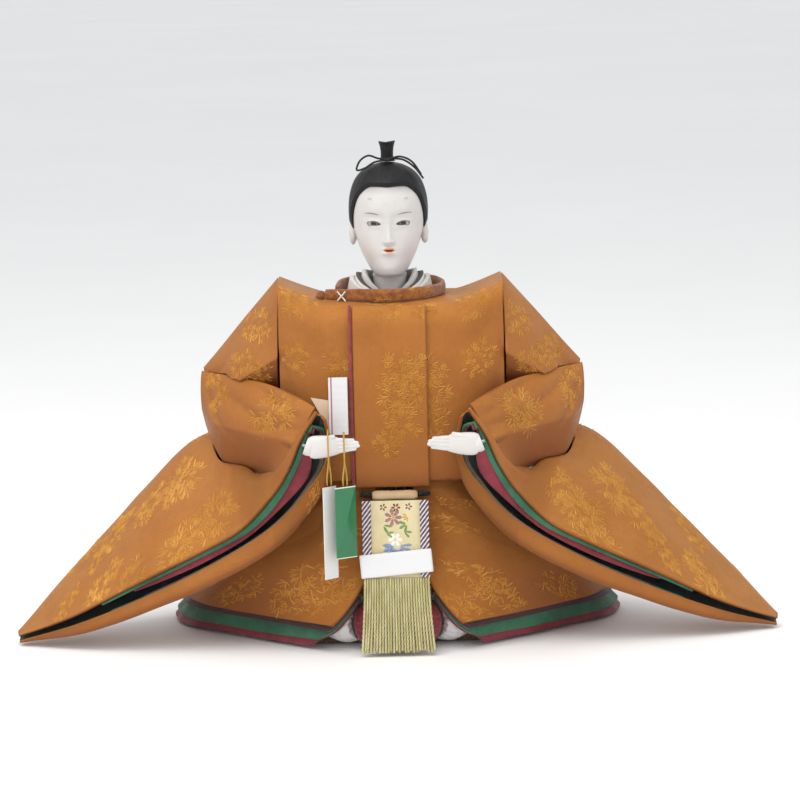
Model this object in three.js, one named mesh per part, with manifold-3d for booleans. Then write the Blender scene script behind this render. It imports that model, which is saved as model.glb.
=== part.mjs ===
// A seated festival doll in court robes, built as it comes apart on a bench: a wooden seat with a straw core,
// arm wires, wadding, collars, the robe with its spread sleeves, layered skirts, a hanging sash, hands and head.
// Millimetres, +Z up. The origin is the centre of the base underside. The doll faces -Y and its left is +X.

import * as THREE from 'three';
import { mergeVertices } from 'three/addons/utils/BufferGeometryUtils.js';
import Module from 'manifold-3d';

const wasm = await Module();
wasm.setup();

// Clearance between neighbouring pieces
const GAP = 0.35;

// Seat and core
const BOARD_LENGTH = 124;
const BOARD_DEPTH = 82;
const BOARD_THICKNESS = 5;
const BOARD_CORNER = 22;
const SEAT_CENTRE_Y = 5;
const BLOCK_LENGTH = 80;
const BLOCK_DEPTH = 52;
const BLOCK_HEIGHT = 26;
const CORE_WIDTH = 44;
const CORE_DEPTH = 34;
const CORE_TOP_Z = 156;
const CORE_CENTRE_Y = -2;
const BINDING_Z = 48;
const BINDING_HEIGHT = 6;
const BINDING_THICKNESS = 1.4;

// Torso and robe body
const TORSO_HALF_WIDTH = 53.5;
const TORSO_FRONT = 47;
const TORSO_BACK = 38;
const WAIST_Z = 77;
const NECK_Z = 165.5;
const SHOULDER_Z = 174;
const SHOULDER_RISE_START = 32;
const ROBE_THICKNESS = 1.6;
const NECK_CENTRE_Y = -7;
const NECK_HOLE_HALF_WIDTH = 22.5;
const NECK_HOLE_FRONT_Y = -27;
const NECK_HOLE_BACK_Y = 16.6;
const PANEL_LEFT_X = -18.6;
const PANEL_RIGHT_X = 16.5;
const PANEL_BOTTOM_Z = 79.2;
const PANEL_TOP_Z = 162.8;
const PANEL_THICKNESS = 1.0;
const PIPING_SIZE = 1.5;

// Collars
const UNDER_COLLAR_HALF_WIDTH = 12;
const UNDER_COLLAR_TOP_Z = 177.2;
const UNDER_COLLAR_HEIGHT = 9.5;
const UNDER_COLLAR_THICKNESS = 2.2;
const UNDER_COLLAR_SPACING = 3.15;
const UNDER_COLLAR_STEP_DOWN = 2.2;
const UNDER_COLLAR_FOOT_Z = 151.5;
const COLLAR_HEIGHT = 6.6;
const COLLAR_THICKNESS = 3.0;
const COLLAR_HALF_WIDTH = 25.2;
const COLLAR_FRONT_Y = -30.5;
const COLLAR_BACK_Y = 17.8;
const COLLAR_FRONT_Z = 167.8;
const COLLAR_BACK_Z = 172.4;
const COLLAR_END_X = -30.5;
const COLLAR_END_Y = -22;
const KNOT_RADIUS = 2.3;
const STITCH_RADIUS = 0.4;
const STITCH_SPAN = 5;

// Sleeve landmarks on the doll's left
const SHOULDER_X = 54.3;
const ELBOW_X = 92.5;
const ELBOW_Z = 129.5;
const CUFF_X = 36;
const CUFF_Y = -59;
const CUFF_Z = 120;
const WING_TIP_X = 184;
const WING_TIP_Y = -27;
const WING_RIDGE_X = 96;
const WING_RIDGE_Z = 92.5;
const SLEEVE_THICKNESS = 1.6;
const TIP_THICKNESS = 0.8;
const UNDER_SLEEVE_THICKNESS = 1.0;
const UNDER_SLEEVE_GAP = 0.5;

// Arm wire, hand wire and its tube
const WIRE_RADIUS = 1.0;
const HAND_WIRE_RADIUS = 0.8;
const HAND_WIRE_LENGTH = 34;
const HAND_WIRE_EMBED = 6;
const WRIST_TUBE_RADIUS = 2.3;
const WRIST_TUBE_LENGTH = 17;

// Hands
const HAND_LENGTH = 23;
const HAND_HEIGHT = 11;
const PALM_THICKNESS = 6;
const FINGER_RADIUS = 1.5;
const FINGER_LENGTH = 11;

// Head
const NECK_RADIUS = 8;
const NECK_BOTTOM_Z = 160;
const CHIN_Z = 175.5;
const HEAD_TOP_Z = 226.6;
const FACE_HALF_WIDTH = 17.4;
const FACE_FRONT_Y = -24.2;
const HEAD_BACK_Y = 19;
const HAIR_THICKNESS = 1.7;
const HAIRLINE_Z = 218;
const SIDEBURN_Z = 197;
const HAIR_CUT_Y = -4;
const EYE_RADIUS = 3.1;
const EYE_X = 6.9;
const EYE_Y = -18.2;
const EYE_Z = 200.8;
const EYE_SLIT_HALF_HEIGHT = 0.9;
const EYE_SLIT_HALF_WIDTH = 3.5;
const STICK_RADIUS = 2.5;
const STICK_BOTTOM_Z = 96;
const STICK_EMBED = 12;
const TOPKNOT_HEIGHT = 9.4;
const TOPKNOT_RADIUS = 3.2;
const BOW_CORD_RADIUS = 0.5;

// Belt and skirts
const BELT_REACH = 0.28;
const BELT_THICKNESS = 1.6;
const SKIRT_TOP_Z = 76.1;
const SKIRT_WAIST_Y = -43;
const SKIRT_THICKNESS = 1.6;
const UNDER_SKIRT_THICKNESS = 1.2;
const UNDER_SKIRT_GAP = 0.5;
const SKIRT_CORNER_X = 31;
const SKIRT_CORNER_Y = -58;
const SKIRT_HEM_Z = 14.3;
const SKIRT_HALF_WIDTH = 106;
const SKIRT_BACK_Y = 79;

// Sash
const SASH_ROLL_RADIUS = 2.3;
const SASH_ROLL_LENGTH = 21.5;
const SASH_WIDTH = 31.5;
const SASH_LENGTH = 36.5;
const SASH_THICKNESS = 1.0;
const SASH_LEAN = 14.5;
const BORDER_WIDTH = 4.2;
const BORDER_THICKNESS = 0.5;
const FRINGE_TOP_WIDTH = 32.5;
const FRINGE_BOTTOM_WIDTH = 37;
const FRINGE_THICKNESS = 2.2;
const FRINGE_STRANDS = 24;
const FRINGE_BOTTOM_Z = 1.2;
const FRINGE_BOTTOM_Y = -62.5;
const BAND_HEIGHT = 11;
const BAND_THICKNESS = 0.45;
const BAND_TILT = 4.5;

// Folded paper in the robe's opening
const PAPER_X = -25.6;
const PAPER_WIDTH = 9;
const PAPER_LENGTH = 27;
const PAPER_THICKNESS = 2.2;
const PAPER_BOTTOM_Z = 104.5;
const BACKING_WIDTH = 8.5;
const BACKING_THICKNESS = 0.5;

// Hang tags on the right hand
const TAG_THICKNESS = 0.6;
const TAG_TOP_Z = 83;
const THREAD_RADIUS = 0.4;
const THREAD_SPREAD = 0.9;
const WHITE_TAG = { x: -30.4, width: 7.6, length: 44, turn: 38 };
const GREEN_TAG = { x: -23, width: 10.6, length: 34, turn: 28 };

const at = (x, y, z) => new THREE.Vector3(x, y, z);
const lerp = THREE.MathUtils.lerp;
const radians = THREE.MathUtils.degToRad;
const smoothCurve = (points, closed = false) => new THREE.CatmullRomCurve3(points, closed, 'centripetal');

/** Points at even steps of the control points' own numbering along a smooth curve. */
function sample(points, steps, closed = false) {
  const curve = smoothCurve(points, closed);
  const count = closed ? steps : steps + 1;
  return Array.from({ length: count }, (_, i) => curve.getPoint(i / steps));
}

/** A closed solid from corner points and triangles, its faces turned outward. */
function solidFrom(points, triangles) {
  const volume = triangles.reduce((sum, [a, b, c]) => {
    const face = new THREE.Vector3().crossVectors(points[b], points[c]);
    return sum + points[a].dot(face);
  }, 0);
  const wound = volume < 0 ? triangles.map(([a, b, c]) => [a, c, b]) : triangles;
  const geometry = new THREE.BufferGeometry();
  geometry.setAttribute('position', new THREE.Float32BufferAttribute(points.flatMap((p) => p.toArray()), 3));
  geometry.setIndex(wound.flat());
  return geometry;
}

const quad = (a, b, c, d) => [[a, b, c], [a, c, d]];

/** A solid through closed rings of points, with a flat fan at each end. */
function loft(rings) {
  const sides = rings[0].length;
  const last = rings.length - 1;
  const id = (i, j) => i * sides + (j % sides);
  const middle = (ring) => ring.reduce((sum, p) => sum.add(p), at(0, 0, 0)).divideScalar(sides);
  const points = [...rings.flat(), middle(rings[0]), middle(rings[last])];
  const triangles = [];
  for (let j = 0; j < sides; j += 1) {
    for (let i = 0; i < last; i += 1) {
      triangles.push(...quad(id(i, j), id(i + 1, j), id(i + 1, j + 1), id(i, j + 1)));
    }
    triangles.push([id(0, j), id(0, j + 1), points.length - 2]);
    triangles.push([id(last, j + 1), id(last, j), points.length - 1]);
  }
  return solidFrom(points, triangles);
}

/** The unit normal at each point of a grid of rows. */
function gridNormals(grid) {
  const rows = grid.length;
  const columns = grid[0].length;
  return grid.map((row, i) => row.map((_, j) => {
    const down = grid[Math.min(i + 1, rows - 1)][j].clone().sub(grid[Math.max(i - 1, 0)][j]);
    const across = row[Math.min(j + 1, columns - 1)].clone().sub(row[Math.max(j - 1, 0)]);
    return down.cross(across).normalize();
  }));
}

/** The grid moved along its normals by a distance that may change from row to row. */
function offsetGrid(grid, distance) {
  const normals = gridNormals(grid);
  return grid.map((row, i) => row.map((p, j) => p.clone().addScaledVector(normals[i][j], distance(i))));
}

/** A sheet of the given thickness with the grid as its middle surface. */
function sheet(grid, thickness) {
  const half = typeof thickness === 'function' ? (i) => thickness(i) / 2 : () => thickness / 2;
  const rows = grid.length;
  const columns = grid[0].length;
  const front = offsetGrid(grid, half);
  const back = offsetGrid(grid, (i) => -half(i));
  const o = (i, j) => i * columns + j;
  const n = (i, j) => rows * columns + i * columns + j;
  const triangles = [];
  for (let i = 0; i < rows - 1; i += 1) {
    for (let j = 0; j < columns - 1; j += 1) {
      triangles.push(...quad(o(i, j), o(i + 1, j), o(i + 1, j + 1), o(i, j + 1)));
      triangles.push(...quad(n(i, j), n(i, j + 1), n(i + 1, j + 1), n(i + 1, j)));
    }
    const end = columns - 1;
    triangles.push(...quad(o(i + 1, 0), o(i, 0), n(i, 0), n(i + 1, 0)));
    triangles.push(...quad(o(i, end), o(i + 1, end), n(i + 1, end), n(i, end)));
  }
  for (let j = 0; j < columns - 1; j += 1) {
    const end = rows - 1;
    triangles.push(...quad(o(0, j), o(0, j + 1), n(0, j + 1), n(0, j)));
    triangles.push(...quad(o(end, j + 1), o(end, j), n(end, j), n(end, j + 1)));
  }
  return solidFrom([...front.flat(), ...back.flat()], triangles);
}

/** The same solid with only its shared corner points left. */
function welded(geometry) {
  const bare = geometry.clone();
  bare.deleteAttribute('normal');
  bare.deleteAttribute('uv');
  return mergeVertices(bare, 1e-4);
}

function toSolid(geometry) {
  const shape = welded(geometry);
  return new wasm.Manifold(new wasm.Mesh({
    numProp: 3,
    vertProperties: Float32Array.from(shape.attributes.position.array),
    triVerts: Uint32Array.from(shape.index.array),
  }));
}

function toGeometry(solid) {
  const mesh = solid.getMesh();
  const geometry = new THREE.BufferGeometry();
  geometry.setAttribute('position', new THREE.Float32BufferAttribute(Array.from(mesh.vertProperties), 3));
  geometry.setIndex(Array.from(mesh.triVerts));
  return geometry;
}

/** The solid with every face moved outward by the gap, or inward by a negative one. */
function grown(geometry, gap = GAP) {
  const shape = welded(geometry);
  const position = shape.attributes.position;
  const corner = (k) => new THREE.Vector3().fromBufferAttribute(position, shape.index.getX(k));
  const faceNormals = Array.from({ length: position.count }, () => []);
  for (let k = 0; k < shape.index.count; k += 3) {
    const side = corner(k + 1).sub(corner(k));
    const normal = side.cross(corner(k + 2).sub(corner(k))).normalize();
    for (let m = 0; m < 3; m += 1) faceNormals[shape.index.getX(k + m)].push(normal);
  }
  faceNormals.forEach((normals, index) => {
    const mean = normals.reduce((sum, v) => sum.add(v), at(0, 0, 0)).normalize();
    const least = Math.min(...normals.map((v) => v.dot(mean)));
    const point = new THREE.Vector3().fromBufferAttribute(position, index);
    point.addScaledVector(mean, gap / Math.max(least, 0.45));
    position.setXYZ(index, point.x, point.y, point.z);
  });
  return shape;
}

/** The largest piece left of a solid after the cutters are taken away. */
function cut(geometry, ...cutters) {
  const solid = cutters.reduce((left, cutter) => left.subtract(toSolid(cutter)), toSolid(geometry));
  const pieces = solid.decompose();
  pieces.sort((a, b) => b.volume() - a.volume());
  return toGeometry(pieces[0]);
}

const clearOf = (geometry, ...neighbours) => cut(geometry, ...neighbours.map((n) => grown(n)));

const joined = (...geometries) => toGeometry(geometries.map(toSolid).reduce((sum, solid) => sum.add(solid)));

/** The piece of the other side: reflected in the plane between left and right. */
function mirrored(geometry) {
  const shape = welded(geometry);
  const turned = shape.scale(-1, 1, 1);
  const index = Array.from(turned.index.array);
  for (let k = 0; k < index.length; k += 3) [index[k + 1], index[k + 2]] = [index[k + 2], index[k + 1]];
  turned.setIndex(index);
  return turned;
}

/** A round rod along a smooth curve. */
function rod(points, radius, sides, steps) {
  const circle = new THREE.Shape(Array.from({ length: sides }, (_, k) => {
    const turn = (2 * Math.PI * k) / sides;
    return new THREE.Vector2(radius * Math.cos(turn), radius * Math.sin(turn));
  }));
  return new THREE.ExtrudeGeometry(circle, { extrudePath: smoothCurve(points), steps, bevelEnabled: false });
}

/** A straight round bar between two points. */
function bar(from, to, radius, sides = 12) {
  const shape = new THREE.CylinderGeometry(radius, radius, from.distanceTo(to), sides);
  const turn = new THREE.Quaternion().setFromUnitVectors(at(0, 1, 0), to.clone().sub(from).normalize());
  const centre = from.clone().add(to).multiplyScalar(0.5);
  return shape.applyQuaternion(turn).translate(centre.x, centre.y, centre.z);
}

const box = (width, depth, height) => new THREE.BoxGeometry(width, depth, height);

function ellipsoid(centre, halfX, halfY, halfZ, across = 16, up = 10) {
  const shape = new THREE.SphereGeometry(1, across, up).rotateX(Math.PI / 2);
  return shape.scale(halfX, halfY, halfZ).translate(centre.x, centre.y, centre.z);
}

/** An upright oval column. */
function ovalColumn(halfWidth, halfDepth, centreY, bottom, top, sides = 28) {
  const shape = new THREE.CylinderGeometry(1, 1, top - bottom, sides).rotateX(Math.PI / 2);
  return shape.scale(halfWidth, halfDepth, 1).translate(0, centreY, (top + bottom) / 2);
}

/** A level oval hoop with a square section. */
function ovalHoop(halfWidth, frontY, backY, bottom, height, thickness) {
  const halfDepth = (backY - frontY) / 2;
  const centreY = (backY + frontY) / 2;
  const outer = ovalColumn(halfWidth, halfDepth, centreY, bottom, bottom + height);
  const clear = 1;
  const inner = ovalColumn(halfWidth - thickness, halfDepth - thickness, centreY, bottom - clear, bottom + height + clear);
  return cut(outer, inner);
}

// Seat and core

function baseBoard() {
  const outline = new THREE.Shape();
  const halfLength = BOARD_LENGTH / 2;
  const halfDepth = BOARD_DEPTH / 2;
  const corners = [[1, -1, -90], [1, 1, 0], [-1, 1, 90], [-1, -1, 180]];
  for (const [sx, sy, start] of corners) {
    const centre = [sx * (halfLength - BOARD_CORNER), sy * (halfDepth - BOARD_CORNER)];
    outline.absarc(...centre, BOARD_CORNER, radians(start), radians(start + 90), false);
  }
  const shape = new THREE.ExtrudeGeometry(outline, { depth: BOARD_THICKNESS, bevelEnabled: false, curveSegments: 6 });
  return shape.translate(0, SEAT_CENTRE_Y, 0);
}

function seatBlock() {
  const bottom = BOARD_THICKNESS + GAP;
  return box(BLOCK_LENGTH, BLOCK_DEPTH, BLOCK_HEIGHT).translate(0, SEAT_CENTRE_Y, bottom + BLOCK_HEIGHT / 2);
}

const CORE_BOTTOM_Z = BOARD_THICKNESS + BLOCK_HEIGHT + 2 * GAP;

function coreColumn(room = 0) {
  const [halfWidth, halfDepth] = [CORE_WIDTH / 2 + room, CORE_DEPTH / 2 + room];
  return ovalColumn(halfWidth, halfDepth, CORE_CENTRE_Y, CORE_BOTTOM_Z - room, CORE_TOP_Z + room);
}

function strawCore(wireWay) {
  const boreBottom = at(0, NECK_CENTRE_Y, STICK_BOTTOM_Z - GAP);
  const boreTop = at(0, NECK_CENTRE_Y, CORE_TOP_Z + GAP);
  return cut(coreColumn(), bar(boreBottom, boreTop, STICK_RADIUS + GAP), wireWay);
}

function coreBinding() {
  const reach = GAP + BINDING_THICKNESS;
  const front = CORE_CENTRE_Y - CORE_DEPTH / 2 - reach;
  const back = CORE_CENTRE_Y + CORE_DEPTH / 2 + reach;
  return ovalHoop(CORE_WIDTH / 2 + reach, front, back, BINDING_Z, BINDING_HEIGHT, BINDING_THICKNESS);
}

// Torso. Each upright slice is a closed outline: [share of front or back depth, share of height].

const TORSO_OUTLINE = [
  [-0.68, 0], [-0.94, 0.014], [-1, 0.2], [-0.94, 0.5], [-0.87, 0.76], [-0.79, 0.93], [-0.67, 0.985],
  [-0.1, 1], [0.55, 0.97], [0.9, 0.78], [1, 0.42], [0.9, 0.05], [0.68, 0],
];
const TORSO_SIDE_NARROWING = 0.2;
const TORSO_OUTLINE_STEPS = 22;

function torsoTopZ(x) {
  const rise = Math.max(0, Math.abs(x) - SHOULDER_RISE_START) / (TORSO_HALF_WIDTH - SHOULDER_RISE_START);
  return lerp(NECK_Z, SHOULDER_Z, rise ** 1.2);
}

function torsoSlice(x) {
  const narrowing = 1 - TORSO_SIDE_NARROWING * (Math.abs(x) / TORSO_HALF_WIDTH) ** 4;
  return TORSO_OUTLINE.map(([depth, height]) => {
    const reach = depth < 0 ? TORSO_FRONT : TORSO_BACK;
    return at(x, depth * reach * narrowing, lerp(WAIST_Z, torsoTopZ(x), height));
  });
}

function torsoSolid() {
  const shares = [-1, -0.9, -0.7, -0.4, 0, 0.4, 0.7, 0.9, 1];
  return loft(shares.map((share) => sample(torsoSlice(share * TORSO_HALF_WIDTH), TORSO_OUTLINE_STEPS, true)));
}

/** The corners of the torso's front outline from the waist up to the neck. */
function frontCorners(x) {
  const outline = sample(torsoSlice(x), TORSO_OUTLINE_STEPS, true);
  const foremost = outline.indexOf(outline.reduce((a, b) => (b.y < a.y ? b : a)));
  return outline.slice(0, TORSO_OUTLINE_STEPS / 2).filter((p, k) => k <= foremost || p.y < 0);
}

/** The depth of the robe's front surface at a height. */
function frontY(x, z) {
  const front = frontCorners(x);
  const above = front.findIndex((p) => p.z >= z && p.y < -TORSO_FRONT * 0.3);
  const low = front[above - 1];
  const high = front[above];
  return lerp(low.y, high.y, (z - low.z) / (high.z - low.z));
}

/** Points up the robe's front at one side position, each standing proud of the surface. */
function frontLine(x, proud) {
  const [bottom, top] = [PANEL_BOTTOM_Z, PANEL_TOP_Z].map((z) => at(x, frontY(x, z), z));
  const inner = frontCorners(x).filter((p) => p.y < -TORSO_FRONT / 2 && p.z > bottom.z + 0.4 && p.z < top.z - 0.4);
  const line = [bottom, ...inner, top];
  const last = line.length - 1;
  return line.map((p, k) => {
    const along = line[Math.min(k + 1, last)].clone().sub(line[Math.max(k - 1, 0)]);
    return p.clone().addScaledVector(at(0, -along.z, along.y).normalize(), proud);
  });
}

function neckHole(bottom, extra = 0) {
  const top = UNDER_COLLAR_TOP_Z + 10;
  const halfDepth = (NECK_HOLE_BACK_Y - NECK_HOLE_FRONT_Y) / 2 + extra;
  const centreY = (NECK_HOLE_BACK_Y + NECK_HOLE_FRONT_Y) / 2;
  return ovalColumn(NECK_HOLE_HALF_WIDTH + extra, halfDepth, centreY, bottom, top, 24);
}

function robeBody(torso, wireWay) {
  const lining = grown(torso, -ROBE_THICKNESS);
  const openBottom = lining.clone().translate(0, 0, -5 * ROBE_THICKNESS);
  return cut(torso, lining, openBottom, neckHole(NECK_Z - 20), wireWay);
}

function torsoWadding(torso, wireWay) {
  const filling = grown(torso, -ROBE_THICKNESS - GAP);
  return cut(filling, neckHole(UNDER_COLLAR_FOOT_Z, 1.5), coreColumn(GAP), wireWay);
}

const SEAM_ROOM = GAP + 0.1;

function frontPanel() {
  const columns = 4;
  const lines = Array.from({ length: columns + 1 }, (_, j) => {
    return frontLine(lerp(PANEL_LEFT_X + GAP, PANEL_RIGHT_X, j / columns), SEAM_ROOM + PANEL_THICKNESS / 2);
  });
  return sheet(lines, PANEL_THICKNESS);
}

function frontPiping() {
  const [left, right] = [PANEL_LEFT_X - PIPING_SIZE, PANEL_LEFT_X];
  const proud = [SEAM_ROOM, SEAM_ROOM + PIPING_SIZE];
  const lines = [[left, proud[0]], [left, proud[1]], [right, proud[1]], [right, proud[0]]].map((edge) => frontLine(...edge));
  return loft(lines[0].map((_, k) => lines.map((line) => line[k])));
}

// Collars

/** The middle surface of one V-necked under collar: level 0 lies next to the neck. */
function underCollarGrid(level) {
  const top = UNDER_COLLAR_TOP_Z;
  const width = UNDER_COLLAR_HALF_WIDTH;
  const half = [
    at(0, NECK_CENTRE_Y + 13.5, top - 2.5),
    at(width * 0.75, NECK_CENTRE_Y + 9, top - 1.4),
    at(width, NECK_CENTRE_Y, top),
    at(width * 0.82, NECK_CENTRE_Y - 7, top - 4),
    at(2.2, NECK_CENTRE_Y - 10.6, top - 11),
  ];
  const left = half.slice(1).map((p) => at(-p.x, p.y, p.z)).reverse();
  const edge = sample([...left, ...half], 20);
  const grid = edge.map((p) => {
    const away = at(p.x, p.y - NECK_CENTRE_Y, 0).normalize();
    const foot = p.clone().addScaledVector(away, UNDER_COLLAR_HEIGHT * 0.22).setZ(p.z - UNDER_COLLAR_HEIGHT);
    return [p, p.clone().lerp(foot, 0.5), foot];
  });
  const middle = Math.floor(grid.length / 2);
  const outward = Math.sign(gridNormals(grid)[middle][1].y);
  const moved = offsetGrid(grid, () => outward * level * UNDER_COLLAR_SPACING);
  return moved.map((column) => column.map((p) => p.setZ(p.z - level * UNDER_COLLAR_STEP_DOWN)));
}

const underCollar = (level) => sheet(underCollarGrid(level), UNDER_COLLAR_THICKNESS);

/** The stand-up collar: a flat band that starts at the button end and runs round to lie behind it. */
function collarPath() {
  const frontHalf = COLLAR_FRONT_Y;
  const sideZ = lerp(COLLAR_FRONT_Z, COLLAR_BACK_Z, 0.35);
  return smoothCurve([
    at(COLLAR_END_X, COLLAR_END_Y, COLLAR_FRONT_Z - 0.6),
    at(COLLAR_HALF_WIDTH * -0.62, frontHalf + 2.6, COLLAR_FRONT_Z),
    at(0, frontHalf, COLLAR_FRONT_Z),
    at(COLLAR_HALF_WIDTH * 0.7, frontHalf + 5.5, COLLAR_FRONT_Z + 0.3),
    at(COLLAR_HALF_WIDTH, NECK_CENTRE_Y - 4, sideZ),
    at(COLLAR_HALF_WIDTH * 0.85, NECK_CENTRE_Y + 12, COLLAR_BACK_Z - 0.8),
    at(0, COLLAR_BACK_Y, COLLAR_BACK_Z),
    at(COLLAR_HALF_WIDTH * -0.85, NECK_CENTRE_Y + 12, COLLAR_BACK_Z - 0.8),
    at(-COLLAR_HALF_WIDTH, NECK_CENTRE_Y - 3, sideZ),
    at(-COLLAR_HALF_WIDTH + 0.4, NECK_CENTRE_Y - 8.5, sideZ - 1),
  ]);
}

function robeCollar(robe) {
  const steps = 24;
  const path = collarPath();
  const halfThick = COLLAR_THICKNESS / 2;
  const halfHigh = COLLAR_HEIGHT / 2;
  const section = [[-0.9, -0.85], [0, -1], [0.9, -0.85], [0.9, 0.85], [0, 1], [-0.9, 0.85]];
  const rings = Array.from({ length: steps + 1 }, (_, i) => {
    const centre = path.getPoint(i / steps);
    const ahead = path.getTangent(i / steps);
    const side = at(ahead.y, -ahead.x, 0).normalize();
    return section.map(([u, v]) => {
      const p = centre.clone().addScaledVector(side, u * halfThick);
      return p.setZ(p.z + v * halfHigh);
    });
  });
  return clearOf(loft(rings), robe);
}

function collarKnot() {
  const end = at(COLLAR_END_X, COLLAR_END_Y, COLLAR_FRONT_Z - 0.6);
  return ellipsoid(end.add(at(-KNOT_RADIUS - GAP, 0.4, 0)), KNOT_RADIUS, KNOT_RADIUS, KNOT_RADIUS * 1.2, 10, 8);
}

function collarStitch() {
  const onBand = collarPath().getPoint(0.055);
  const y = onBand.y - COLLAR_THICKNESS / 2 - STITCH_RADIUS - 2 * GAP - 0.3;
  const half = STITCH_SPAN / 2;
  const strand = (slope) => bar(
    at(onBand.x - half, y + 0.55, onBand.z - slope * half),
    at(onBand.x + half, y - 0.95, onBand.z + slope * half),
    STITCH_RADIUS,
    6,
  );
  return joined(strand(1.1), strand(-1.1));
}

// Sleeves on the doll's left. Each rail has one point for each station from the hand to the wing's tip.

// The cuff, tip and ridge that the rails below are written for
const DRAWN_CUFF = at(36, -59, 120);
const DRAWN_TIP = at(184, -27, 0);
const DRAWN_RIDGE = at(96, 0, 92.5);

/** A rail point moved with the cuff near the hand, with the ridge in between and with the tip near the tip. */
function wingPoint(x, y, z, share) {
  const cuffShift = at(CUFF_X, CUFF_Y, CUFF_Z).sub(DRAWN_CUFF);
  const tipShift = at(WING_TIP_X, WING_TIP_Y, 0).sub(DRAWN_TIP);
  const ridgeShift = at(WING_RIDGE_X, 0, WING_RIDGE_Z).sub(DRAWN_RIDGE);
  const ridgeShare = Math.max(0, 1 - Math.abs(share - 0.6) / 0.6) * (1 - share);
  const point = at(x, y, z).addScaledVector(tipShift, share);
  return point.addScaledVector(cuffShift, Math.max(0, 1 - 2 * share)).addScaledVector(ridgeShift, ridgeShare);
}

const WING_RAILS = {
  upperLip: [
    [35.5, -60, 118], [43, -60, 105], [49, -58.5, 91], [58, -56.5, 77], [72, -54.5, 62],
    [95, -50, 48.5], [127, -45, 32.5], [157, -38, 16.5], [184, -27, 5.2],
  ],
  ridge: [
    [38.8, -53, 117], [47, -49.5, 106], [55, -44, 92], [66, -29, 83], [86, 9, 97],
    [99, 12.5, 91.5], [124, 8.5, 68], [156, -2, 35.5], [184.6, -22, 6],
  ],
  backFoot: [
    [33.5, -51.5, 114.5], [37, -49, 102], [46, -47.5, 86], [59, -36, 66], [82, 4, 64],
    [99, 16, 63], [124, 13, 43], [155, 2, 20], [184, -21.5, 3],
  ],
  frontFoot: [
    [31.8, -54, 113], [30.2, -53.5, 98], [34, -56, 81], [43, -58, 68], [58, -57, 53],
    [85, -52, 37], [120, -46, 21], [153, -38.5, 8.5], [183.6, -26.5, 1.7],
  ],
  lowerLip: [
    [31.8, -58, 114], [30.8, -56, 104.5], [33, -57, 92], [42, -59, 79.5], [57, -58, 64],
    [86, -52.5, 45], [121, -46.5, 27.5], [153, -39.5, 13.8], [183.6, -27.6, 2.4],
  ],
};
const WING_BULGE = 4.5;
const WING_ROWS = 16;
const WING_COLUMNS = 14;

function railCurve(stations) {
  const last = stations.length - 1;
  return smoothCurve(stations.map(([x, y, z], k) => wingPoint(x, y, z, k / last)));
}

const WING_CURVES = Object.fromEntries(Object.entries(WING_RAILS).map(([key, list]) => [key, railCurve(list)]));

/** The wing's outline across the bag, from the upper lip over the ridge to the lower lip. */
function wingSection(s) {
  const p = Object.fromEntries(Object.entries(WING_CURVES).map(([key, curve]) => [key, curve.getPoint(s)]));
  const swell = WING_BULGE * Math.sin(Math.PI * s);
  const top = p.upperLip.clone().lerp(p.ridge, 0.5).add(at(0, -0.6 * swell, 0.8 * swell));
  const back = p.ridge.clone().lerp(p.backFoot, 0.5).add(at(0.4 * swell, 0.6 * swell, 0));
  const under = p.backFoot.clone().lerp(p.frontFoot, 0.5).add(at(0, 0, -0.3 * swell));
  return smoothCurve([p.upperLip, top, p.ridge, back, p.backFoot, under, p.frontFoot, p.lowerLip]);
}

/** The wing's middle surface: rows run from the hand to the tip, columns across the bag. */
function wingGrid(rows, columns) {
  return rows.map((s) => {
    const section = wingSection(s);
    return columns.map((t) => section.getPoint(t));
  });
}

const evenSteps = (count) => Array.from({ length: count + 1 }, (_, k) => k / count);

function wingSleeve() {
  const grid = wingGrid(evenSteps(WING_ROWS), evenSteps(WING_COLUMNS));
  return sheet(grid, (i) => lerp(SLEEVE_THICKNESS, TIP_THICKNESS, Math.max(0, i / WING_ROWS - 0.7) / 0.3));
}

// How far the under layers' hems reach into the bag, as shares of the way across it
const UPPER_HEM_REACH = 0.1;
const LOWER_HEM_REACH = 0.12;

/** A hem strip moved toward the inside of the bag, its rows from the hand to the tip. */
function insideStrip(rows, columns, distance) {
  const grid = wingGrid(rows, columns);
  const probe = Math.floor(rows.length / 2);
  const section = wingSection(rows[probe]);
  const middle = sample(section.points, 8).reduce((sum, p) => sum.add(p), at(0, 0, 0)).divideScalar(9);
  const normal = gridNormals(grid)[probe][1];
  const inward = Math.sign(normal.dot(middle.sub(grid[probe][1])));
  return offsetGrid(grid, () => inward * distance);
}

/** An under layer's hem: it follows the sleeve's mouth from the tip, over the hand and back to the tip. */
function underSleeve(level) {
  const start = (SLEEVE_THICKNESS + UNDER_SLEEVE_THICKNESS) / 2 + UNDER_SLEEVE_GAP;
  const distance = start + (level - 1) * (UNDER_SLEEVE_THICKNESS + UNDER_SLEEVE_GAP);
  const rows = evenSteps(WING_ROWS).slice(1, WING_ROWS - 1 - level);
  const upper = insideStrip(rows, evenSteps(3).map((k) => k * UPPER_HEM_REACH), distance);
  const lower = insideStrip(rows, evenSteps(3).map((k) => 1 - (k * LOWER_HEM_REACH) / level), distance);
  const arch = [1 / 3, 2 / 3].map((share) => upper[0].map((_, j) => {
    const turn = smoothCurve([upper[1][j], upper[0][j], lower[0][j], lower[1][j]]);
    return turn.getPoint((1 + share) / 3);
  }));
  return sheet([...upper.reverse(), ...arch, ...lower], UNDER_SLEEVE_THICKNESS);
}

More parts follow.
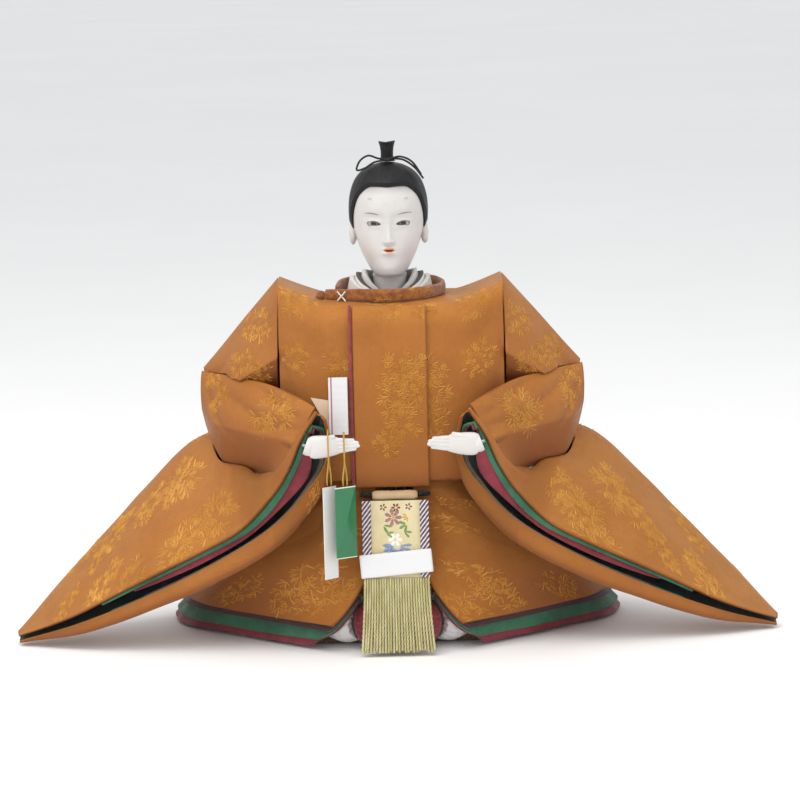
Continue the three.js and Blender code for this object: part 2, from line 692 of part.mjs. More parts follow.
/** Rings through four rails: top, front, bottom and back. */
function fourRailLoft(stations, rows, columns) {
  const rails = [0, 1, 2, 3].map((k) => smoothCurve(stations.map((station) => at(...station[k]))));
  return loft(Array.from({ length: rows + 1 }, (_, i) => {
    const corners = rails.map((rail) => rail.getPoint(i / rows));
    return sample(corners, columns, true);
  }));
}

function forearmSolid() {
  const [cx, cy, cz] = [CUFF_X, CUFF_Y, CUFF_Z];
  const [ex, ez] = [ELBOW_X, ELBOW_Z];
  return fourRailLoft([
    [[ex, -2, ez], [ex + 0.5, -9, ez - 18.5], [ex - 4.5, -4, ez - 37], [ex - 11, 10, ez - 20]],
    [[ex - 15.5, -18, ez - 0.5], [ex - 7, -24, ez - 23], [ex - 11.5, -14, ez - 46.5], [ex - 24, -6, ez - 24]],
    [[lerp(ex, cx, 0.57), -34, ez - 1.5], [70, -38.5, 105], [68, -26, 82.5], [58, -21, 105]],
    [[cx + 11, cy + 11, cz + 5], [cx + 22.5, cy + 10.5, cz - 16], [cx + 24.5, cy + 21, cz - 36], [51, -40, 106]],
    [[cx, cy, cz], [cx + 9.5, cy + 1, cz - 16], [cx + 20.5, cy + 8, cz - 34], [cx + 5, cy + 6, cz - 11]],
  ], 12, 16);
}

function upperSleeveSolid() {
  const [sx, sz] = [SHOULDER_X, SHOULDER_Z];
  const [ex, ez] = [ELBOW_X, ELBOW_Z];
  const mid = (share) => lerp(sx, ex, share);
  return fourRailLoft([
    [[sx, 0, sz], [sx, -36, 140], [sx, -10, 106], [sx, 34, 140]],
    [[mid(0.36), 0.5, lerp(sz, ez, 0.35)], [mid(0.36), -29, 131], [mid(0.36), -6, 105], [mid(0.36), 29, 130]],
    [[mid(0.7), 1.5, lerp(sz, ez, 0.69)], [mid(0.7), -19, 123], [mid(0.7), 0, 103], [mid(0.7), 23, 120]],
    [[ex - 0.3, 3, ez + 0.8], [ex - 1.5, -4, 122], [ex - 4.5, 6, 99], [ex - 1, 17, 113]],
  ], 7, 16);
}

// Arm wires

const WRIST = at(CUFF_X + 2.5, CUFF_Y - 3.5, CUFF_Z - 18.5);
const WIRE_DIRECTION = at(0.7, 0.7, 0.1).normalize();
const fromWrist = (distance) => WRIST.clone().addScaledVector(WIRE_DIRECTION, distance);

function armWirePoints() {
  const half = [
    fromWrist(HAND_WIRE_LENGTH - HAND_WIRE_EMBED + 2 * GAP),
    at(72, -24, 106),
    at(ELBOW_X - 8.5, -2, ELBOW_Z - 17.5),
    at(75, 3, 132),
    at(SHOULDER_X + 5, 4, 146),
    at(38, 4, 150),
  ];
  const middle = at(0, 4, 150.5);
  return [...half, middle, ...half.map((p) => at(-p.x, p.y, p.z)).reverse()];
}

const armWire = () => rod(armWirePoints(), WIRE_RADIUS, 6, 22);
const armWireWay = () => rod(armWirePoints(), WIRE_RADIUS + GAP + 0.1, 6, 22);
const handWire = () => bar(fromWrist(-HAND_WIRE_EMBED), fromWrist(HAND_WIRE_LENGTH - HAND_WIRE_EMBED), HAND_WIRE_RADIUS, 8);
const handWireWay = () => bar(fromWrist(-HAND_WIRE_EMBED - GAP), fromWrist(HAND_WIRE_LENGTH), HAND_WIRE_RADIUS + GAP, 8);

function wristTube(extra = 0) {
  const end = HAND_WIRE_LENGTH - HAND_WIRE_EMBED;
  return bar(fromWrist(end - WRIST_TUBE_LENGTH - extra), fromWrist(end + extra), WRIST_TUBE_RADIUS + extra, 12);
}

/** Room for the hand where it leaves the sleeve's mouth. */
function wristRoom() {
  return bar(fromWrist(-HAND_HEIGHT), fromWrist(HAND_HEIGHT * 0.4), HAND_HEIGHT / 2 + 2 * GAP, 10);
}

// Hand: built along +X from the wrist, its back toward -Y, then turned to point at the other hand.

function handSolid() {
  const palmLength = HAND_LENGTH - FINGER_LENGTH;
  const stations = [[0, 0.8, 0.85], [0.12, 0.93, 1], [0.5, 1, 1], [0.85, 0.98, 0.82], [1.08, 0.86, 0.55]];
  const palm = loft(stations.map(([along, high, thick]) => Array.from({ length: 12 }, (_, k) => {
    const turn = (2 * Math.PI * k) / 12;
    const y = Math.sin(turn) * thick * PALM_THICKNESS * 0.5;
    return at(along * palmLength, y, Math.cos(turn) * high * HAND_HEIGHT * 0.5);
  })));
  const reach = [-1.5, 0.4, 0.6, -0.7];
  const fingers = reach.map((more, k) => {
    const height = (1.5 - k) * FINGER_RADIUS * 1.5;
    const length = FINGER_LENGTH + more;
    const finger = new THREE.CapsuleGeometry(FINGER_RADIUS, length, 2, 6).rotateZ(Math.PI / 2);
    return finger.rotateY(height * 0.02).translate(palmLength + length / 2 - FINGER_RADIUS, 0, height);
  });
  const thumb = new THREE.CapsuleGeometry(FINGER_RADIUS, 7, 2, 6).rotateZ(Math.PI / 2);
  thumb.rotateY(-0.35).translate(palmLength * 0.78, PALM_THICKNESS * 0.3, HAND_HEIGHT * 0.42);
  return joined(palm, ...fingers, thumb);
}

const HAND_TURN = -170;
const HAND_TILT = -5;

function leftHand() {
  const shape = handSolid().rotateY(radians(HAND_TILT)).rotateZ(radians(HAND_TURN));
  return cut(shape.translate(WRIST.x, WRIST.y, WRIST.z), handWireWay());
}

// Head. Slices from the neck to the crown: [height, half width, front, back].

function headSlices() {
  const w = FACE_HALF_WIDTH;
  const f = FACE_FRONT_Y;
  const b = HEAD_BACK_Y;
  const faceZ = (share) => lerp(CHIN_Z, HEAD_TOP_Z, share);
  const neckFront = NECK_CENTRE_Y - NECK_RADIUS;
  const neckBack = NECK_CENTRE_Y + NECK_RADIUS;
  return [
    [NECK_BOTTOM_Z, NECK_RADIUS * 0.95, neckFront, neckBack],
    [CHIN_Z - 3, NECK_RADIUS, neckFront, neckBack + 1],
    [CHIN_Z - 0.6, NECK_RADIUS * 1.04, neckFront - 1.5, neckBack + 3],
    [faceZ(0.012), w * 0.44, f + 2.4, neckBack + 5],
    [faceZ(0.07), w * 0.56, f + 0.4, b * 0.5],
    [faceZ(0.17), w * 0.71, f - 0.4, b * 0.66],
    [faceZ(0.27), w * 0.83, f - 0.4, b * 0.8],
    [faceZ(0.37), w * 0.92, f, b * 0.91],
    [faceZ(0.48), w * 0.98, f + 0.7, b * 0.98],
    [faceZ(0.6), w, f + 0.4, b],
    [faceZ(0.72), w * 0.97, f + 0.8, b * 0.97],
    [faceZ(0.84), w * 0.86, f + 3.6, b * 0.86],
    [faceZ(0.92), w * 0.69, f + 8, b * 0.66],
    [faceZ(0.975), w * 0.43, f + 14, b * 0.38],
    [faceZ(1), w * 0.16, f + 20, b * 0.1],
  ];
}

function ovalRing(z, halfWidth, front, back, extra = 0, sides = 20) {
  const centreY = (front + back) / 2;
  const halfDepth = (back - front) / 2 + extra;
  return Array.from({ length: sides }, (_, k) => {
    const turn = (2 * Math.PI * k) / sides;
    return at((halfWidth + extra) * Math.sin(turn), centreY - halfDepth * Math.cos(turn), z);
  });
}

const skullSolid = () => loft(headSlices().map(([z, w, f, b]) => ovalRing(z, w, f, b)));

function ear(side, room = 0) {
  return ellipsoid(at(side * FACE_HALF_WIDTH, -2, EYE_Z - 7), 2.2 + room, 3.2 + room, 6.2 + room, 6, 6);
}

function headSolid() {
  const skull = skullSolid();
  const nose = ellipsoid(at(0, FACE_FRONT_Y + 0.6, EYE_Z - 3.2), 2.4, 3.6, 6.4, 8, 6);
  const lips = ellipsoid(at(0, FACE_FRONT_Y + 0.3, EYE_Z - 12.6), 3.3, 1.5, 1.9, 8, 4);
  return joined(skull, nose, lips, ear(-1), ear(1));
}

function faceSolid(head) {
  const sockets = [-1, 1].map((side) => ellipsoid(at(side * EYE_X, EYE_Y, EYE_Z), ...Array(3).fill(EYE_RADIUS + GAP), 10, 6));
  const slits = [-1, 1].map((side) => {
    const centre = at(side * EYE_X, EYE_Y - EYE_RADIUS, EYE_Z);
    return ellipsoid(centre, EYE_SLIT_HALF_WIDTH, EYE_RADIUS, EYE_SLIT_HALF_HEIGHT, 8, 4);
  });
  const stickTop = at(0, NECK_CENTRE_Y, NECK_BOTTOM_Z + STICK_EMBED + GAP);
  const stickRoom = bar(at(0, NECK_CENTRE_Y, NECK_BOTTOM_Z - 1), stickTop, STICK_RADIUS + GAP);
  return cut(head, ...sockets, ...slits, stickRoom);
}

const eyeBall = (side) => ellipsoid(at(side * EYE_X, EYE_Y, EYE_Z), EYE_RADIUS, EYE_RADIUS, EYE_RADIUS, 10, 6);
const HAIR_TOP_Z = HEAD_TOP_Z + HAIR_THICKNESS;

function hairSolid() {
  const napeShare = 0.24;
  const slices = headSlices().filter(([z]) => z > lerp(CHIN_Z, HEAD_TOP_Z, napeShare));
  const top = slices.length - 1;
  const outer = loft(slices.map(([z, w, f, b], i) => {
    const lift = i / top;
    return ovalRing(z + lift * HAIR_THICKNESS, w, f, b, HAIR_THICKNESS * (0.7 + 0.3 * lift));
  }));
  const wide = 2 * FACE_HALF_WIDTH;
  const w = FACE_HALF_WIDTH;
  const half = [
    [wide, NECK_BOTTOM_Z], [wide, SIDEBURN_Z], [w, SIDEBURN_Z], [w * 0.96, SIDEBURN_Z + 7.5],
    [w * 0.87, HAIRLINE_Z - 6], [w * 0.76, HAIRLINE_Z - 2.8], [w * 0.6, HAIRLINE_Z - 0.4], [w * 0.34, HAIRLINE_Z + 0.2],
  ];
  const outline = [...half, ...half.map(([x, z]) => [-x, z]).reverse()].map(([x, z]) => new THREE.Vector2(x, z));
  const depth = 40;
  const window = new THREE.ExtrudeGeometry(new THREE.Shape(outline), { depth, bevelEnabled: false });
  window.rotateX(Math.PI / 2).translate(0, HAIR_CUT_Y, 0);
  return cut(outer, window, grown(skullSolid()), ear(-1, 2 * GAP), ear(1, 2 * GAP));
}

function topknotSolid() {
  const bottom = HAIR_TOP_Z + GAP;
  const profile = [[0, 1.25], [0.12, 1.0], [0.3, 0.92], [0.6, 0.95], [0.85, 1.08], [1, 1.25]];
  return loft(profile.map(([share, wide]) => {
    const r = TOPKNOT_RADIUS * wide;
    return ovalRing(bottom + share * TOPKNOT_HEIGHT, r, -0.8 * r, 0.8 * r, 0, 12);
  }));
}

/** One length of cord: a turn round the knot, a loop to each side and two short ends. */
function bowPoints() {
  const z = HAIR_TOP_Z;
  return [
    at(17.2, -8.4, z - 7.6), at(13, -7.8, z - 2.2), at(7.5, -5.6, z + 1.4), at(2.5, -4.8, z + 1.9),
    at(-4, -4.7, z + 2.1), at(-9, -5.2, z + 3.6), at(-13, -5.8, z + 1.2), at(-14.6, -6.6, z - 3.0),
    at(-11, -8.8, z - 2.2), at(-6, -7.6, z + 0.6), at(0, -6.6, z + 1.5), at(6, -6.9, z + 3.0),
    at(11.5, -7.9, z + 0.8), at(16.2, -8, z - 5.6),
  ];
}

// Belt and skirts. Half stations run from the front opening round to the back centre.

function skirtColumns() {
  const w = SKIRT_HALF_WIDTH;
  const b = SKIRT_BACK_Y;
  const [cx, cy] = [SKIRT_CORNER_X, SKIRT_CORNER_Y];
  const waist = [[9, SKIRT_WAIST_Y], [24, -40.5], [38, -27], [42.5, -6], [38, 15], [23, 28], [0, 32]];
  const knee = [[13, -50.5], [48, -44], [0.76 * w, -20], [0.82 * w, 12], [0.66 * w, 0.55 * b], [0.36 * w, 0.74 * b], [0, 0.79 * b]];
  const kneeZ = [38, 41, 38, 34, 32, 31, 31];
  const hem = [[cx, cy], [2 * cx, cy + 22], [0.93 * w, -4], [w, 24], [0.81 * w, 0.71 * b], [0.43 * w, 0.94 * b], [0, b]];
  const foot = [[cx + 14, cy + 8], [2 * cx + 12, cy + 28], [0.93 * w + 10, 0], [w + 9, 26], [0.81 * w + 8, 0.76 * b],
    [0.43 * w + 4, 0.94 * b + 7], [0, b + 7]];
  const footZ = SKIRT_HEM_Z - 8.6;
  return waist.map(([x, y], k) => [
    at(x, y, SKIRT_TOP_Z), at(...knee[k], kneeZ[k]), at(...hem[k], SKIRT_HEM_Z), at(...foot[k], footZ),
  ]);
}

const SKIRT_HALF_STEPS = 10;

/** The skirt's middle surface at the given levels: 0 waist, 1 knee, 2 hem, 3 foot. */
function skirtGrid(levels) {
  const half = skirtColumns();
  const stations = [...half, ...half.slice(0, -1).reverse().map((c) => c.map((p) => at(-p.x, p.y, p.z)))];
  const rails = [0, 1, 2, 3].map((k) => smoothCurve(stations.map((station) => station[k])));
  const columns = 2 * SKIRT_HALF_STEPS;
  const curves = Array.from({ length: columns + 1 }, (_, j) => smoothCurve(rails.map((rail) => rail.getPoint(j / columns))));
  return levels.map((level) => curves.map((curve) => curve.getPoint(level / 3)));
}

const SKIRT_LEVELS = [0, 0.36, 0.7, 1.04, 1.38, 1.69, 2];
const UNDER_SKIRT_FIRST = 4;

const outerSkirt = () => sheet(skirtGrid(SKIRT_LEVELS), SKIRT_THICKNESS);

/** Moves a skirt grid toward the inside of the skirt. */
function movedInside(grid, distance) {
  const front = gridNormals(grid)[0][1];
  const inward = front.y > 0 ? 1 : -1;
  return offsetGrid(grid, () => inward * distance);
}

/** The belt inside the skirt's waist, open in front behind the sash. */
function waistBelt() {
  const distance = (SKIRT_THICKNESS + BELT_THICKNESS) / 2 + GAP + 0.15;
  return sheet(movedInside(skirtGrid([0.02, BELT_REACH]), distance), BELT_THICKNESS);
}

/** An under skirt's strip: each layer lies inside the one before and reaches further down. */
function underSkirt(layer, ...further) {
  const grid = skirtGrid([...SKIRT_LEVELS, ...further]);
  const start = (SKIRT_THICKNESS + UNDER_SKIRT_THICKNESS) / 2 + UNDER_SKIRT_GAP;
  const distance = start + (layer - 1) * (UNDER_SKIRT_THICKNESS + UNDER_SKIRT_GAP);
  return sheet(movedInside(grid, distance).slice(UNDER_SKIRT_FIRST), UNDER_SKIRT_THICKNESS);
}

function hakamaLining() {
  return ellipsoid(at(13.5, -46.5, 12.8), 8.2, 8.5, 11.2, 12, 8);
}

function hakamaLeg(lining, ...neighbours) {
  const leg = ellipsoid(at(24, -36, 13.2), 14, 17, 12.2, 14, 8);
  const mouth = ellipsoid(at(14, -52, 12.8), 9.5, 7, 12.2, 10, 8);
  return clearOf(cut(leg, mouth), lining, ...neighbours);
}

// Sash: built upright below its hinge line, then leant forward

const SASH_HINGE = at(0, SKIRT_WAIST_Y - SKIRT_THICKNESS / 2 - GAP - SASH_ROLL_RADIUS - 0.1, SKIRT_TOP_Z - 1.5);
const SASH_TOP = -SASH_ROLL_RADIUS - GAP;
const sashPlaced = (geometry) => geometry.rotateX(radians(-SASH_LEAN)).translate(...SASH_HINGE.toArray());
const SASH_FACE_Y = -SASH_ROLL_RADIUS;

function sashRoll() {
  const half = SASH_ROLL_LENGTH / 2;
  const offset = at(half, 0, 0);
  return bar(SASH_HINGE.clone().sub(offset), SASH_HINGE.clone().add(offset), SASH_ROLL_RADIUS, 16);
}

function sashPanel() {
  return sashPlaced(box(SASH_WIDTH, SASH_THICKNESS, SASH_LENGTH).translate(0, SASH_FACE_Y, SASH_TOP - SASH_LENGTH / 2));
}

function sashBorder(side) {
  const x = side * (SASH_WIDTH - BORDER_WIDTH) / 2;
  const y = SASH_FACE_Y - SASH_THICKNESS / 2 - GAP - BORDER_THICKNESS / 2;
  return sashPlaced(box(BORDER_WIDTH, BORDER_THICKNESS, SASH_LENGTH).translate(x, y, SASH_TOP - SASH_LENGTH / 2));
}

function sashFringe() {
  const topCentre = sashPlaced(new THREE.BufferGeometry().setFromPoints([
    at(0, SASH_FACE_Y, SASH_TOP - SASH_LENGTH - GAP - FRINGE_THICKNESS * Math.sin(radians(SASH_LEAN))),
  ]));
  const top = new THREE.Vector3().fromBufferAttribute(topCentre.attributes.position, 0);
  const bottom = at(0, FRINGE_BOTTOM_Y, FRINGE_BOTTOM_Z);
  const rows = 2;
  const outline = Array.from({ length: 2 * FRINGE_STRANDS + 1 }, (_, k) => [k / FRINGE_STRANDS - 1, k % 2 ? 1 : 0.55]);
  const rings = Array.from({ length: rows + 1 }, (_, i) => {
    const share = i / rows;
    const half = lerp(FRINGE_TOP_WIDTH, FRINGE_BOTTOM_WIDTH, share ** 1.6) / 2;
    const y = lerp(top.y, bottom.y, 1 - (1 - share) ** 1.5);
    const z = lerp(top.z, bottom.z, share);
    const deep = FRINGE_THICKNESS / 2;
    const front = outline.map(([u, v]) => at(u * half, y - v * deep, z));
    const back = outline.map(([u, v]) => at(u * half, y + v * deep, z)).reverse();
    return [...front, ...back];
  });
  return loft(rings);
}

function paperBand() {
  const slant = BAND_HEIGHT * Math.tan(radians(BAND_TILT));
  const room = { width: SASH_WIDTH + slant + 2 * GAP + 0.2, depth: SASH_THICKNESS + BORDER_THICKNESS + 3 * GAP };
  const outer = box(room.width + 2 * BAND_THICKNESS, room.depth + 2 * BAND_THICKNESS, BAND_HEIGHT);
  const hollow = box(room.width, room.depth, BAND_HEIGHT + 2);
  const y = SASH_FACE_Y - (BORDER_THICKNESS + GAP) / 2;
  const z = SASH_TOP - SASH_LENGTH + BAND_HEIGHT / 2 + 1.2;
  return sashPlaced(cut(outer, hollow).rotateY(radians(-BAND_TILT)).translate(0, y, z));
}

// Folded paper and its backing sheet

const PAPER_TOP_Z = PAPER_BOTTOM_Z + PAPER_LENGTH;
const PAPER_LOW = at(PAPER_X, frontY(PAPER_X, PAPER_BOTTOM_Z), PAPER_BOTTOM_Z);
const PAPER_HIGH = at(PAPER_X, frontY(PAPER_X, PAPER_TOP_Z), PAPER_TOP_Z);
const PAPER_LEAN = Math.atan2(PAPER_HIGH.y - PAPER_LOW.y, PAPER_LENGTH);
const PAPER_BELLY = Math.max(...[0.2, 0.35, 0.5, 0.65, 0.8].map((share) => {
  const chord = lerp(PAPER_LOW.y, PAPER_HIGH.y, share);
  return chord - frontY(PAPER_X + PAPER_WIDTH / 2, PAPER_BOTTOM_Z + share * PAPER_LENGTH);
}));

function paperPlaced(geometry, proud) {
  const middle = PAPER_LOW.clone().add(PAPER_HIGH).multiplyScalar(0.5);
  return geometry.rotateX(-PAPER_LEAN).translate(middle.x, middle.y - PAPER_BELLY - proud, middle.z);
}

const foldedPaper = () => paperPlaced(
  box(PAPER_WIDTH, PAPER_THICKNESS, PAPER_LENGTH),
  2 * GAP + BACKING_THICKNESS + PAPER_THICKNESS / 2,
);

function paperBacking() {
  const left = -PAPER_WIDTH / 2 - BACKING_WIDTH;
  const corners = [[left, 4], [PAPER_WIDTH * 0.4, 1], [PAPER_WIDTH * 0.4, -13], [-PAPER_WIDTH / 2, -12]];
  const outline = new THREE.Shape(corners.map(([x, z]) => new THREE.Vector2(x, z)));
  const shape = new THREE.ExtrudeGeometry(outline, { depth: BACKING_THICKNESS, bevelEnabled: false });
  return paperPlaced(shape.rotateX(Math.PI / 2), GAP);
}

// Hang tags

/** A tag's sizes together with where the hand's fingers are at its thread. */
function hungOn(hand, tag) {
  const slice = toSolid(hand).intersect(toSolid(box(0.5, 60, 60).translate(tag.x, WRIST.y, WRIST.z)));
  const { min, max } = slice.boundingBox();
  return { ...tag, front: min[1], top: max[2], y: (min[1] + max[1]) / 2 };
}

function tagCard({ x, y, width, length, turn }) {
  const card = box(width, TAG_THICKNESS, length).rotateZ(radians(turn));
  return card.translate(x, y, TAG_TOP_Z - length / 2);
}

/** The thread's loop from one side of the card over the fingers and back to the other. */
function tagThreadPoints({ x, y, front, top }) {
  const low = TAG_TOP_Z + GAP;
  const room = THREAD_RADIUS + GAP;
  const side = (y - front) + room;
  return [
    at(x - THREAD_SPREAD, y, low), at(x - THREAD_SPREAD, y - 1, low + 4), at(x, y - side, top - 13),
    at(x, y - side, top - 5), at(x, y - 0.7 * side, top + room), at(x, y + 0.7 * side, top + room),
    at(x, y + side, top - 5), at(x, y + side, top - 13), at(x + THREAD_SPREAD, y + 1.2, low + 4.5),
    at(x + THREAD_SPREAD, y, low),
  ];
}

const tagThread = (tag) => rod(tagThreadPoints(tag), THREAD_RADIUS, 8, 26);

// Finishes

const finish = (color, roughness, metalness = 0) => new THREE.MeshStandardMaterial({ color, roughness, metalness });
const FINISH = {
  brocade: finish(0xb56f2c, 0.6),
  piping: finish(0x9c2b2f, 0.6),
  green: finish(0x2f6b4f, 0.6),
  crimson: finish(0x8e2f3a, 0.6),
  plum: finish(0x4a2a2e, 0.6),
  white: finish(0xf0eee8, 0.8),
  dark: finish(0x4c4a48, 0.7),
  gofun: finish(0xefe9e0, 0.45),
  hand: finish(0xf7f5f2, 0.4),
  hair: finish(0x17171a, 0.5),
  cord: finish(0x0c0c0e, 0.5),
  glass: finish(0x1d1612, 0.08),
  wood: finish(0xc9a36b, 0.7),
  straw: finish(0xcdb577, 0.9),
  wadding: finish(0xe9e3d2, 0.95),
  steel: finish(0x8c8f92, 0.35, 1),
  kraft: finish(0xb79a6e, 0.85),
  leather: finish(0x1f1c1c, 0.5),
  tan: finish(0xc9a77f, 0.7),
  cream: finish(0xe6d6a8, 0.6),
  stripe: finish(0x6f6a72, 0.6),
  fringe: finish(0xb8ae72, 0.6),
  paper: finish(0xf6f5f2, 0.8),
  backing: finish(0xd9b48c, 0.8),
  greenTag: finish(0x2e8050, 0.4),
  goldThread: finish(0xcf9a2e, 0.4, 0.5),
};

const doll = new THREE.Group();

function add(name, geometry, material) {
  const mesh = new THREE.Mesh(geometry, material);
  mesh.name = name;
  doll.add(mesh);
}

/** The same piece on the doll's left and right. */
function addPair(name, geometry, material) {
  add(`${name}_left`, geometry, material);
  add(`${name}_right`, mirrored(geometry), material);
}

const wireWay = armWireWay();
const torso = torsoSolid();
const robe = robeBody(torso, wireWay);
const head = headSolid();
const hand = leftHand();
const tubeBore = handWireWay();

add('base_board', baseBoard(), FINISH.wood);
add('seat_block', seatBlock(), FINISH.wood);
add('straw_core', strawCore(wireWay), FINISH.straw);
add('core_binding', coreBinding(), FINISH.kraft);
add('torso_wadding', torsoWadding(torso, wireWay), FINISH.wadding);
add('arm_wire', armWire(), FINISH.steel);
addPair('wrist_tube', cut(wristTube(), tubeBore), FINISH.kraft);

add('under_collar_inner', underCollar(0), FINISH.white);
add('under_collar_middle', underCollar(1), FINISH.dark);
add('under_collar_outer', underCollar(2), FINISH.white);
add('robe_body', robe, FINISH.brocade);
add('robe_front_panel', frontPanel(), FINISH.brocade);
add('front_piping', frontPiping(), FINISH.piping);
add('robe_collar', robeCollar(robe), FINISH.brocade);
add('collar_knot', clearOf(collarKnot(), robe), FINISH.brocade);
add('collar_stitch', clearOf(collarStitch(), robe), FINISH.white);

add('waist_belt', waistBelt(), FINISH.leather);
const skirt = outerSkirt();
const plumSkirt = underSkirt(1, 2.24);
const greenSkirt = underSkirt(2, 2.34, 2.68);
const redSkirt = underSkirt(3, 2.34, 2.68, 2.95);
add('outer_skirt', skirt, FINISH.brocade);
add('plum_skirt', plumSkirt, FINISH.plum);
add('green_skirt', greenSkirt, FINISH.green);
add('red_skirt', redSkirt, FINISH.crimson);
const lining = hakamaLining();
addPair('hakama_lining', lining, FINISH.crimson);
const layers = [skirt, plumSkirt, greenSkirt, redSkirt, baseBoard(), seatBlock()];
addPair('hakama', hakamaLeg(lining, ...layers), FINISH.white);

const forearm = forearmSolid();
const upperSleeve = upperSleeveSolid();
const wing = wingSleeve();
const greenSleeve = underSleeve(1);
const redSleeve = underSleeve(2);
const wristWays = [wristTube(GAP), tubeBore];
const trimmedForearm = cut(forearm, grown(torso), wireWay, ...wristWays);
addPair('forearm_sleeve', trimmedForearm, FINISH.brocade);
addPair('upper_sleeve', cut(upperSleeve, grown(forearm), wireWay), FINISH.brocade);
const arm = [grown(forearm, 3 * GAP), grown(upperSleeve, 2 * GAP), wristRoom()];
addPair('wing_sleeve', cut(wing, ...arm, ...wristWays), FINISH.brocade);
addPair('green_sleeve', cut(greenSleeve, ...arm, ...wristWays), FINISH.green);
addPair('red_sleeve', cut(redSleeve, ...arm, ...wristWays, grown(wing)), FINISH.crimson);
addPair('hand_wire', handWire(), FINISH.steel);
addPair('hand', hand, FINISH.hand);

const stickTop = NECK_BOTTOM_Z + STICK_EMBED;
add('head_stick', bar(at(0, NECK_CENTRE_Y, STICK_BOTTOM_Z), at(0, NECK_CENTRE_Y, stickTop), STICK_RADIUS), FINISH.wood);
add('face', faceSolid(head), FINISH.gofun);
add('eye_left', eyeBall(1), FINISH.glass);
add('eye_right', eyeBall(-1), FINISH.glass);
add('hair', hairSolid(), FINISH.hair);
add('topknot', topknotSolid(), FINISH.hair);
add('topknot_cord', rod(bowPoints(), BOW_CORD_RADIUS, 8, 28), FINISH.cord);

add('sash_roll', sashRoll(), FINISH.tan);
add('sash_panel', sashPanel(), FINISH.cream);
add('sash_border_left', sashBorder(1), FINISH.stripe);
add('sash_border_right', sashBorder(-1), FINISH.stripe);
add('sash_fringe', sashFringe(), FINISH.fringe);
add('paper_band', paperBand(), FINISH.paper);
add('folded_paper', foldedPaper(), FINISH.paper);
add('paper_backing_sheet', paperBacking(), FINISH.backing);
const [whiteTag, greenTag] = [WHITE_TAG, GREEN_TAG].map((tag) => hungOn(mirrored(hand), tag));
add('white_tag', tagCard(whiteTag), FINISH.paper);
add('white_tag_thread', tagThread(whiteTag), FINISH.goldThread);
add('green_tag', tagCard(greenTag), FINISH.greenTag);
add('green_tag_thread', tagThread(greenTag), FINISH.goldThread);

export default doll;
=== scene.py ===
# %% [markdown]
# # A seated festival doll in court robes
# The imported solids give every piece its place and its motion. This lesson dresses them: cloth with real folds,
# a woven gold figure, a polished white face, combed hair, silk strands and paper tags. All lengths are written
# in millimetres and turned into metres where a mesh is made.

# %% Load the frame
import math

import bmesh
import bpy
import numpy as np
from mathutils import Matrix, Vector
from mathutils.bvhtree import BVHTree
from mathutils.geometry import barycentric_transform


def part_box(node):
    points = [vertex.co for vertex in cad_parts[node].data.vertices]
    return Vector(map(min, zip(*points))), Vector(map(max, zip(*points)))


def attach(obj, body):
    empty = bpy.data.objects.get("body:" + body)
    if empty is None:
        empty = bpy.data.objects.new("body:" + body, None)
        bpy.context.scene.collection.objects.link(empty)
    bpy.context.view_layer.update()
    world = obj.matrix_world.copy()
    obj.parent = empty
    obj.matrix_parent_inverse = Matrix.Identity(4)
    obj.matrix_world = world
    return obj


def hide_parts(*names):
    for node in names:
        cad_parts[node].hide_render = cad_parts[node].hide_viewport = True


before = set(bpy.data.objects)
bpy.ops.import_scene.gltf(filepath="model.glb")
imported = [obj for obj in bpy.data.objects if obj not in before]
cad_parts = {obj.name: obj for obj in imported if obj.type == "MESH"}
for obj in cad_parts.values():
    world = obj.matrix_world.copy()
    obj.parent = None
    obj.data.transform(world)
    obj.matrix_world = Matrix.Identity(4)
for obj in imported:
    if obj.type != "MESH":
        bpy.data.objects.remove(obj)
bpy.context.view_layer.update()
MM = 0.001
TURN = 2 * math.pi
ROOT = "doll_body"
SIDES = ((1, "left"), (-1, "right"))  # the doll's left is at +X

# %% [markdown]
# ## What every piece needs
# Each finished object hides the solid it stands for and hangs on the body that carries it. Modifiers
# are put into the mesh at once, so that every piece ends as plain geometry.

# %% Small functions that all pieces share
def full_turn(count):
    return np.linspace(0, TURN, count, endpoint=False)


def unit(vectors):
    return vectors / np.maximum(np.linalg.norm(vectors, axis=-1, keepdims=True), 1e-12)


def add_object(name, data):
    piece = bpy.data.objects.new(name, data)
    bpy.context.collection.objects.link(piece)
    return piece


def bake(piece):
    """Puts a piece's modifiers into its mesh."""
    piece_now = piece.evaluated_get(bpy.context.evaluated_depsgraph_get())
    shape = bpy.data.meshes.new_from_object(piece_now)
    piece.modifiers.clear()
    piece.data = shape
    return shape


def only_material(shape, material):
    shape.materials.clear()
    shape.materials.append(material)


def box_mm(node):
    """The lowest and highest corner of a node's solid, in millimetres."""
    return (np.array(corner) * 1000 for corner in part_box(node))


def turn_outward(piece):
    """Turns all faces of a closed mesh to its outside."""
    shape = bmesh.new()
    shape.from_mesh(piece.data)
    bmesh.ops.recalc_face_normals(shape, faces=shape.faces)
    shape.to_mesh(piece.data)
    shape.free()


def dress(piece, node, body):
    """Hides the solid that a piece stands for and hangs the piece on the body that carries it."""
    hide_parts(node)
    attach(piece, body)


print("a unit vector", unit(np.array((3.0, 4.0, 0.0))))

# %% [markdown]
# ## The camera
# The photograph looks slightly down at the doll from well back, so near and far parts keep nearly one scale. A
# long lens 1.3 m away does the same. The camera is made first.

# %% Camera at the photograph's angle
CAMERA_DISTANCE = 1300
CAMERA_ELEVATION = math.radians(10)
CAMERA_ROLL = math.radians(1.35)
CAMERA_TARGET = np.array([3.5, 0, 112])
CAMERA_LENS = 119.9

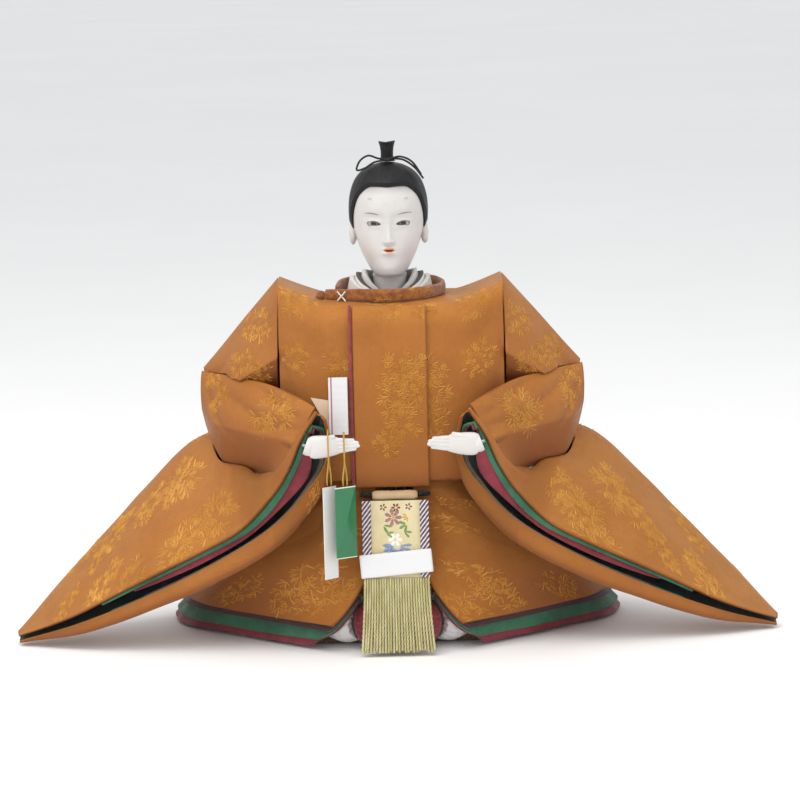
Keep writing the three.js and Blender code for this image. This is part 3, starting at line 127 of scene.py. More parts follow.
camera_away = np.array([0, -math.cos(CAMERA_ELEVATION), math.sin(CAMERA_ELEVATION)])
side = np.array([1.0, 0, 0])
above = np.cross(camera_away, side)
camera_right = side * math.cos(CAMERA_ROLL) - above * math.sin(CAMERA_ROLL)
camera_up = above * math.cos(CAMERA_ROLL) + side * math.sin(CAMERA_ROLL)
camera_data = bpy.data.cameras.new("photo_camera")
camera_data.lens = CAMERA_LENS
camera_data.sensor_width = 36
camera_data.clip_start = 0.05
camera_data.clip_end = 20
camera = add_object("photo_camera", camera_data)
turn = Matrix([camera_right, camera_up, camera_away]).transposed().to_4x4()
place = Vector((CAMERA_TARGET + camera_away * CAMERA_DISTANCE) * MM)
camera.matrix_world = Matrix.Translation(place) @ turn
bpy.context.scene.camera = camera
print("camera at", [round(v, 3) for v in place])

# %% [markdown]
# ## Smooth lines
# Every cloth edge, cord and rail here is a smooth line through a few points. This curve passes through every one of
# its points and makes no loops between them, so the points can be read straight off the object.


# %% A smooth line through points
def smooth_line(points, steps, closed=False):
    """Points along a smooth line: an even number of steps between its first and last control point."""
    control = np.asarray(points, float)
    count = len(control)
    spans = count if closed else count - 1
    place_on = np.linspace(0, spans, steps + 1)
    if closed:
        place_on = place_on[:-1]
    span = np.minimum(place_on.astype(int), spans - 1)
    share = (place_on - span)[:, None]
    if closed:
        p0, p1, p2, p3 = (control[(span + k) % count] for k in (-1, 0, 1, 2))
    else:
        first = 2 * control[0] - control[1]
        last = 2 * control[-1] - control[-2]
        padded = np.vstack([first, control, last])
        p0, p1, p2, p3 = (padded[span + k] for k in range(4))
    t01, t12, t23 = (np.maximum(np.linalg.norm(b - a, axis=1), 1e-9)[:, None] ** 0.5
                     for a, b in ((p0, p1), (p1, p2), (p2, p3)))
    start = ((p1 - p0) / t01 - (p2 - p0) / (t01 + t12) + (p2 - p1) / t12) * t12
    end = ((p2 - p1) / t12 - (p3 - p1) / (t12 + t23) + (p3 - p2) / t23) * t12
    cube = 2 * p1 - 2 * p2 + start + end
    square = -3 * p1 + 3 * p2 - 2 * start - end
    return p1 + start * share + square * share ** 2 + cube * share ** 3


def line_length(points):
    return float(np.linalg.norm(np.diff(points, axis=0), axis=1).sum())


print("line through three points", smooth_line([(0, 0, 0), (1, 1, 0), (2, 0, 0)], 2).tolist())

# %% [markdown]
# ## The topknot's cord
# A black cord is tied round the topknot: a loop to the doll's right, a looser one to its left and two short ends.
# It is one round tube along a smooth line, with enough steps that no bend shows a corner. It comes before the
# cloth, and its length is printed.

# %% A round tube along a line
def frames_along(points):
    """At each point of a line, its direction and two directions across it that turn as little as they can."""
    ahead = np.gradient(points, axis=0)
    ahead /= np.linalg.norm(ahead, axis=1)[:, None]
    start = np.cross(ahead[0], (0.0, 0.0, 1.0))
    if np.linalg.norm(start) < 0.2:
        start = np.cross(ahead[0], (1.0, 0.0, 0.0))
    across = [start / np.linalg.norm(start)]
    for direction in ahead[1:]:
        v = across[-1] - direction * across[-1].dot(direction)
        across.append(v / np.linalg.norm(v))
    across = np.array(across)
    return ahead, across, np.cross(ahead, across)


def mesh_object(name, vertices, faces, materials=(), uvs=None, face_materials=None, smooth=True):
    """A mesh object at the origin from points in millimetres. uvs has one pair for each corner of each face."""
    mesh = bpy.data.meshes.new(name)
    mesh.from_pydata((np.asarray(vertices, float) * MM).tolist(), [], [list(map(int, f)) for f in faces])
    for material in materials:
        mesh.materials.append(material)
    if face_materials is not None:
        mesh.polygons.foreach_set("material_index", face_materials)
    mesh.polygons.foreach_set("use_smooth", [smooth] * len(mesh.polygons))
    if uvs is not None:
        layer = mesh.uv_layers.new(name="Flat")
        layer.uv.foreach_set("vector", (np.asarray(uvs, float) * MM).ravel())
    mesh.update()
    return add_object(name, mesh)


def ring_quads(rows, columns, closed=False):
    """Quads between neighbouring rings, each with its corners as (row, column) on the flat map."""
    for i in range(rows if closed else rows - 1):
        for j in range(columns):
            k, n = (j + 1) % columns, (i + 1) % rows
            yield ((i * columns + j, i * columns + k, n * columns + k, n * columns + j),
                   ((i, j), (i, j + 1), (i + 1, j + 1), (i + 1, j)))


def tube_faces(rings, sides):
    """Quads between neighbouring rings, with a fan of corners closing each end."""
    faces, uvs = [], []
    for face, corners in ring_quads(rings, sides):
        faces.append(face)
        uvs.append([(j, i) for i, j in corners])
    for ring, order in ((0, -1), (rings - 1, 1)):
        faces.append([ring * sides + j for j in range(sides)][::order])
        uvs.append([(j, ring) for j in range(sides)][::order])
    return faces, uvs


def tube(name, points, radius, material, sides=12, lobes=0, twist=0.0, depth=0.0, ends=1.0):
    """A tube along the points. With lobes it is a twisted strand: its radius swells where each ply comes round.
    ends is the share of its thickness that is left at both ends."""
    ahead, across, up = frames_along(points)
    around = full_turn(sides)
    steps = np.concatenate([[0], np.cumsum(np.linalg.norm(np.diff(points, axis=0), axis=1))])
    rings = []
    for centre, x, y, along in zip(points, across, up, steps):
        swell = 1 - depth + depth * np.abs(np.cos(lobes * around / 2 + twist * along)) if lobes else np.ones(sides)
        near_end = min(1.0, min(along, steps[-1] - along) / 1.6)
        swell = swell * (ends + (1 - ends) * near_end)
        rings.append(centre + radius * swell[:, None] * (np.outer(np.cos(around), x) + np.outer(np.sin(around), y)))
    faces, uvs = tube_faces(len(points), sides)
    length = steps[-1]
    flat = [(u * TURN * radius / sides, v * length / (len(points) - 1)) for face in uvs for u, v in face]
    return mesh_object(name, np.vstack(rings), faces, [material], flat)


# %% [markdown]
# ## Finishes
# Silk, paper, hair and the white shell finish are all built from the same few effects, so these are node groups
# that are made once: an uneven tone, a weave of crossing threads and a twill of slanting lines. Each group only
# puts out masks and heights. The surface shader itself stays in each material, where its own gloss is set.

# %% Colours and a small builder for node trees
def paint(code):
    """The linear colour of a six-digit sRGB code."""
    values = [int(code[k:k + 2], 16) / 255 for k in (0, 2, 4)]
    return (*[v / 12.92 if v <= 0.04045 else ((v + 0.055) / 1.055) ** 2.4 for v in values], 1.0)


class Tree:
    """Adds nodes to a tree, each input given as a value or as another node's output."""

    def __init__(self, tree):
        self.tree = tree

    def fill(self, node, **inputs):
        """Feeds a node by its inputs' names, with _ for each space, or by number after an i."""
        for key, value in inputs.items():
            name = int(key[1:]) if key[0] == "i" and key[1:].isdigit() else key.replace("_", " ")
            self.feed(node.inputs[name], value)
        return node

    def add(self, kind, settings=None, **inputs):
        node = self.tree.nodes.new(kind)
        for key, value in (settings or {}).items():
            setattr(node, key, value)
        return self.fill(node, **inputs)

    def feed(self, socket, value):
        if isinstance(value, bpy.types.NodeSocket):
            self.tree.links.new(value, socket)
        else:
            socket.default_value = value

    def maths(self, operation, a, b=0.0):
        return self.add("ShaderNodeMath", {"operation": operation}, i0=a, i1=b).outputs[0]

    def times(self, a, b):
        return self.maths("MULTIPLY", a, b)

    def plus(self, a, b):
        return self.maths("ADD", a, b)

    def minus(self, a, b):
        return self.maths("SUBTRACT", a, b)

    def over(self, a, b):
        return self.maths("DIVIDE", a, b)

    def size(self, a):
        """A value without its sign."""
        return self.maths("ABSOLUTE", a)

    def wave(self, a):
        return self.maths("SINE", a)

    def reach(self, a, b):
        """The length of a line that goes a across and b up."""
        return self.maths("SQRT", self.plus(self.times(a, a), self.times(b, b)))

    def mm(self, socket):
        return self.times(socket, 1000.0)

    def place(self):
        return self.add("ShaderNodeTexCoord").outputs["Object"]

    def flat(self):
        """The cloth's own flat measure, in metres."""
        return self.add("ShaderNodeUVMap", {"uv_map": "Flat"}).outputs[0]

    def axes(self, vector):
        return self.add("ShaderNodeSeparateXYZ", Vector=vector).outputs

    def noise(self, vector, scale, detail):
        return self.add("ShaderNodeTexNoise", Vector=vector, Scale=scale, Detail=detail).outputs["Fac"]

    def stretched(self, vector, scale):
        return self.add("ShaderNodeMapping", Vector=vector, Scale=scale).outputs[0]

    def blend(self, share, low, high):
        return self.add("ShaderNodeMix", {"data_type": "RGBA"}, i0=share, i6=low, i7=high).outputs[2]

    def ramp(self, value, low, high, out_low=0.0, out_high=1.0):
        return self.add("ShaderNodeMapRange", {"interpolation_type": "SMOOTHSTEP"}, Value=value, From_Min=low,
                        From_Max=high, To_Min=out_low, To_Max=out_high).outputs[0]


def new_group(name, inputs, outputs):
    group = bpy.data.node_groups.new(name, "ShaderNodeTree")
    for label, kind, default in inputs:
        socket = group.interface.new_socket(name=label, in_out="INPUT", socket_type=kind)
        if default is not None:
            socket.default_value = default
    for label in outputs:
        group.interface.new_socket(name=label, in_out="OUTPUT", socket_type="NodeSocketFloat")
    tree = Tree(group)
    return group, tree, tree.add("NodeGroupInput").outputs, tree.add("NodeGroupOutput").inputs


# %% Uneven tone: two sizes of soft noise
tone_group, tree, given, result = new_group(
    "uneven_tone", [("Place", "NodeSocketVector", None), ("Scale", "NodeSocketFloat", 30.0)], ["Mask"])
broad = tree.noise(given["Place"], given["Scale"], 3.0)
fine_scale = tree.times(given["Scale"], 7.0)
fine = tree.noise(given["Place"], fine_scale, 2.0)
mixed = tree.plus(tree.times(broad, 0.7), tree.times(fine, 0.3))
tree.feed(result["Mask"], tree.ramp(mixed, 0.3, 0.7))
print("group", tone_group.name)

# %% Twill: slanting thread lines, slightly broken
twill_group, tree, given, result = new_group(
    "twill", [("Place", "NodeSocketVector", None), ("Pitch", "NodeSocketFloat", 0.0006)], ["Height", "Shade"])
lines = tree.axes(given["Place"])
slant = tree.plus(lines["X"], tree.times(lines["Y"], 0.8))
turns = tree.times(tree.over(slant, given["Pitch"]), TURN)
ridges = tree.plus(tree.times(tree.wave(turns), 0.5), 0.5)
crossing = tree.times(tree.over(lines["X"], given["Pitch"]), 4 * math.pi)
threads = tree.plus(tree.times(tree.wave(crossing), 0.25), 0.25)
broken = tree.noise(given["Place"], 900.0, 2.0)
tree.feed(result["Height"], tree.plus(tree.times(ridges, 0.7), threads))
tree.feed(result["Shade"], tree.times(ridges, tree.ramp(broken, 0.3, 0.7, 0.5, 1.0)))
print("group", twill_group.name)

# %% Plain weave: threads going over and under each other
weave_group, tree, given, result = new_group(
    "plain_weave", [("Place", "NodeSocketVector", None), ("Pitch", "NodeSocketFloat", 0.0005)], ["Height", "Shade"])
axes = tree.axes(given["Place"])
across_wave, along_wave = (tree.wave(tree.times(tree.over(axes[k], given["Pitch"]), TURN)) for k in "XY")
checks = tree.plus(tree.times(tree.times(across_wave, along_wave), 0.5), 0.5)
slubs = tree.noise(given["Place"], 700.0, 2.0)
tree.feed(result["Height"], checks)
tree.feed(result["Shade"], tree.times(checks, slubs))
print("group", weave_group.name)

# %% [markdown]
# ## Silk, paper and card
# A cloth's look comes from three things: its colour, which is never quite even, the lift of its threads, and the
# soft light that its fibres catch near the edges. One function mixes these for every woven piece, and each cloth
# gives its own numbers. The pattern follows the cloth's own flat measure, so threads bend with the folds.

# %% Materials of woven cloth
class Surface(Tree):
    """A material's tree with its surface shader."""

    def __init__(self, tree):
        super().__init__(tree)
        self.shader = self.add("ShaderNodeBsdfPrincipled")
        self.add("ShaderNodeOutputMaterial", Surface=self.shader.outputs["BSDF"])

    def surface(self, **inputs):
        self.fill(self.shader, **inputs)

    def raise_by(self, height, distance, strength=1.0):
        bump = self.add("ShaderNodeBump", Strength=strength, Distance=distance, Height=height)
        self.surface(Normal=bump.outputs["Normal"])


def principled(name):
    material = bpy.data.materials.new(name)
    material.use_nodes = True
    material.node_tree.nodes.clear()
    return material, Surface(material.node_tree)


def use_group(tree, group, **inputs):
    return tree.add("ShaderNodeGroup", {"node_tree": group}, **inputs).outputs


def cloth(name, light, dark, group=twill_group, pitch=0.0007, lift=0.00008, roughness=0.5, sheen=0.3, metallic=0.0,
          patch=45.0, shade=0.25, below=None, gleam=None):
    """A woven finish between a light and a dark tone. Below is a painted shade: the colour turns to it where the
    cloth faces down, away from the lamp above. Gleam tints its shine.
    """
    material, tree = principled(name)
    coordinates = tree.add("ShaderNodeTexCoord").outputs
    flat = tree.flat()
    threads = use_group(tree, group, Place=flat, Pitch=pitch)
    uneven = use_group(tree, tone_group, Place=coordinates["Object"], Scale=patch)
    colour = tree.blend(uneven["Mask"], paint(dark), paint(light))
    # Painted shade and light: the colour turns to the below tone where the cloth faces down, and keeps its own tones
    # where it faces up.
    if below:
        turned = tree.axes(coordinates["Normal"])
        upward = tree.minus(tree.times(turned["Z"], 0.8), tree.times(turned["Y"], 0.45))
        colour = tree.blend(tree.ramp(upward, 0.05, 0.9), paint(below), colour)
    darker = tree.blend(0.5, paint(dark), (0.0, 0.0, 0.0, 1.0))
    tree.surface(Base_Color=tree.blend(tree.times(threads["Shade"], shade), colour, darker),
                 Roughness=tree.ramp(uneven["Mask"], 0.0, 1.0, roughness + 0.06, roughness - 0.06), Metallic=metallic,
                 Sheen_Weight=sheen, Sheen_Roughness=0.4, Specular_IOR_Level=0.8 if gleam else 0.4)
    if gleam:
        tree.surface(Specular_Tint=paint(gleam), Sheen_Tint=paint(gleam))
    tree.raise_by(threads["Height"], lift)
    return material


def fibrous(name, dark, light, scale, detail, roughness, lift=0.0, stretch=None, span=None, sheen=0.0):
    """Paper or thread: a fine noise between two tones, drawn out along the thread where stretch is given."""
    material, tree = principled(name)
    place = tree.stretched(tree.place(), stretch) if stretch else tree.place()
    fibres = tree.noise(place, scale, detail)
    mask = tree.ramp(fibres, *span) if span else fibres
    tree.surface(Base_Color=tree.blend(mask, paint(dark), paint(light)), Roughness=roughness, Sheen_Weight=sheen)
    if lift:
        tree.raise_by(fibres, lift)
    return material


# The brocade's below tone is painted shade on faces turned down.
brocade = cloth("brocade_satin", "BE7632", "AE692C", roughness=0.4, sheen=0.15, metallic=0.15, pitch=0.0008,
                lift=0.00012, shade=0.45, below="8E4C26", gleam="FFDDA0")
brocade_pile = cloth("brocade_reverse", "B8702C", "7E3F16", weave_group, pitch=0.0011, lift=0.0004, roughness=0.65,
                     sheen=0.5, patch=420.0, shade=0.5)
# The gold figure's below tone is painted shade on faces turned down.
brocade_thread = cloth("brocade_figure", "CC9443", "B37A31", roughness=0.45, sheen=0.1, metallic=0.15,
                       pitch=0.0006, lift=0.00005, shade=0.2, below="B0742F", gleam="FFDDA0")
# The sleeves' green lining, painted dark as the shade inside the sleeve bag.
shaded_wing_lining = cloth("shaded_wing_lining", "2A4639", "16231D", roughness=0.5, pitch=0.0006)
green_silk = cloth("green_silk", "3B7B59", "24583F", roughness=0.55, pitch=0.0006)
crimson_silk = cloth("crimson_silk", "9E3745", "76232F", roughness=0.5, pitch=0.0006)
plum_silk = cloth("plum_silk", "4E2E33", "38201F", roughness=0.55, pitch=0.0006)
white_silk = cloth("white_silk", "E0DEDA", "D0CDC8", roughness=0.5, pitch=0.0006, shade=0.1)
piping_silk = cloth("piping_silk", "A63A42", "7F242D", roughness=0.5, pitch=0.0005, lift=0.0001, patch=260.0)
tan_silk = cloth("tan_silk", "D3B48D", "BD9A70", roughness=0.6, pitch=0.0006)
sash_ground = cloth("sash_ground", "E9DDB4", "DCCB98", roughness=0.5, pitch=0.0005, shade=0.12)
wadding_fibre = cloth("cotton_wadding", "EDE7D8", "DACFB8", weave_group, pitch=0.0011, roughness=0.95, sheen=0.6)
print("cloth finishes", len(bpy.data.materials))

# %% The bow on the topknot
BOW_Z = 228.3
BOW = [
    (17.2, -8.4, BOW_Z - 7.6), (13, -7.8, BOW_Z - 2.2), (7.5, -5.6, BOW_Z + 1.4), (2.5, -4.8, BOW_Z + 1.9),
    (-4, -4.7, BOW_Z + 2.1), (-9, -5.2, BOW_Z + 3.6), (-13, -5.8, BOW_Z + 1.2), (-14.6, -6.6, BOW_Z - 3),
    (-11, -8.8, BOW_Z - 2.2), (-6, -7.6, BOW_Z + 0.6), (0, -6.6, BOW_Z + 1.5), (6, -6.9, BOW_Z + 3),
    (11.5, -7.9, BOW_Z + 0.8), (16.2, -8, BOW_Z - 5.6),
]
black_cord, tree = principled("black_cord")
flat = tree.flat()
twist = use_group(tree, twill_group, Place=flat, Pitch=0.0006)
tree.surface(Base_Color=tree.blend(twist["Shade"], paint("08080A"), paint("1C1C20")), Roughness=0.55)
tree.raise_by(twist["Height"], 0.00005)
bow_line = smooth_line(BOW, 260)
topknot_cord = tube("topknot_bow_cord", bow_line, 0.5, black_cord, sides=14, lobes=3, twist=5.2, depth=0.1)
dress(topknot_cord, "topknot_cord", "head")
print("bow", round(line_length(bow_line)), "mm")

# %% [markdown]
# ## The tags' threads
# Each tag hangs from a thread of gold-wrapped silk that is tied over the hand: two strands run up from the hole in
# the card, pass on either side of the fingers and are knotted on top. Both ends are tied in the card.

# %% Gold threads
TAG_TOP = 83.35
gold_thread, tree = principled("gold_thread")
flat = tree.flat()
twist = use_group(tree, twill_group, Place=flat, Pitch=0.0005)
tree.surface(Base_Color=tree.blend(twist["Shade"], paint("A8812B"), paint("E0BC5A")),
             Roughness=tree.ramp(twist["Height"], 0.0, 1.0, 0.5, 0.34), Metallic=0.45)
tree.raise_by(twist["Height"], 0.00005)


def thread_points(x, y, top, side):
    """From the card's hole up one side of the fingers, over them and down the other side."""
    return [(x - 0.9, y, TAG_TOP), (x - 0.9, y - 1, TAG_TOP + 4), (x, y - side, top - 13), (x, y - side, top - 5),
            (x, y - 0.7 * side, top + 0.75), (x, y + 0.7 * side, top + 0.75), (x, y + side, top - 5),
            (x, y + side, top - 13), (x + 0.9, y + 1.2, TAG_TOP + 4.5), (x + 0.9, y, TAG_TOP)]


THREADS = (("white", -30.4, -64.1788, 108.3553, 3.8944), ("green", -23.0, -65.2331, 107.5148, 2.3172))
for tag, x, y, top, side in THREADS:
    points = thread_points(x, y, top, side)
    line = smooth_line(points, 170)
    thread = tube(f"{tag}_tag_gold_thread", line, 0.4, gold_thread, sides=12, lobes=2, twist=6.5, depth=0.12, ends=0.5)
    dress(thread, f"{tag}_tag_thread", "right_hand")
    print(tag, "thread", round(line_length(line)), "mm")

# %% [markdown]
# ## A cloth piece from rows of points
# Each garment panel follows a few rails, as a pattern cutter would see it: along the arm, round the knee, across
# the bag of a sleeve. A fine net of points is laid over the rails, pushed in and out for its folds, and given the
# cloth's thickness. The distances along the net become the flat map, in metres, that weave and figures follow.

# %% Nets of points and their flat map
def net_normals(net, wrap=False):
    down = np.gradient(net, axis=0)
    across = (np.roll(net, -1, 1) - np.roll(net, 1, 1)) if wrap else np.gradient(net, axis=1)
    return unit(np.cross(down, across))


def flat_map(net, wrap=False):
    """Each point's distance across and along the cloth, with one more column where the net closes on itself."""
    if wrap:
        net = np.concatenate([net, net[:, :1]], axis=1)
    across = np.cumsum(np.linalg.norm(np.diff(net, axis=1), axis=2), axis=1)
    across = np.concatenate([np.zeros((len(net), 1)), across], axis=1)
    across -= across[:, across.shape[1] // 2][:, None]
    along = np.concatenate([[0], np.cumsum(np.linalg.norm(np.diff(net, axis=0), axis=2).mean(axis=1))])
    return np.dstack([across, np.broadcast_to(along[:, None], across.shape)])


def crease(net, line, height, width, sharp=1.6):
    """Heights of a soft ridge, or a groove when negative, beside a line given as (row share, column share)."""
    rows, columns = net.shape[:2]
    places = smooth_line([(r * (rows - 1), c * (columns - 1), 0) for r, c in line], 24)
    corners = np.rint(places[:, :2]).astype(int)
    corners[:, 0] = corners[:, 0].clip(0, rows - 1)
    corners[:, 1] = corners[:, 1].clip(0, columns - 1)
    path = net[corners[:, 0], corners[:, 1]]
    reach = np.full(net.shape[:2], np.inf)
    fade = np.zeros(net.shape[:2])
    for k in range(len(path) - 1):
        run = path[k + 1] - path[k]
        share = ((net - path[k]) @ run / max(run @ run, 1e-9)).clip(0, 1)
        distance = np.linalg.norm(net - path[k] - share[..., None] * run, axis=2)
        along = (k + share) / (len(path) - 1)
        nearer = distance < reach
        reach = np.where(nearer, distance, reach)
        fade = np.where(nearer, np.sin(np.pi * along.clip(0.02, 0.98)) ** 0.6, fade)
    return height * fade * np.exp(-(reach / width) ** sharp)


def rumple(net, size, height, seed):
    """Small uneven swells that make a surface look handled: waves of a few lengths in fixed random directions."""
    chance = np.random.default_rng(seed)
    total = np.zeros(net.shape[:2])
    for _ in range(7):
        direction = unit(chance.normal(size=3))
        length = size * chance.uniform(0.6, 1.8)
        total += np.sin(net @ direction * TURN / length + chance.uniform(0, 6.3))
    return height * total / 7


class Cloth:
    """A cloth's object together with its outside net and flat map, so that figures can be laid on it."""

    def __init__(self, piece, net, flat):
        self.piece, self.net, self.flat = piece, net, flat


def quads_of(rows, columns, first=0, turned=False):
    i, j = np.meshgrid(np.arange(rows - 1), np.arange(columns - 1), indexing="ij")
    a = first + i * columns + j
    corners = np.stack([a, a + columns, a + columns + 1, a + 1], axis=-1).reshape(-1, 4)
    return corners[:, ::-1] if turned else corners


def sheet_piece(name, net, thickness, material, inside, lining=None):
    """A sheet with the net as its middle, its first side turned away from a point inside. A lining may differ."""
    net = np.asarray(net, float)
    rows, columns = net.shape[:2]
    normals = net_normals(net)
    if ((net - np.asarray(inside)) * normals).sum() < 0:
        net = net[:, ::-1]
        normals = net_normals(net)
    half = np.broadcast_to(np.asarray(thickness, float) / 2, (rows,))[:, None, None]
    outer, inner = net + normals * half, net - normals * half
    flat = flat_map(net)
    front = quads_of(rows, columns)
    back = quads_of(rows, columns, rows * columns, turned=True)
    rim = []
    shift = rows * columns
    for i in range(rows - 1):
        a, b = i * columns, (i + 1) * columns
        rim.append((b, a, a + shift, b + shift))
        a, b = a + columns - 1, b + columns - 1
        rim.append((a, b, b + shift, a + shift))
    for j in range(columns - 1):
        rim.append((j, j + 1, j + 1 + shift, j + shift))
        a = (rows - 1) * columns + j
        rim.append((a + 1, a, a + shift, a + 1 + shift))
    faces = np.vstack([front, back, np.array(rim)])
    pairs = np.vstack([flat.reshape(-1, 2), flat.reshape(-1, 2)])
    kinds = np.zeros(len(faces), int)
    if lining:
        kinds[len(front):len(front) + len(back)] = 1
    piece = mesh_object(name, np.vstack([outer.reshape(-1, 3), inner.reshape(-1, 3)]), faces,
                        [material] + ([lining] if lining else []), pairs[faces.ravel()], kinds)
    return Cloth(piece, outer, flat)


def loft_piece(name, rings, material):
    """A closed body through rings of points, each end closed by a fan."""
    rings = np.asarray(rings, float)
    inward = rings.mean(axis=(0, 1)) - rings
    if (net_normals(rings, wrap=True) * inward).sum() > 0:
        rings = rings[:, ::-1]
    rows, columns = rings.shape[:2]
    flat = flat_map(rings, wrap=True)
    faces, pairs = [], []
    for (a, b, c, d), corners in ring_quads(rows, columns):
        faces.append((a, d, c, b))
        pairs += [flat[corners[k]] for k in (0, 3, 2, 1)]
    ends = [rings[0].mean(axis=0), rings[-1].mean(axis=0)]
    for which, row in ((0, 0), (1, rows - 1)):
        centre = rows * columns + which
        for j in range(columns):
            k = (j + 1) % columns
            ring = (row * columns + j, row * columns + k)
            faces.append((*(ring if which == 0 else ring[::-1]), centre))
            corner = [flat[row, j], flat[row, j + 1]]
            pairs += (corner if which == 0 else corner[::-1]) + [flat[row, j]]
    piece = mesh_object(name, np.vstack([rings.reshape(-1, 3), ends]), faces, [material], pairs)
    return Cloth(piece, rings, flat)


def cut_away(piece, *cutters):
    """Cuts closed bodies out of a piece and removes them."""
    for cutter in cutters:
        modifier = piece.modifiers.new("cut", "BOOLEAN")
        modifier.operation = "DIFFERENCE"
        modifier.solver = "MANIFOLD"
        modifier.object = cutter
    bake(piece)
    for cutter in cutters:
        bpy.data.objects.remove(cutter)
    return piece


def cut_out(piece, *bodies):
    """Cuts closed bodies, each given by its rings of points, out of a piece."""
    material = piece.data.materials[0]
    return cut_away(piece, *[loft_piece("cutter", rings, material).piece for rings in bodies])


print("a flat square metre maps to", flat_map(np.dstack(np.meshgrid([0, 1], [0, 1], [0])).reshape(2, 2, 3))[-1, -1])

# %% [markdown]
# ## The robe's body
# The robe is stiff silk over a stuffed trunk: bulging low in front, its shoulders drawn up to crisp corners where
# the sleeves are sewn on. Upright slices across the body give that shape, and a smooth closed line joins each
# slice. The shell is hollow, with an oval neck hole, as on the real doll, where the stuffing shows once undressed.

# %% Slices of the trunk
TORSO_HALF_WIDTH, TORSO_FRONT, TORSO_BACK = 53.5, 47, 38
WAIST_Z, NECK_Z, SHOULDER_Z, RISE_START = 77, 165.5, 174, 32
ROBE_THICKNESS = 1.6
TORSO_OUTLINE = [
    (-0.68, 0), (-0.94, 0.014), (-1, 0.2), (-0.94, 0.5), (-0.87, 0.76), (-0.79, 0.93), (-0.67, 0.985),
    (-0.1, 1), (0.55, 0.97), (0.9, 0.78), (1, 0.42), (0.9, 0.05), (0.68, 0),
]
ROBE_CREASES = [
    ([(0.03, 0.3), (0.12, 0.2), (0.25, 0.13)], -0.8, 4), ([(0.05, 0.42), (0.14, 0.34), (0.3, 0.28)], -0.7, 5),
    ([(0.04, 0.12), (0.2, 0.06), (0.4, 0.045)], -0.6, 3.5),
]


def trunk_slice(x, steps, inset=0.0):
    """The closed line of the trunk at one side position, moved inwards by inset."""
    rise = max(0.0, abs(x) - RISE_START) / (TORSO_HALF_WIDTH - RISE_START)
    top = NECK_Z + (SHOULDER_Z - NECK_Z) * rise ** 1.2
    narrow = 1 - 0.2 * (abs(x) / TORSO_HALF_WIDTH) ** 4
    points = [(x, d * (TORSO_FRONT if d < 0 else TORSO_BACK) * narrow, WAIST_Z + h * (top - WAIST_Z))
              for d, h in TORSO_OUTLINE]
    line = smooth_line(points, steps, closed=True)
    if inset:
        ahead = np.roll(line, -1, 0) - np.roll(line, 1, 0)
        away = unit(np.stack([np.zeros(steps), ahead[:, 2], -ahead[:, 1]], axis=1))
        middle = line.mean(axis=0)
        if ((line - middle) * away).sum() < 0:
            away = -away
        line = line - away * inset
    return line


def trunk_rings(shares, steps, inset=0.0):
    return np.array([trunk_slice(share * (TORSO_HALF_WIDTH - inset), steps, inset) for share in shares])


torso_shares = np.sin(np.linspace(-1, 1, 61) * math.pi / 2 * 0.94) / math.sin(math.pi / 2 * 0.94)
robe_rings = trunk_rings(torso_shares, 110)
robe_normals = net_normals(robe_rings, wrap=True)
if (robe_normals * (robe_rings - robe_rings.mean(axis=(0, 1)))).sum() < 0:
    robe_normals = -robe_normals
robe_swell = rumple(robe_rings, 46, 0.55, 3)
for line, height, width in ROBE_CREASES:
    for mirrored in (False, True):
        folded = [(1 - r if mirrored else r, c) for r, c in line]
        robe_swell = robe_swell + crease(robe_rings, folded, height, width)
robe_rings = robe_rings + robe_normals * (robe_swell - 0.35).clip(-2.0, 0.3)[..., None]
robe = loft_piece("robe_body_silk", robe_rings, brocade)
print("robe net", robe.net.shape)

# %% Hollow the robe and open its neck
def oval_rings(half_x, front, back, bottom, top, sides=64):
    around = full_turn(sides)
    centre, half_y = (front + back) / 2, (back - front) / 2
    return [[(half_x * math.sin(a), centre - half_y * math.cos(a), z) for a in around] for z in (bottom, top)]


ARM_WIRE = [(61.99, -42.51, 104.4), (72, -24, 106), (84, -2, 112), (75, 3, 132), (59.3, 4, 146), (38, 4, 150)]
arm_wire_line = ARM_WIRE + [(0, 4, 150.5)] + [(-x, y, z) for x, y, z in ARM_WIRE[::-1]]
wire_way = tube("cutter", smooth_line(arm_wire_line, 60), 1.6, brocade, sides=10)
inner_shares = np.linspace(-1, 1, 25)
hollow = trunk_rings(inner_shares, 60, ROBE_THICKNESS)
cutters = [hollow, hollow - (0, 0, 8), oval_rings(22.5, -27, 16.6, 145, 187)]
cut_away(robe.piece, *[loft_piece("cutter", rings, brocade).piece for rings in cutters], wire_way)
dress(robe.piece, "robe_body", ROOT)
print("robe faces", len(robe.piece.data.polygons))

# %% [markdown]
# ## Upper sleeves and forearms
# Paper stiffening inside the sleeves gives them flat faces and sharp edges, like folded card under silk. Each one
# is a loft through four rails: top, front, bottom and back. A ring through four corners would be too round, so it
# is drawn part of the way towards the straight lines between its corners, and shallow creases fan from the elbow.

# %% Lofts through four rails
FOREARM = [
    [(92.5, -2, 129.5), (93, -9, 111), (88, -4, 92.5), (81.5, 10, 109.5)],
    [(77, -18, 129), (85.5, -24, 106.5), (81, -14, 83), (68.5, -6, 105.5)],
    [(60.3, -34, 128), (70, -38.5, 105), (68, -26, 82.5), (58, -21, 105)],
    [(47, -48, 125), (58.5, -48.5, 104), (60.5, -38, 84), (51, -40, 106)],
    [(36, -59, 120), (45.5, -58, 104), (56.5, -51, 86), (41, -53, 109)],
]
UPPER_SLEEVE = [
    [(54.3, 0, 174), (54.3, -36, 140), (54.3, -10, 106), (54.3, 34, 140)],
    [(68.05, 0.5, 158.4), (68.05, -29, 131), (68.05, -6, 105), (68.05, 29, 130)],
    [(81.04, 1.5, 143.3), (81.04, -19, 123), (81.04, 0, 103), (81.04, 23, 120)],
    [(92.2, 3, 130.3), (91, -4, 122), (88, 6, 99), (91.5, 17, 113)],
]


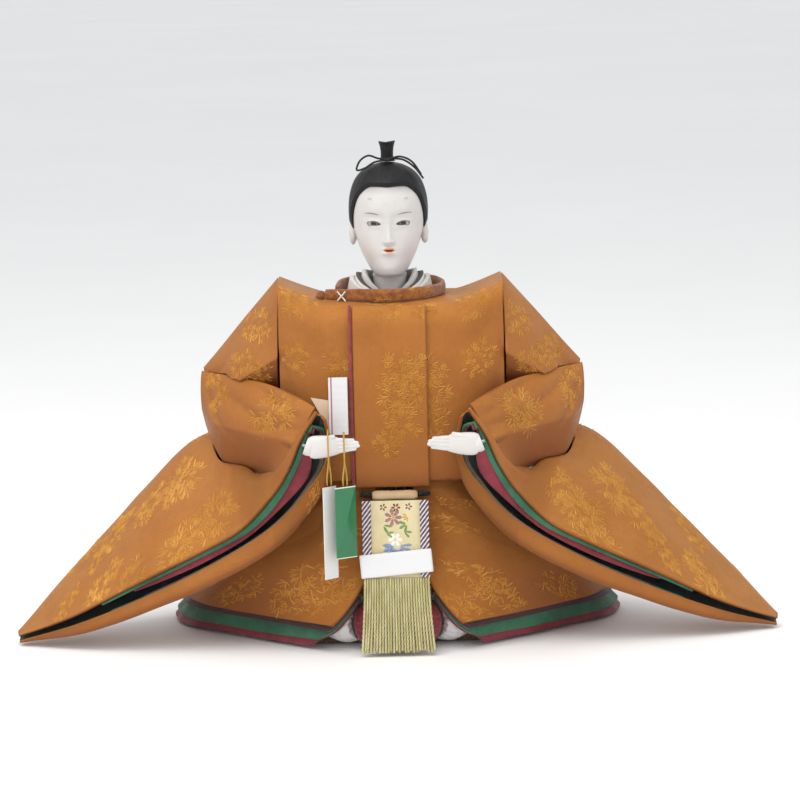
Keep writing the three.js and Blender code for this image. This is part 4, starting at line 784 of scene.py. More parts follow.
def four_rail_rings(stations, rows, columns, crisp=0.0, grow=0.0):
    """Rings through four rails. crisp draws them towards straight sides, and grow moves them outwards."""
    rails = [smooth_line([station[k] for station in stations], rows) for k in range(4)]
    rings = []
    for corners in zip(*rails):
        corners = np.array(corners)
        rounded = smooth_line(corners, columns, closed=True)
        place_on = np.arange(columns) * 4 / columns
        side = place_on.astype(int)
        share = (place_on - side)[:, None]
        straight = corners[side] * (1 - share) + corners[(side + 1) % 4] * share
        rings.append(rounded * (1 - crisp) + straight * crisp)
    rings = np.array(rings)
    if grow:
        rings = rings + outward_normals(rings) * grow
    return rings


def outward_normals(rings):
    normals = net_normals(rings, wrap=True)
    away = rings - rings.mean(axis=1, keepdims=True)
    return normals if (normals * away).sum() > 0 else -normals


def clear_of_tube(rings, start=(45.9, -55.1, 102.6), end=(58.4, -42.6, 104.4), radius=3.1):
    """Keeps the silk outside the paper tube that holds the hand's wire."""
    start, end = np.array(start), np.array(end)
    run = end - start
    share = ((rings - start) @ run / (run @ run)).clip(0, 1)
    off = rings - start - share[..., None] * run
    distance = np.linalg.norm(off, axis=2, keepdims=True)
    return rings + unit(off) * (radius - distance).clip(0)


FOREARM_CREASES = [
    ([(0.05, 0.03), (0.3, 0.12), (0.62, 0.2)], -0.9, 2.6), ([(0.02, 0.1), (0.2, 0.2), (0.4, 0.3)], -0.8, 2.4),
    ([(0.35, 0.02), (0.6, 0.08), (0.95, 0.13)], -0.8, 2.2), ([(0.5, 0.24), (0.75, 0.2), (1.0, 0.18)], -0.9, 2.4),
    ([(0.45, 0.14), (0.7, 0.13), (0.97, 0.05)], 0.7, 2.8),
]
UPPER_CREASES = [
    ([(0.6, 0.1), (0.8, 0.16), (0.98, 0.2)], -0.8, 3), ([(0.1, 0.28), (0.4, 0.27), (0.7, 0.3)], -0.8, 4),
    ([(0.55, 0.9), (0.8, 0.87), (0.97, 0.8)], -0.8, 4),
]


def creased(rings, creases, seed):
    height = rumple(rings, 30, 0.35, seed) - 0.4
    for line, rise, width in creases:
        height = height + crease(rings, line, rise, width)
    return rings + outward_normals(rings) * height.clip(-2, 0.25)[..., None]


forearm_rings = creased(four_rail_rings(FOREARM, 84, 96, crisp=0.35), FOREARM_CREASES, 11)
upper_rings = creased(four_rail_rings(UPPER_SLEEVE, 56, 112, crisp=0.5), UPPER_CREASES, 12)
upper_cutter_rings = four_rail_rings(FOREARM, 30, 40, crisp=0.35, grow=0.4)
torso_cutter_rings = trunk_rings(np.linspace(-1, 1, 31), 64, -0.4)
sleeves = {}
for side, name in SIDES:
    turned = np.array((side, 1, 1))
    forearm = loft_piece(f"forearm_silk_{name}", clear_of_tube(forearm_rings) * turned, brocade)
    cut_out(forearm.piece, torso_cutter_rings)
    upper = loft_piece(f"upper_sleeve_silk_{name}", upper_rings * turned, brocade)
    cut_out(upper.piece, upper_cutter_rings * turned)
    for sleeve, node in ((forearm, "forearm_sleeve"), (upper, "upper_sleeve")):
        dress(sleeve.piece, f"{node}_{name}", ROOT)
    sleeves[name] = {"forearm": forearm, "upper": upper}
print("sleeve faces", len(forearm.piece.data.polygons), len(upper.piece.data.polygons))

# %% [markdown]
# ## Wing sleeves
# The wide sleeves spread like wings. Each is one bag of silk: from its upper lip over a high ridge, down behind and
# back along the floor to its lower lip, with a long mouth in front from the hand to the tip. Five rails run from
# hand to tip and a smooth line joins them at every step. Cloth simulation would lose the pressed shape that the
# stiffening gives, so the folds that gather at the hand are placed one by one. A green lining, painted dark as the
# shade inside the bag, faces the mouth, and in front of it a green and a crimson hem follow both lips and hang a
# little way across.

# %% Rails of the wing and their net
WING_RAILS = {
    "upper_lip": [(35.5, -60, 118), (43, -60, 105), (49, -58.5, 91), (58, -56.5, 77), (72, -54.5, 62),
                  (95, -50, 48.5), (127, -45, 32.5), (157, -38, 16.5), (184, -27, 5.2)],
    "ridge": [(38.8, -53, 117), (47, -49.5, 106), (55, -44, 92), (66, -29, 83), (86, 9, 97),
              (99, 12.5, 91.5), (124, 8.5, 68), (156, -2, 35.5), (184.6, -22, 6)],
    "back_foot": [(33.5, -51.5, 114.5), (37, -49, 102), (46, -47.5, 86), (59, -36, 66), (82, 4, 64),
                  (99, 16, 63), (124, 13, 43), (155, 2, 20), (184, -21.5, 3)],
    "front_foot": [(31.8, -54, 113), (30.2, -53.5, 98), (34, -56, 81), (43, -58, 68), (58, -57, 53),
                   (85, -52, 37), (120, -46, 21), (153, -38.5, 8.5), (183.6, -26.5, 1.7)],
    "lower_lip": [(31.8, -58, 114), (30.8, -56, 104.5), (33, -57, 92), (42, -59, 79.5), (57, -58, 64),
                  (86, -52.5, 45), (121, -46.5, 27.5), (153, -39.5, 13.8), (183.6, -27.6, 2.4)],
}
WING_BULGE = 4.5
WING_ROWS, WING_COLUMNS = 150, 132


def wing_net(first=0.0, last=1.0, start=0.0, end=1.0, rows=WING_ROWS, columns=WING_COLUMNS):
    """The bag's middle surface between two shares of its length and two shares of the way across."""
    fine = 1024
    rails = {key: smooth_line(points, fine) for key, points in WING_RAILS.items()}
    net = []
    even = np.linspace(0, 1, columns + 1)
    across = start + (end - start) * (0.75 * even + 0.25 * (1 - np.cos(math.pi * even)) / 2)
    for s in np.linspace(first, last, rows + 1):
        k = min(int(s * fine), fine - 1)
        lip, ridge, back, front, low = (rail[k] + (rail[k + 1] - rail[k]) * (s * fine - k) for rail in rails.values())
        swell = WING_BULGE * math.sin(math.pi * s)
        points = [lip, (lip + ridge) / 2 + (0, -0.6 * swell, 0.8 * swell), ridge,
                  (ridge + back) / 2 + (0.4 * swell, 0.6 * swell, 0), back,
                  (back + front) / 2 + (0, 0, -0.3 * swell), front, low]
        section = smooth_line(points, 560)
        spot = across * 560
        low_index = np.minimum(spot.astype(int), 559)
        net.append(section[low_index] + (section[low_index + 1] - section[low_index]) * (spot - low_index)[:, None])
    return np.array(net)


BAG_MIDDLE = wing_net(0.5, 0.51, rows=1, columns=8)[0].mean(axis=0)


def bag_normals(net):
    """Normals of a wing net, turned away from the inside of the bag."""
    normals = net_normals(net)
    row = len(net) // 2
    column = min(2, net.shape[1] - 1)
    return normals if normals[row, column] @ (net[row, column] - BAG_MIDDLE) > 0 else -normals


WING_CREASES = [
    ([(0.01, 0.2), (0.18, 0.17), (0.42, 0.21)], -1.7, 2.4), ([(0.03, 0.13), (0.2, 0.115), (0.5, 0.14)], 1.0, 2.6),
    ([(0.1, 0.28), (0.28, 0.24), (0.55, 0.27)], -1.4, 3.2), ([(0.12, 0.24), (0.3, 0.2), (0.5, 0.235)], 0.8, 2.4),
    ([(0.3, 0.36), (0.42, 0.33), (0.62, 0.33)], -1.2, 5), ([(0.5, 0.2), (0.7, 0.24), (0.92, 0.3)], -0.9, 7),
    ([(0.45, 0.1), (0.65, 0.12), (0.9, 0.16)], 0.5, 5), ([(0.2, 0.88), (0.5, 0.86), (0.85, 0.88)], 0.5, 5),
]
wing_middle = wing_net()
wing_height = rumple(wing_middle, 44, 0.5, 21)
for line, rise, width in WING_CREASES:
    wing_height = wing_height + crease(wing_middle, line, rise, width)
wing_folded = wing_middle + bag_normals(wing_middle) * wing_height[..., None]
print("wing net", wing_folded.shape)

# %% Both wings, with room for the arm
def bar_rings(start, end, radius, sides=24):
    start, end = np.asarray(start, float), np.asarray(end, float)
    axis = unit(end - start)
    x = unit(np.cross(axis, (0, 0, 1)))
    y = np.cross(axis, x)
    around = full_turn(sides)[:, None]
    ring = radius * (np.cos(around) * x + np.sin(around) * y)
    return np.array([start + ring, end + ring])


WRIST = np.array((38.5, -62.5, 101.5))
WIRE_AHEAD = unit(np.array((0.7, 0.7, 0.1)))
forearm_room = four_rail_rings(FOREARM, 40, 48, crisp=0.33, grow=0.5)
upper_room = four_rail_rings(UPPER_SLEEVE, 24, 48, crisp=0.4, grow=0.7)
wrist_room = bar_rings(WRIST - 11 * WIRE_AHEAD, WRIST + 4.4 * WIRE_AHEAD, 6.5)
tube_room = bar_rings(WRIST + 10.5 * WIRE_AHEAD, WRIST + 28.6 * WIRE_AHEAD, 2.75)
ROOMS = (forearm_room, upper_room, wrist_room, tube_room)
wing_thickness = 1.6 - 0.8 * ((np.linspace(0, 1, WING_ROWS + 1) - 0.7) / 0.3).clip(0, 1)
for side, name in SIDES:
    turned = np.array((side, 1, 1))
    wing = sheet_piece(f"wing_silk_{name}", wing_folded * turned, wing_thickness, brocade, BAG_MIDDLE * turned,
                       shaded_wing_lining)
    cut_out(wing.piece, *[room * turned for room in ROOMS])
    dress(wing.piece, f"wing_sleeve_{name}", ROOT)
    sleeves[name]["wing"] = wing
print("wing faces", len(wing.piece.data.polygons))

# %% Green and crimson layers inside the mouth
UPPER_HEM, LOWER_HEM = 0.1, 0.12
HEM_DEPTH, HEM_STEP = 1.8, 1.5
HEM_START, HEM_END = 1 / 16, {1: 13 / 16, 2: 12 / 16}  # shares of the mouth's length, the end for each level
FLAP_COLUMNS, FLAP_ENDS, FLAP_MIDDLE = 8, 0.03, {1: 0.17, 2: 0.17 + 0.24}  # shares of the way across the mouth


def hang_flap(strip, level, rows):
    """Turns the first columns of the upper strip into a flap that hangs across the mouth from its lip."""
    span = HEM_START, HEM_END[level]
    gap = wing_net(*span, 1.0, 0.999, rows, 1)[:, 0] - wing_net(*span, 0.0, 0.001, rows, 1)[:, 0]
    place = np.linspace(0, 1, rows + 1)
    reach = (FLAP_ENDS + FLAP_MIDDLE[level] * np.sin(math.pi * place.clip(0, 1)) ** 0.6
             * (1 + 0.3 * np.sin(11.0 * place + 2.2 * level)))
    hung = strip.copy()
    inside = np.linspace(0, strip.shape[1] - 1, strip.shape[1] - FLAP_COLUMNS)
    for k, spot in enumerate(inside):
        low = min(int(spot), strip.shape[1] - 2)
        hung[:, FLAP_COLUMNS + k] = strip[:, low] + (strip[:, low + 1] - strip[:, low]) * (spot - low)
    for k in range(FLAP_COLUMNS):
        share = (1 - k / FLAP_COLUMNS) * reach[:, None]
        hung[:, k] = strip[:, 0] + gap * share
    return hung


def under_sleeve_net(level, side_steps=20, rows=110):
    """A hem strip inside the mouth: along the upper lip, round over the hand and back along the lower lip."""
    distance = HEM_DEPTH + (level - 1) * HEM_STEP
    strips = []
    for start, end in ((0.0, UPPER_HEM), (1.0, 1.0 - LOWER_HEM / level)):
        net = wing_net(HEM_START, HEM_END[level], start, end, rows, side_steps)
        height = rumple(net, 40, 0.25, 31 + level)
        strips.append(net - bag_normals(net) * (distance + height)[..., None])
    upper, lower = strips
    upper = hang_flap(upper, level, rows)
    arch = []
    for share in np.linspace(0, 1, 13)[1:-1]:
        row = []
        for j in range(upper.shape[1]):
            around_hand = smooth_line([upper[4, j], upper[0, j], lower[0, j], lower[4, j]], 36)
            row.append(around_hand[12 + round(12 * share)])
        arch.append(row)
    return np.concatenate([upper[::-1], arch, lower])


for level, silk, node, slot in ((1, green_silk, "green_sleeve", "green_silk"),
                                (2, crimson_silk, "red_sleeve", "crimson_silk")):
    strip = under_sleeve_net(level)
    for side, name in SIDES:
        turned = np.array((side, 1, 1))
        layer = sheet_piece(f"{node}_silk_{name}", strip * turned, 1.0, silk, BAG_MIDDLE * turned)
        cut_out(layer.piece, *[room * turned for room in ROOMS])
        dress(layer.piece, f"{node}_{name}", ROOT)
        sleeves[name][node] = layer
print("under sleeve net", strip.shape)

# %% [markdown]
# ## Skirts
# Four skirts lie over the crossed legs: a brocade one and three thin silk ones that show as coloured edges below
# it. Each is a single sheet from the waist over the knees to the floor, open in front, with pressed corners. All
# four follow the same four level lines, each a little further in and reaching a little further down. The two lowest
# are loose, so their front corners sink.

# %% Level lines of the skirts
SKIRT_HALF = {
    "waist": [(9, -43, 76.1), (24, -40.5, 76.1), (38, -27, 76.1), (42.5, -6, 76.1), (38, 15, 76.1), (23, 28, 76.1),
              (0, 32, 76.1)],
    "knee": [(13, -50.5, 38), (48, -44, 41), (80.6, -20, 38), (86.9, 12, 34), (70, 43.5, 32), (38.2, 58.5, 31),
             (0, 62.4, 31)],
    "hem": [(31, -58, 14.3), (62, -36, 14.3), (98.6, -4, 14.3), (106, 24, 14.3), (85.9, 56.1, 14.3),
            (45.6, 74.3, 14.3), (0, 79, 14.3)],
    "foot": [(45, -50, 5.7), (74, -30, 5.7), (108.6, 0, 5.7), (115, 26, 5.7), (93.9, 60, 5.7), (49.6, 81.3, 5.7),
             (0, 86, 5.7)],
}
SKIRT_COLUMNS = 280


def skirt_net(first, last, rows):
    """The skirts' middle surface between two levels: 0 waist, 1 knee, 2 hem, 3 foot."""
    rails = []
    for half in SKIRT_HALF.values():
        whole = half + [(-x, y, z) for x, y, z in half[:-1][::-1]]
        rails.append(smooth_line(whole, SKIRT_COLUMNS))
    rails = np.array(rails)
    fine = 240
    columns = np.array([smooth_line(rails[:, j], fine) for j in range(SKIRT_COLUMNS + 1)])
    spots = np.linspace(first, last, rows + 1) / 3 * fine
    low = np.minimum(spots.astype(int), fine - 1)
    share = (spots - low)[None, :, None]
    return (columns[:, low] * (1 - share) + columns[:, low + 1] * share).transpose(1, 0, 2)


def skirt_normals(net):
    """Normals that point inwards, under the skirt."""
    normals = net_normals(net)
    return normals if normals[0, 1, 1] > 0 else -normals


def skirt_waves(net, first, last, seed):
    """Pleats that fan out from the waist and grow towards the hem."""
    chance = np.random.default_rng(7)
    share = np.linspace(0, 1, net.shape[1])[None, :]
    level = np.linspace(first, last, net.shape[0])[:, None]
    waves = np.zeros(net.shape[:2])
    for count in (9, 14, 23):
        waves = waves + np.sin(share * count * TURN + chance.uniform(0, 6.3)) / count ** 0.5
    away_from_front = np.sin(np.pi * share) ** 0.5
    return waves * away_from_front * (0.25 + 0.75 * (level / 2).clip(0, 1)) * 1.1 + rumple(net, 36, 0.18, seed)


SKIRTS = [
    ("outer_skirt", 0, 2.0, 1.6, brocade, "brocade", 0.0, 110),
    ("plum_skirt", 1.38, 2.24, 1.2, plum_silk, "plum_silk", 1.9, 34),
    ("green_skirt", 1.38, 2.68, 1.2, green_silk, "green_silk", 3.6, 50),
    ("red_skirt", 1.38, 2.95, 1.2, crimson_silk, "crimson_silk", 5.3, 58),
]
CORNER_DROOP = {"green_skirt": 2.4, "red_skirt": 4.0}  # how far the front corners of the loose layers sink
DROOP_LEVEL, DROOP_REACH = 1.8, 0.3  # the level where the sinking starts, and its share of the hem from each corner
TUCKED_ROWS = ((2.2, 4.4), (1.9, 2.8), (1.1, 1.2))  # how far in and how far up the waist's tucked edge lies
SKIRT_CREASES = [
    ([(0.02, 0.03), (0.2, 0.07), (0.42, 0.12)], -1.3, 3.2), ([(0.0, 0.06), (0.15, 0.12), (0.3, 0.18)], 1.0, 3.5),
    ([(0.3, 0.02), (0.6, 0.04), (0.98, 0.05)], 0.6, 4.5),
]
skirts = {}
for node, first, last, thickness, silk, slot, inset, rows in SKIRTS:
    net = skirt_net(first, last, rows)
    height = skirt_waves(net, first, last, 41)
    if node == "outer_skirt":
        for mirrored in (False, True):
            for line, rise, width in SKIRT_CREASES:
                height = height + crease(net, [(r, 1 - c if mirrored else c) for r, c in line], rise, width)
    net = net + skirt_normals(net) * (inset - height.clip(-1.6, 1.4))[..., None]
    from_front = np.minimum(np.linspace(0, 1, net.shape[1]), np.linspace(1, 0, net.shape[1]))
    level = np.linspace(first, last, net.shape[0])[:, None]
    sinking = ((level - DROOP_LEVEL) / (last - DROOP_LEVEL)).clip(0, 1) ** 1.2
    sinking = sinking * (1 - from_front / DROOP_REACH).clip(0, 1)
    net = net - sinking[..., None] * (0, 0, CORNER_DROOP.get(node, 0.0))
    if node == "outer_skirt":
        inward = unit((np.array((0, -4, 0)) - net[0]) * (1, 1, 0))
        lift = (1 + 1.1 * ((net[0, :, 1] + 10) / 35).clip(0, 1))[:, None] * (0, 0, 1)
        tucked = [net[0] + inward * reach + lift * rise for reach, rise in TUCKED_ROWS]
        net = np.concatenate([tucked, net])
    skirt = sheet_piece(f"{node}_silk", net, thickness, silk, (0, 0, 20))
    dress(skirt.piece, node, ROOT)
    skirts[node] = skirt
    print(node, "from level", first, "to", last, "faces", len(skirt.piece.data.polygons))

# %% [markdown]
# ## Front panel, piping and collars
# The robe closes on the doll's right under a narrow red piping, with a straight seam on the left of the panel. A
# round stuffed collar rings the neck and ends in a knot that a white cross stitch holds. Inside it lie three thin
# under collars, crossed to a V: white, dark and white.

# %% Lines up the front of the robe
PANEL_LEFT, PANEL_RIGHT, PANEL_BOTTOM, PANEL_TOP = -18.6, 16.5, 79.2, 162.8


def robe_front_line(x, proud, steps):
    """Points up the robe's front at one side position, standing proud of it."""
    outline = trunk_slice(x, 400)
    outline = outline[outline[:, 1] < -12]
    outline = outline[np.argsort(outline[:, 2])]
    heights = np.linspace(PANEL_BOTTOM, PANEL_TOP, steps + 1)
    depth = np.interp(heights, outline[:, 2], outline[:, 1])
    line = np.stack([np.full(steps + 1, float(x)), depth, heights], axis=1)
    along = unit(np.gradient(line, axis=0))
    return line + np.stack([np.zeros(steps + 1), -along[:, 2], along[:, 1]], axis=1) * proud


panel_net = np.array([robe_front_line(x, 0.95, 120) for x in np.linspace(PANEL_LEFT + 0.35, PANEL_RIGHT, 42)])
panel_lift = rumple(panel_net, 40, 0.12, 51)
panel_net = panel_net + np.array((0, -1, 0)) * panel_lift.clip(-0.1, 0.2)[..., None]
panel = sheet_piece("front_panel_silk", panel_net, 1.0, brocade, (0, 0, 120))
piping_centre = robe_front_line(PANEL_LEFT - 0.75, 1.2, 260)
piping = tube("front_piping_silk", piping_centre, 0.78, piping_silk, sides=14, lobes=2, twist=1.9, depth=0.12)
for piece, node, slot in ((panel.piece, "robe_front_panel", "brocade"), (piping, "front_piping", "piping_red")):
    dress(piece, node, ROOT)
print("panel", panel.net.shape, "piping length", round(line_length(piping_centre), 1))

# %% Under collars
UNDER_COLLAR_DEEP, UNDER_COLLAR_FLARE, UNDER_COLLAR_STEP, UNDER_COLLAR_DROP = 9.5, 0.22, 3.15, 2.2


def under_collar_net(level, edge_steps=120, down_steps=16):
    """One of three collars, each a step outwards and a little lower than the one inside it."""
    half = [(0, 6.5, 174.7), (9, 2, 175.8), (12, -7, 177.2), (9.84, -14, 173.2), (2.2, -17.6, 166.2)]
    line = [(-x, y, z) for x, y, z in half[1:][::-1]] + half
    edge = smooth_line(line, edge_steps)
    away = unit(np.stack([edge[:, 0], edge[:, 1] + 7, np.zeros(len(edge))], axis=1))
    foot = edge + away * UNDER_COLLAR_DEEP * UNDER_COLLAR_FLARE - (0, 0, UNDER_COLLAR_DEEP)
    share = np.linspace(0, 1, down_steps + 1)[None, :, None]
    net = edge[:, None] * (1 - share) + foot[:, None] * share
    normals = net_normals(net)
    if normals[len(net) // 2, 1, 1] < 0:
        normals = -normals
    return net + normals * level * UNDER_COLLAR_STEP - (0, 0, level * UNDER_COLLAR_DROP)


edged_cloth, tree = principled("white_cotton_dark_edge")
flat = tree.flat()
across_band = tree.size(tree.axes(flat)["X"])
weave = use_group(tree, weave_group, Place=flat, Pitch=0.0006)
edge_mask = tree.ramp(across_band, 0.0042, 0.0043)
line_mask = tree.times(edge_mask, tree.ramp(across_band, 0.0046, 0.0045))
colour = tree.blend(edge_mask, paint("E0DEDA"), paint("4E4A48"))
tree.surface(Base_Color=tree.blend(line_mask, colour, paint("7B4036")), Roughness=0.7)
tree.raise_by(weave["Height"], 0.00005)
UNDER_COLLARS = [
    ("under_collar_inner", white_silk, "white_cloth"), ("under_collar_middle", edged_cloth, "dark_cloth"),
    ("under_collar_outer", white_silk, "white_cloth"),
]
for level, (node, silk, slot) in enumerate(UNDER_COLLARS):
    net = under_collar_net(level)
    net = net + net_normals(net) * rumple(net, 14, 0.12, 60 + level)[..., None]
    collar = sheet_piece(f"{node}_silk", net, 2.2, silk, (0, -7, 168))
    dress(collar.piece, node, ROOT)
print("under collars", level + 1)

# %% Stand-up collar, its knot and the cross stitch
COLLAR_PATH = [
    (-30.5, -22, 167.2), (-15.6, -27.9, 167.8), (0, -30.5, 167.8), (17.6, -25, 168.1), (25.2, -11, 168.4),
    (21.4, 5, 169.2), (0, 17.8, 169.8), (-21.4, 5, 169.2), (-25.2, -10, 168.2), (-24.8, -15.5, 168.0),
]
COLLAR_HALF_THICK, COLLAR_HALF_HIGH = 1.42, 3.2
KNOT_CENTRE, KNOT_WIDE, KNOT_TALL = np.array((-33.15, -21.6, 167.2)), 2.15, 2.5
collar_line = smooth_line(COLLAR_PATH, 260)
ahead = unit(np.gradient(collar_line, axis=0))
across = unit(np.stack([ahead[:, 1], -ahead[:, 0], np.zeros(len(ahead))], axis=1))
around = full_turn(40)
collar_rings = []
for place, sideways in zip(collar_line, across):
    flat_x = COLLAR_HALF_THICK * np.sign(np.cos(around)) * np.abs(np.cos(around)) ** 0.75
    flat_z = COLLAR_HALF_HIGH * np.sign(np.sin(around)) * np.abs(np.sin(around)) ** 0.7
    collar_rings.append(place + flat_x[:, None] * sideways + flat_z[:, None] * np.array((0, 0, 1)))
collar_rings = np.array(collar_rings)
collar_rings = collar_rings + outward_normals(collar_rings) * (rumple(collar_rings, 7, 0.22, 71)
                                                               + rumple(collar_rings, 2.2, 0.1, 72) - 0.15)[..., None]
collar = loft_piece("robe_collar_silk", collar_rings, brocade_pile)

turns, rings = full_turn(48), []
for lift in np.linspace(-0.97, 0.97, 30):
    radius = math.sqrt(1 - lift ** 2) * (1 + 0.07 * np.sin(5 * turns + 7 * lift))
    rings.append(np.stack([KNOT_WIDE * radius * np.cos(turns), KNOT_WIDE * radius * np.sin(turns),
                           np.full(48, KNOT_TALL * lift)], axis=1) + KNOT_CENTRE)
knot = loft_piece("collar_knot_silk", rings, brocade_pile)
trunk_room = trunk_rings(np.linspace(-1, 1, 41), 90, -0.15)
for piece in (collar.piece, knot.piece):
    cut_out(piece, trunk_room)

stitch_at = smooth_line(COLLAR_PATH, 1000)[55]
stitch_y = stitch_at[1] - 1.5 - 0.4 - 0.7 - 0.3  # in front of the collar, its pile and the thread
strands = []
for slope in (1.1, -1.1):
    lift = 0.25 if slope > 0 else -0.25
    strands.append([(stitch_at[0] + 2.0 * u, stitch_y + 0.55 - 1.5 * (u + 1) / 2 - lift * (1 - u * u),
                     stitch_at[2] + slope * 2.1 * u) for u in np.linspace(-1, 1, 18)])
white_thread = cloth("white_thread", "F4F2EC", "DDD9D0", pitch=0.0004, roughness=0.55, shade=0.12)
stitch_parts = [tube("collar_stitch_thread", np.array(s), 0.36, white_thread, sides=14, lobes=3, twist=2.6, depth=0.2)
                for s in strands]


def joined(name, pieces):
    """Several mesh objects as one."""
    shape = bmesh.new()
    for piece in pieces:
        shape.from_mesh(piece.data)
    materials = list(pieces[0].data.materials)
    mesh = bpy.data.meshes.new(name)
    shape.to_mesh(mesh)
    shape.free()
    for material in materials:
        mesh.materials.append(material)
    for piece in pieces:
        bpy.data.objects.remove(piece)
    return add_object(name, mesh)


stitch = joined("collar_stitch_thread", stitch_parts)
for piece, node, slot in ((collar.piece, "robe_collar", "brocade"), (knot.piece, "collar_knot", "brocade"),
                          (stitch, "collar_stitch", "white_cloth")):
    dress(piece, node, ROOT)
print("collar length", round(line_length(collar_line), 1))

# %% [markdown]
# ## The head
# A festival doll's head is pressed from wood paste and polished with many coats of white shell powder. It is one
# smooth form, so it is made as one fine net round the skull's level slices. Nose, lids, lips and cheeks are soft
# hills added to the front of that net, and the glass eyes sit behind slits cut through the face.

# %% Level slices of the skull
FACE_HALF, FACE_FRONT, CHIN_Z, HEAD_TOP_Z = 17.4, -24.2, 175.5, 226.6
FACE_SHARES = [
    (0.012, 0.44, FACE_FRONT + 2.4, 6), (0.07, 0.56, FACE_FRONT + 0.4, 9.5), (0.17, 0.71, FACE_FRONT - 0.4, 12.54),
    (0.27, 0.83, FACE_FRONT - 0.4, 15.2), (0.37, 0.92, FACE_FRONT, 17.29), (0.48, 0.98, FACE_FRONT + 0.7, 18.62),
    (0.6, 1.0, FACE_FRONT + 0.4, 19), (0.72, 0.97, FACE_FRONT + 0.8, 18.43), (0.84, 0.86, FACE_FRONT + 3.6, 16.34),
    (0.92, 0.69, FACE_FRONT + 8, 12.54), (0.975, 0.43, FACE_FRONT + 14, 7.22), (1.0, 0.16, FACE_FRONT + 20, 1.9),
]
HEAD_SLICES = [(160, 7.6, -15, 1), (172.5, 8, -15, 2), (174.9, 8.32, -16.5, 4)] + [
    (CHIN_Z + share * (HEAD_TOP_Z - CHIN_Z), wide * FACE_HALF, front, back)
    for share, wide, front, back in FACE_SHARES]
head_profile = smooth_line(HEAD_SLICES, 1400)


def head_net(heights, turns, grow=0.0):
    """Points on the skull at the given heights and turns, 0 in front. heights may differ from turn to turn."""
    heights = heights if heights.ndim == 2 else heights[:, None] + 0 * turns
    wide, front, back = (np.interp(heights, head_profile[:, 0], head_profile[:, k]) for k in (1, 2, 3))
    centre, deep = (front + back) / 2, (back - front) / 2
    return np.stack([(wide + grow) * np.sin(turns), centre - (deep + grow) * np.cos(turns), heights + 0 * turns],
                    axis=-1)


def hill(x, z, centre_x, centre_z, wide, high, power=2.0):
    return np.exp(-(np.abs((x - centre_x) / wide) ** power + np.abs((z - centre_z) / high) ** power))


def face_relief(x, z):
    """How far the face stands forward of the plain skull, in millimetres."""
    side = np.abs(x)
    bridge = np.interp(z, [190.4, 191.3, 192.6, 194, 197, 201, 205, 209], [0, 1.5, 3.0, 2.9, 1.9, 1.0, 0.5, 0])
    spread = np.interp(z, [190, 193, 197, 201, 206], [2.2, 2.1, 1.55, 1.5, 2.4])
    relief = bridge * np.exp(-(side / spread) ** 2.2)
    relief = relief + 0.8 * hill(side, z, 2.0, 192.3, 1.1, 1.2)
    relief = relief - 0.7 * hill(side, z, 6.4, 203.6, 4.2, 2.0) + 0.5 * hill(side, z, 6.9, 202.3, 3.9, 1.1)
    relief = relief + 0.35 * hill(side, z, 6.9, 199.4, 3.6, 0.9) + 0.4 * hill(side, z, 7.5, 207.5, 5.5, 2.2)
    relief = relief + 0.7 * hill(side, z, 9.5, 190, 5.5, 6) + 0.5 * hill(x, z, 0, 179.4, 4.5, 3.2)
    relief = relief + 1.1 * hill(x, z, 0, 188.2, 4.0, 2.9) - 0.25 * hill(x, z, 0, 190.6, 0.7, 0.9)
    cupid = 0.3 * hill(side, z, 1.0, 189.9, 0.8, 0.5)
    relief = relief + 0.55 * hill(x, z, 0, 189.3, 2.9, 0.75) + 0.65 * hill(x, z, 0, 187.0, 2.5, 0.85) + cupid
    relief = relief - 1.15 * np.exp(-((x / 2.5) ** 4 + ((z - 188.25 - 0.02 * x * x) / 0.36) ** 2))
    return relief - 0.35 * hill(x, z, 0, 184.6, 3.6, 1.3)


face_heights = np.concatenate([np.linspace(160, 184, 56, endpoint=False), np.linspace(184, 206, 130, endpoint=False),
                               np.linspace(206, HEAD_TOP_Z, 72)])
even_turns = full_turn(256)
face_turns = even_turns - 0.55 * np.sin(even_turns)
skull = head_net(face_heights, face_turns)
forward = (np.cos(face_turns)[None, :] * 1.6).clip(0, 1)
skull[..., 1] -= face_relief(skull[..., 0], skull[..., 2]) * forward
print("face net", skull.shape, "nose tip", skull[..., 1].min().round(1))

# %% White shell finish with painted brows, lids and lips
gofun, tree = principled("gofun_face")
place = tree.place()
axes = tree.axes(place)
face_x, face_y, face_z = (tree.mm(axes[k]) for k in "XYZ")
half_x = tree.size(face_x)
in_front = tree.ramp(face_y, -12.0, -15.0)


def soft_spot(x, z, centre_x, centre_z, wide, high, inner, outer):
    """1 inside an oval in front of the face, falling to 0 between two shares of its size."""
    across = tree.over(tree.minus(x, centre_x), wide)
    up = tree.over(tree.minus(z, centre_z), high)
    return tree.ramp(tree.reach(across, up), outer, inner)


def brush_line(start_x, end_x, middle_z, bend, slope, thick):
    """A painted hair line: middle_z + slope * u + bend * (1 - u * u), where u runs from -1 to 1 along it."""
    middle, half = (start_x + end_x) / 2, (end_x - start_x) / 2
    u = tree.over(tree.minus(half_x, middle), half)
    square = tree.minus(1.0, tree.times(u, u))
    height = tree.plus(tree.plus(middle_z, tree.times(u, slope)), tree.times(square, bend))
    distance = tree.size(tree.minus(face_z, height))
    taper = tree.times(tree.maths("SQRT", tree.maths("MAXIMUM", square, 0.0001)), thick)
    share = tree.over(distance, taper)
    return tree.times(tree.ramp(share, 1.5, 0.4), tree.ramp(square, 0.0, 0.08))


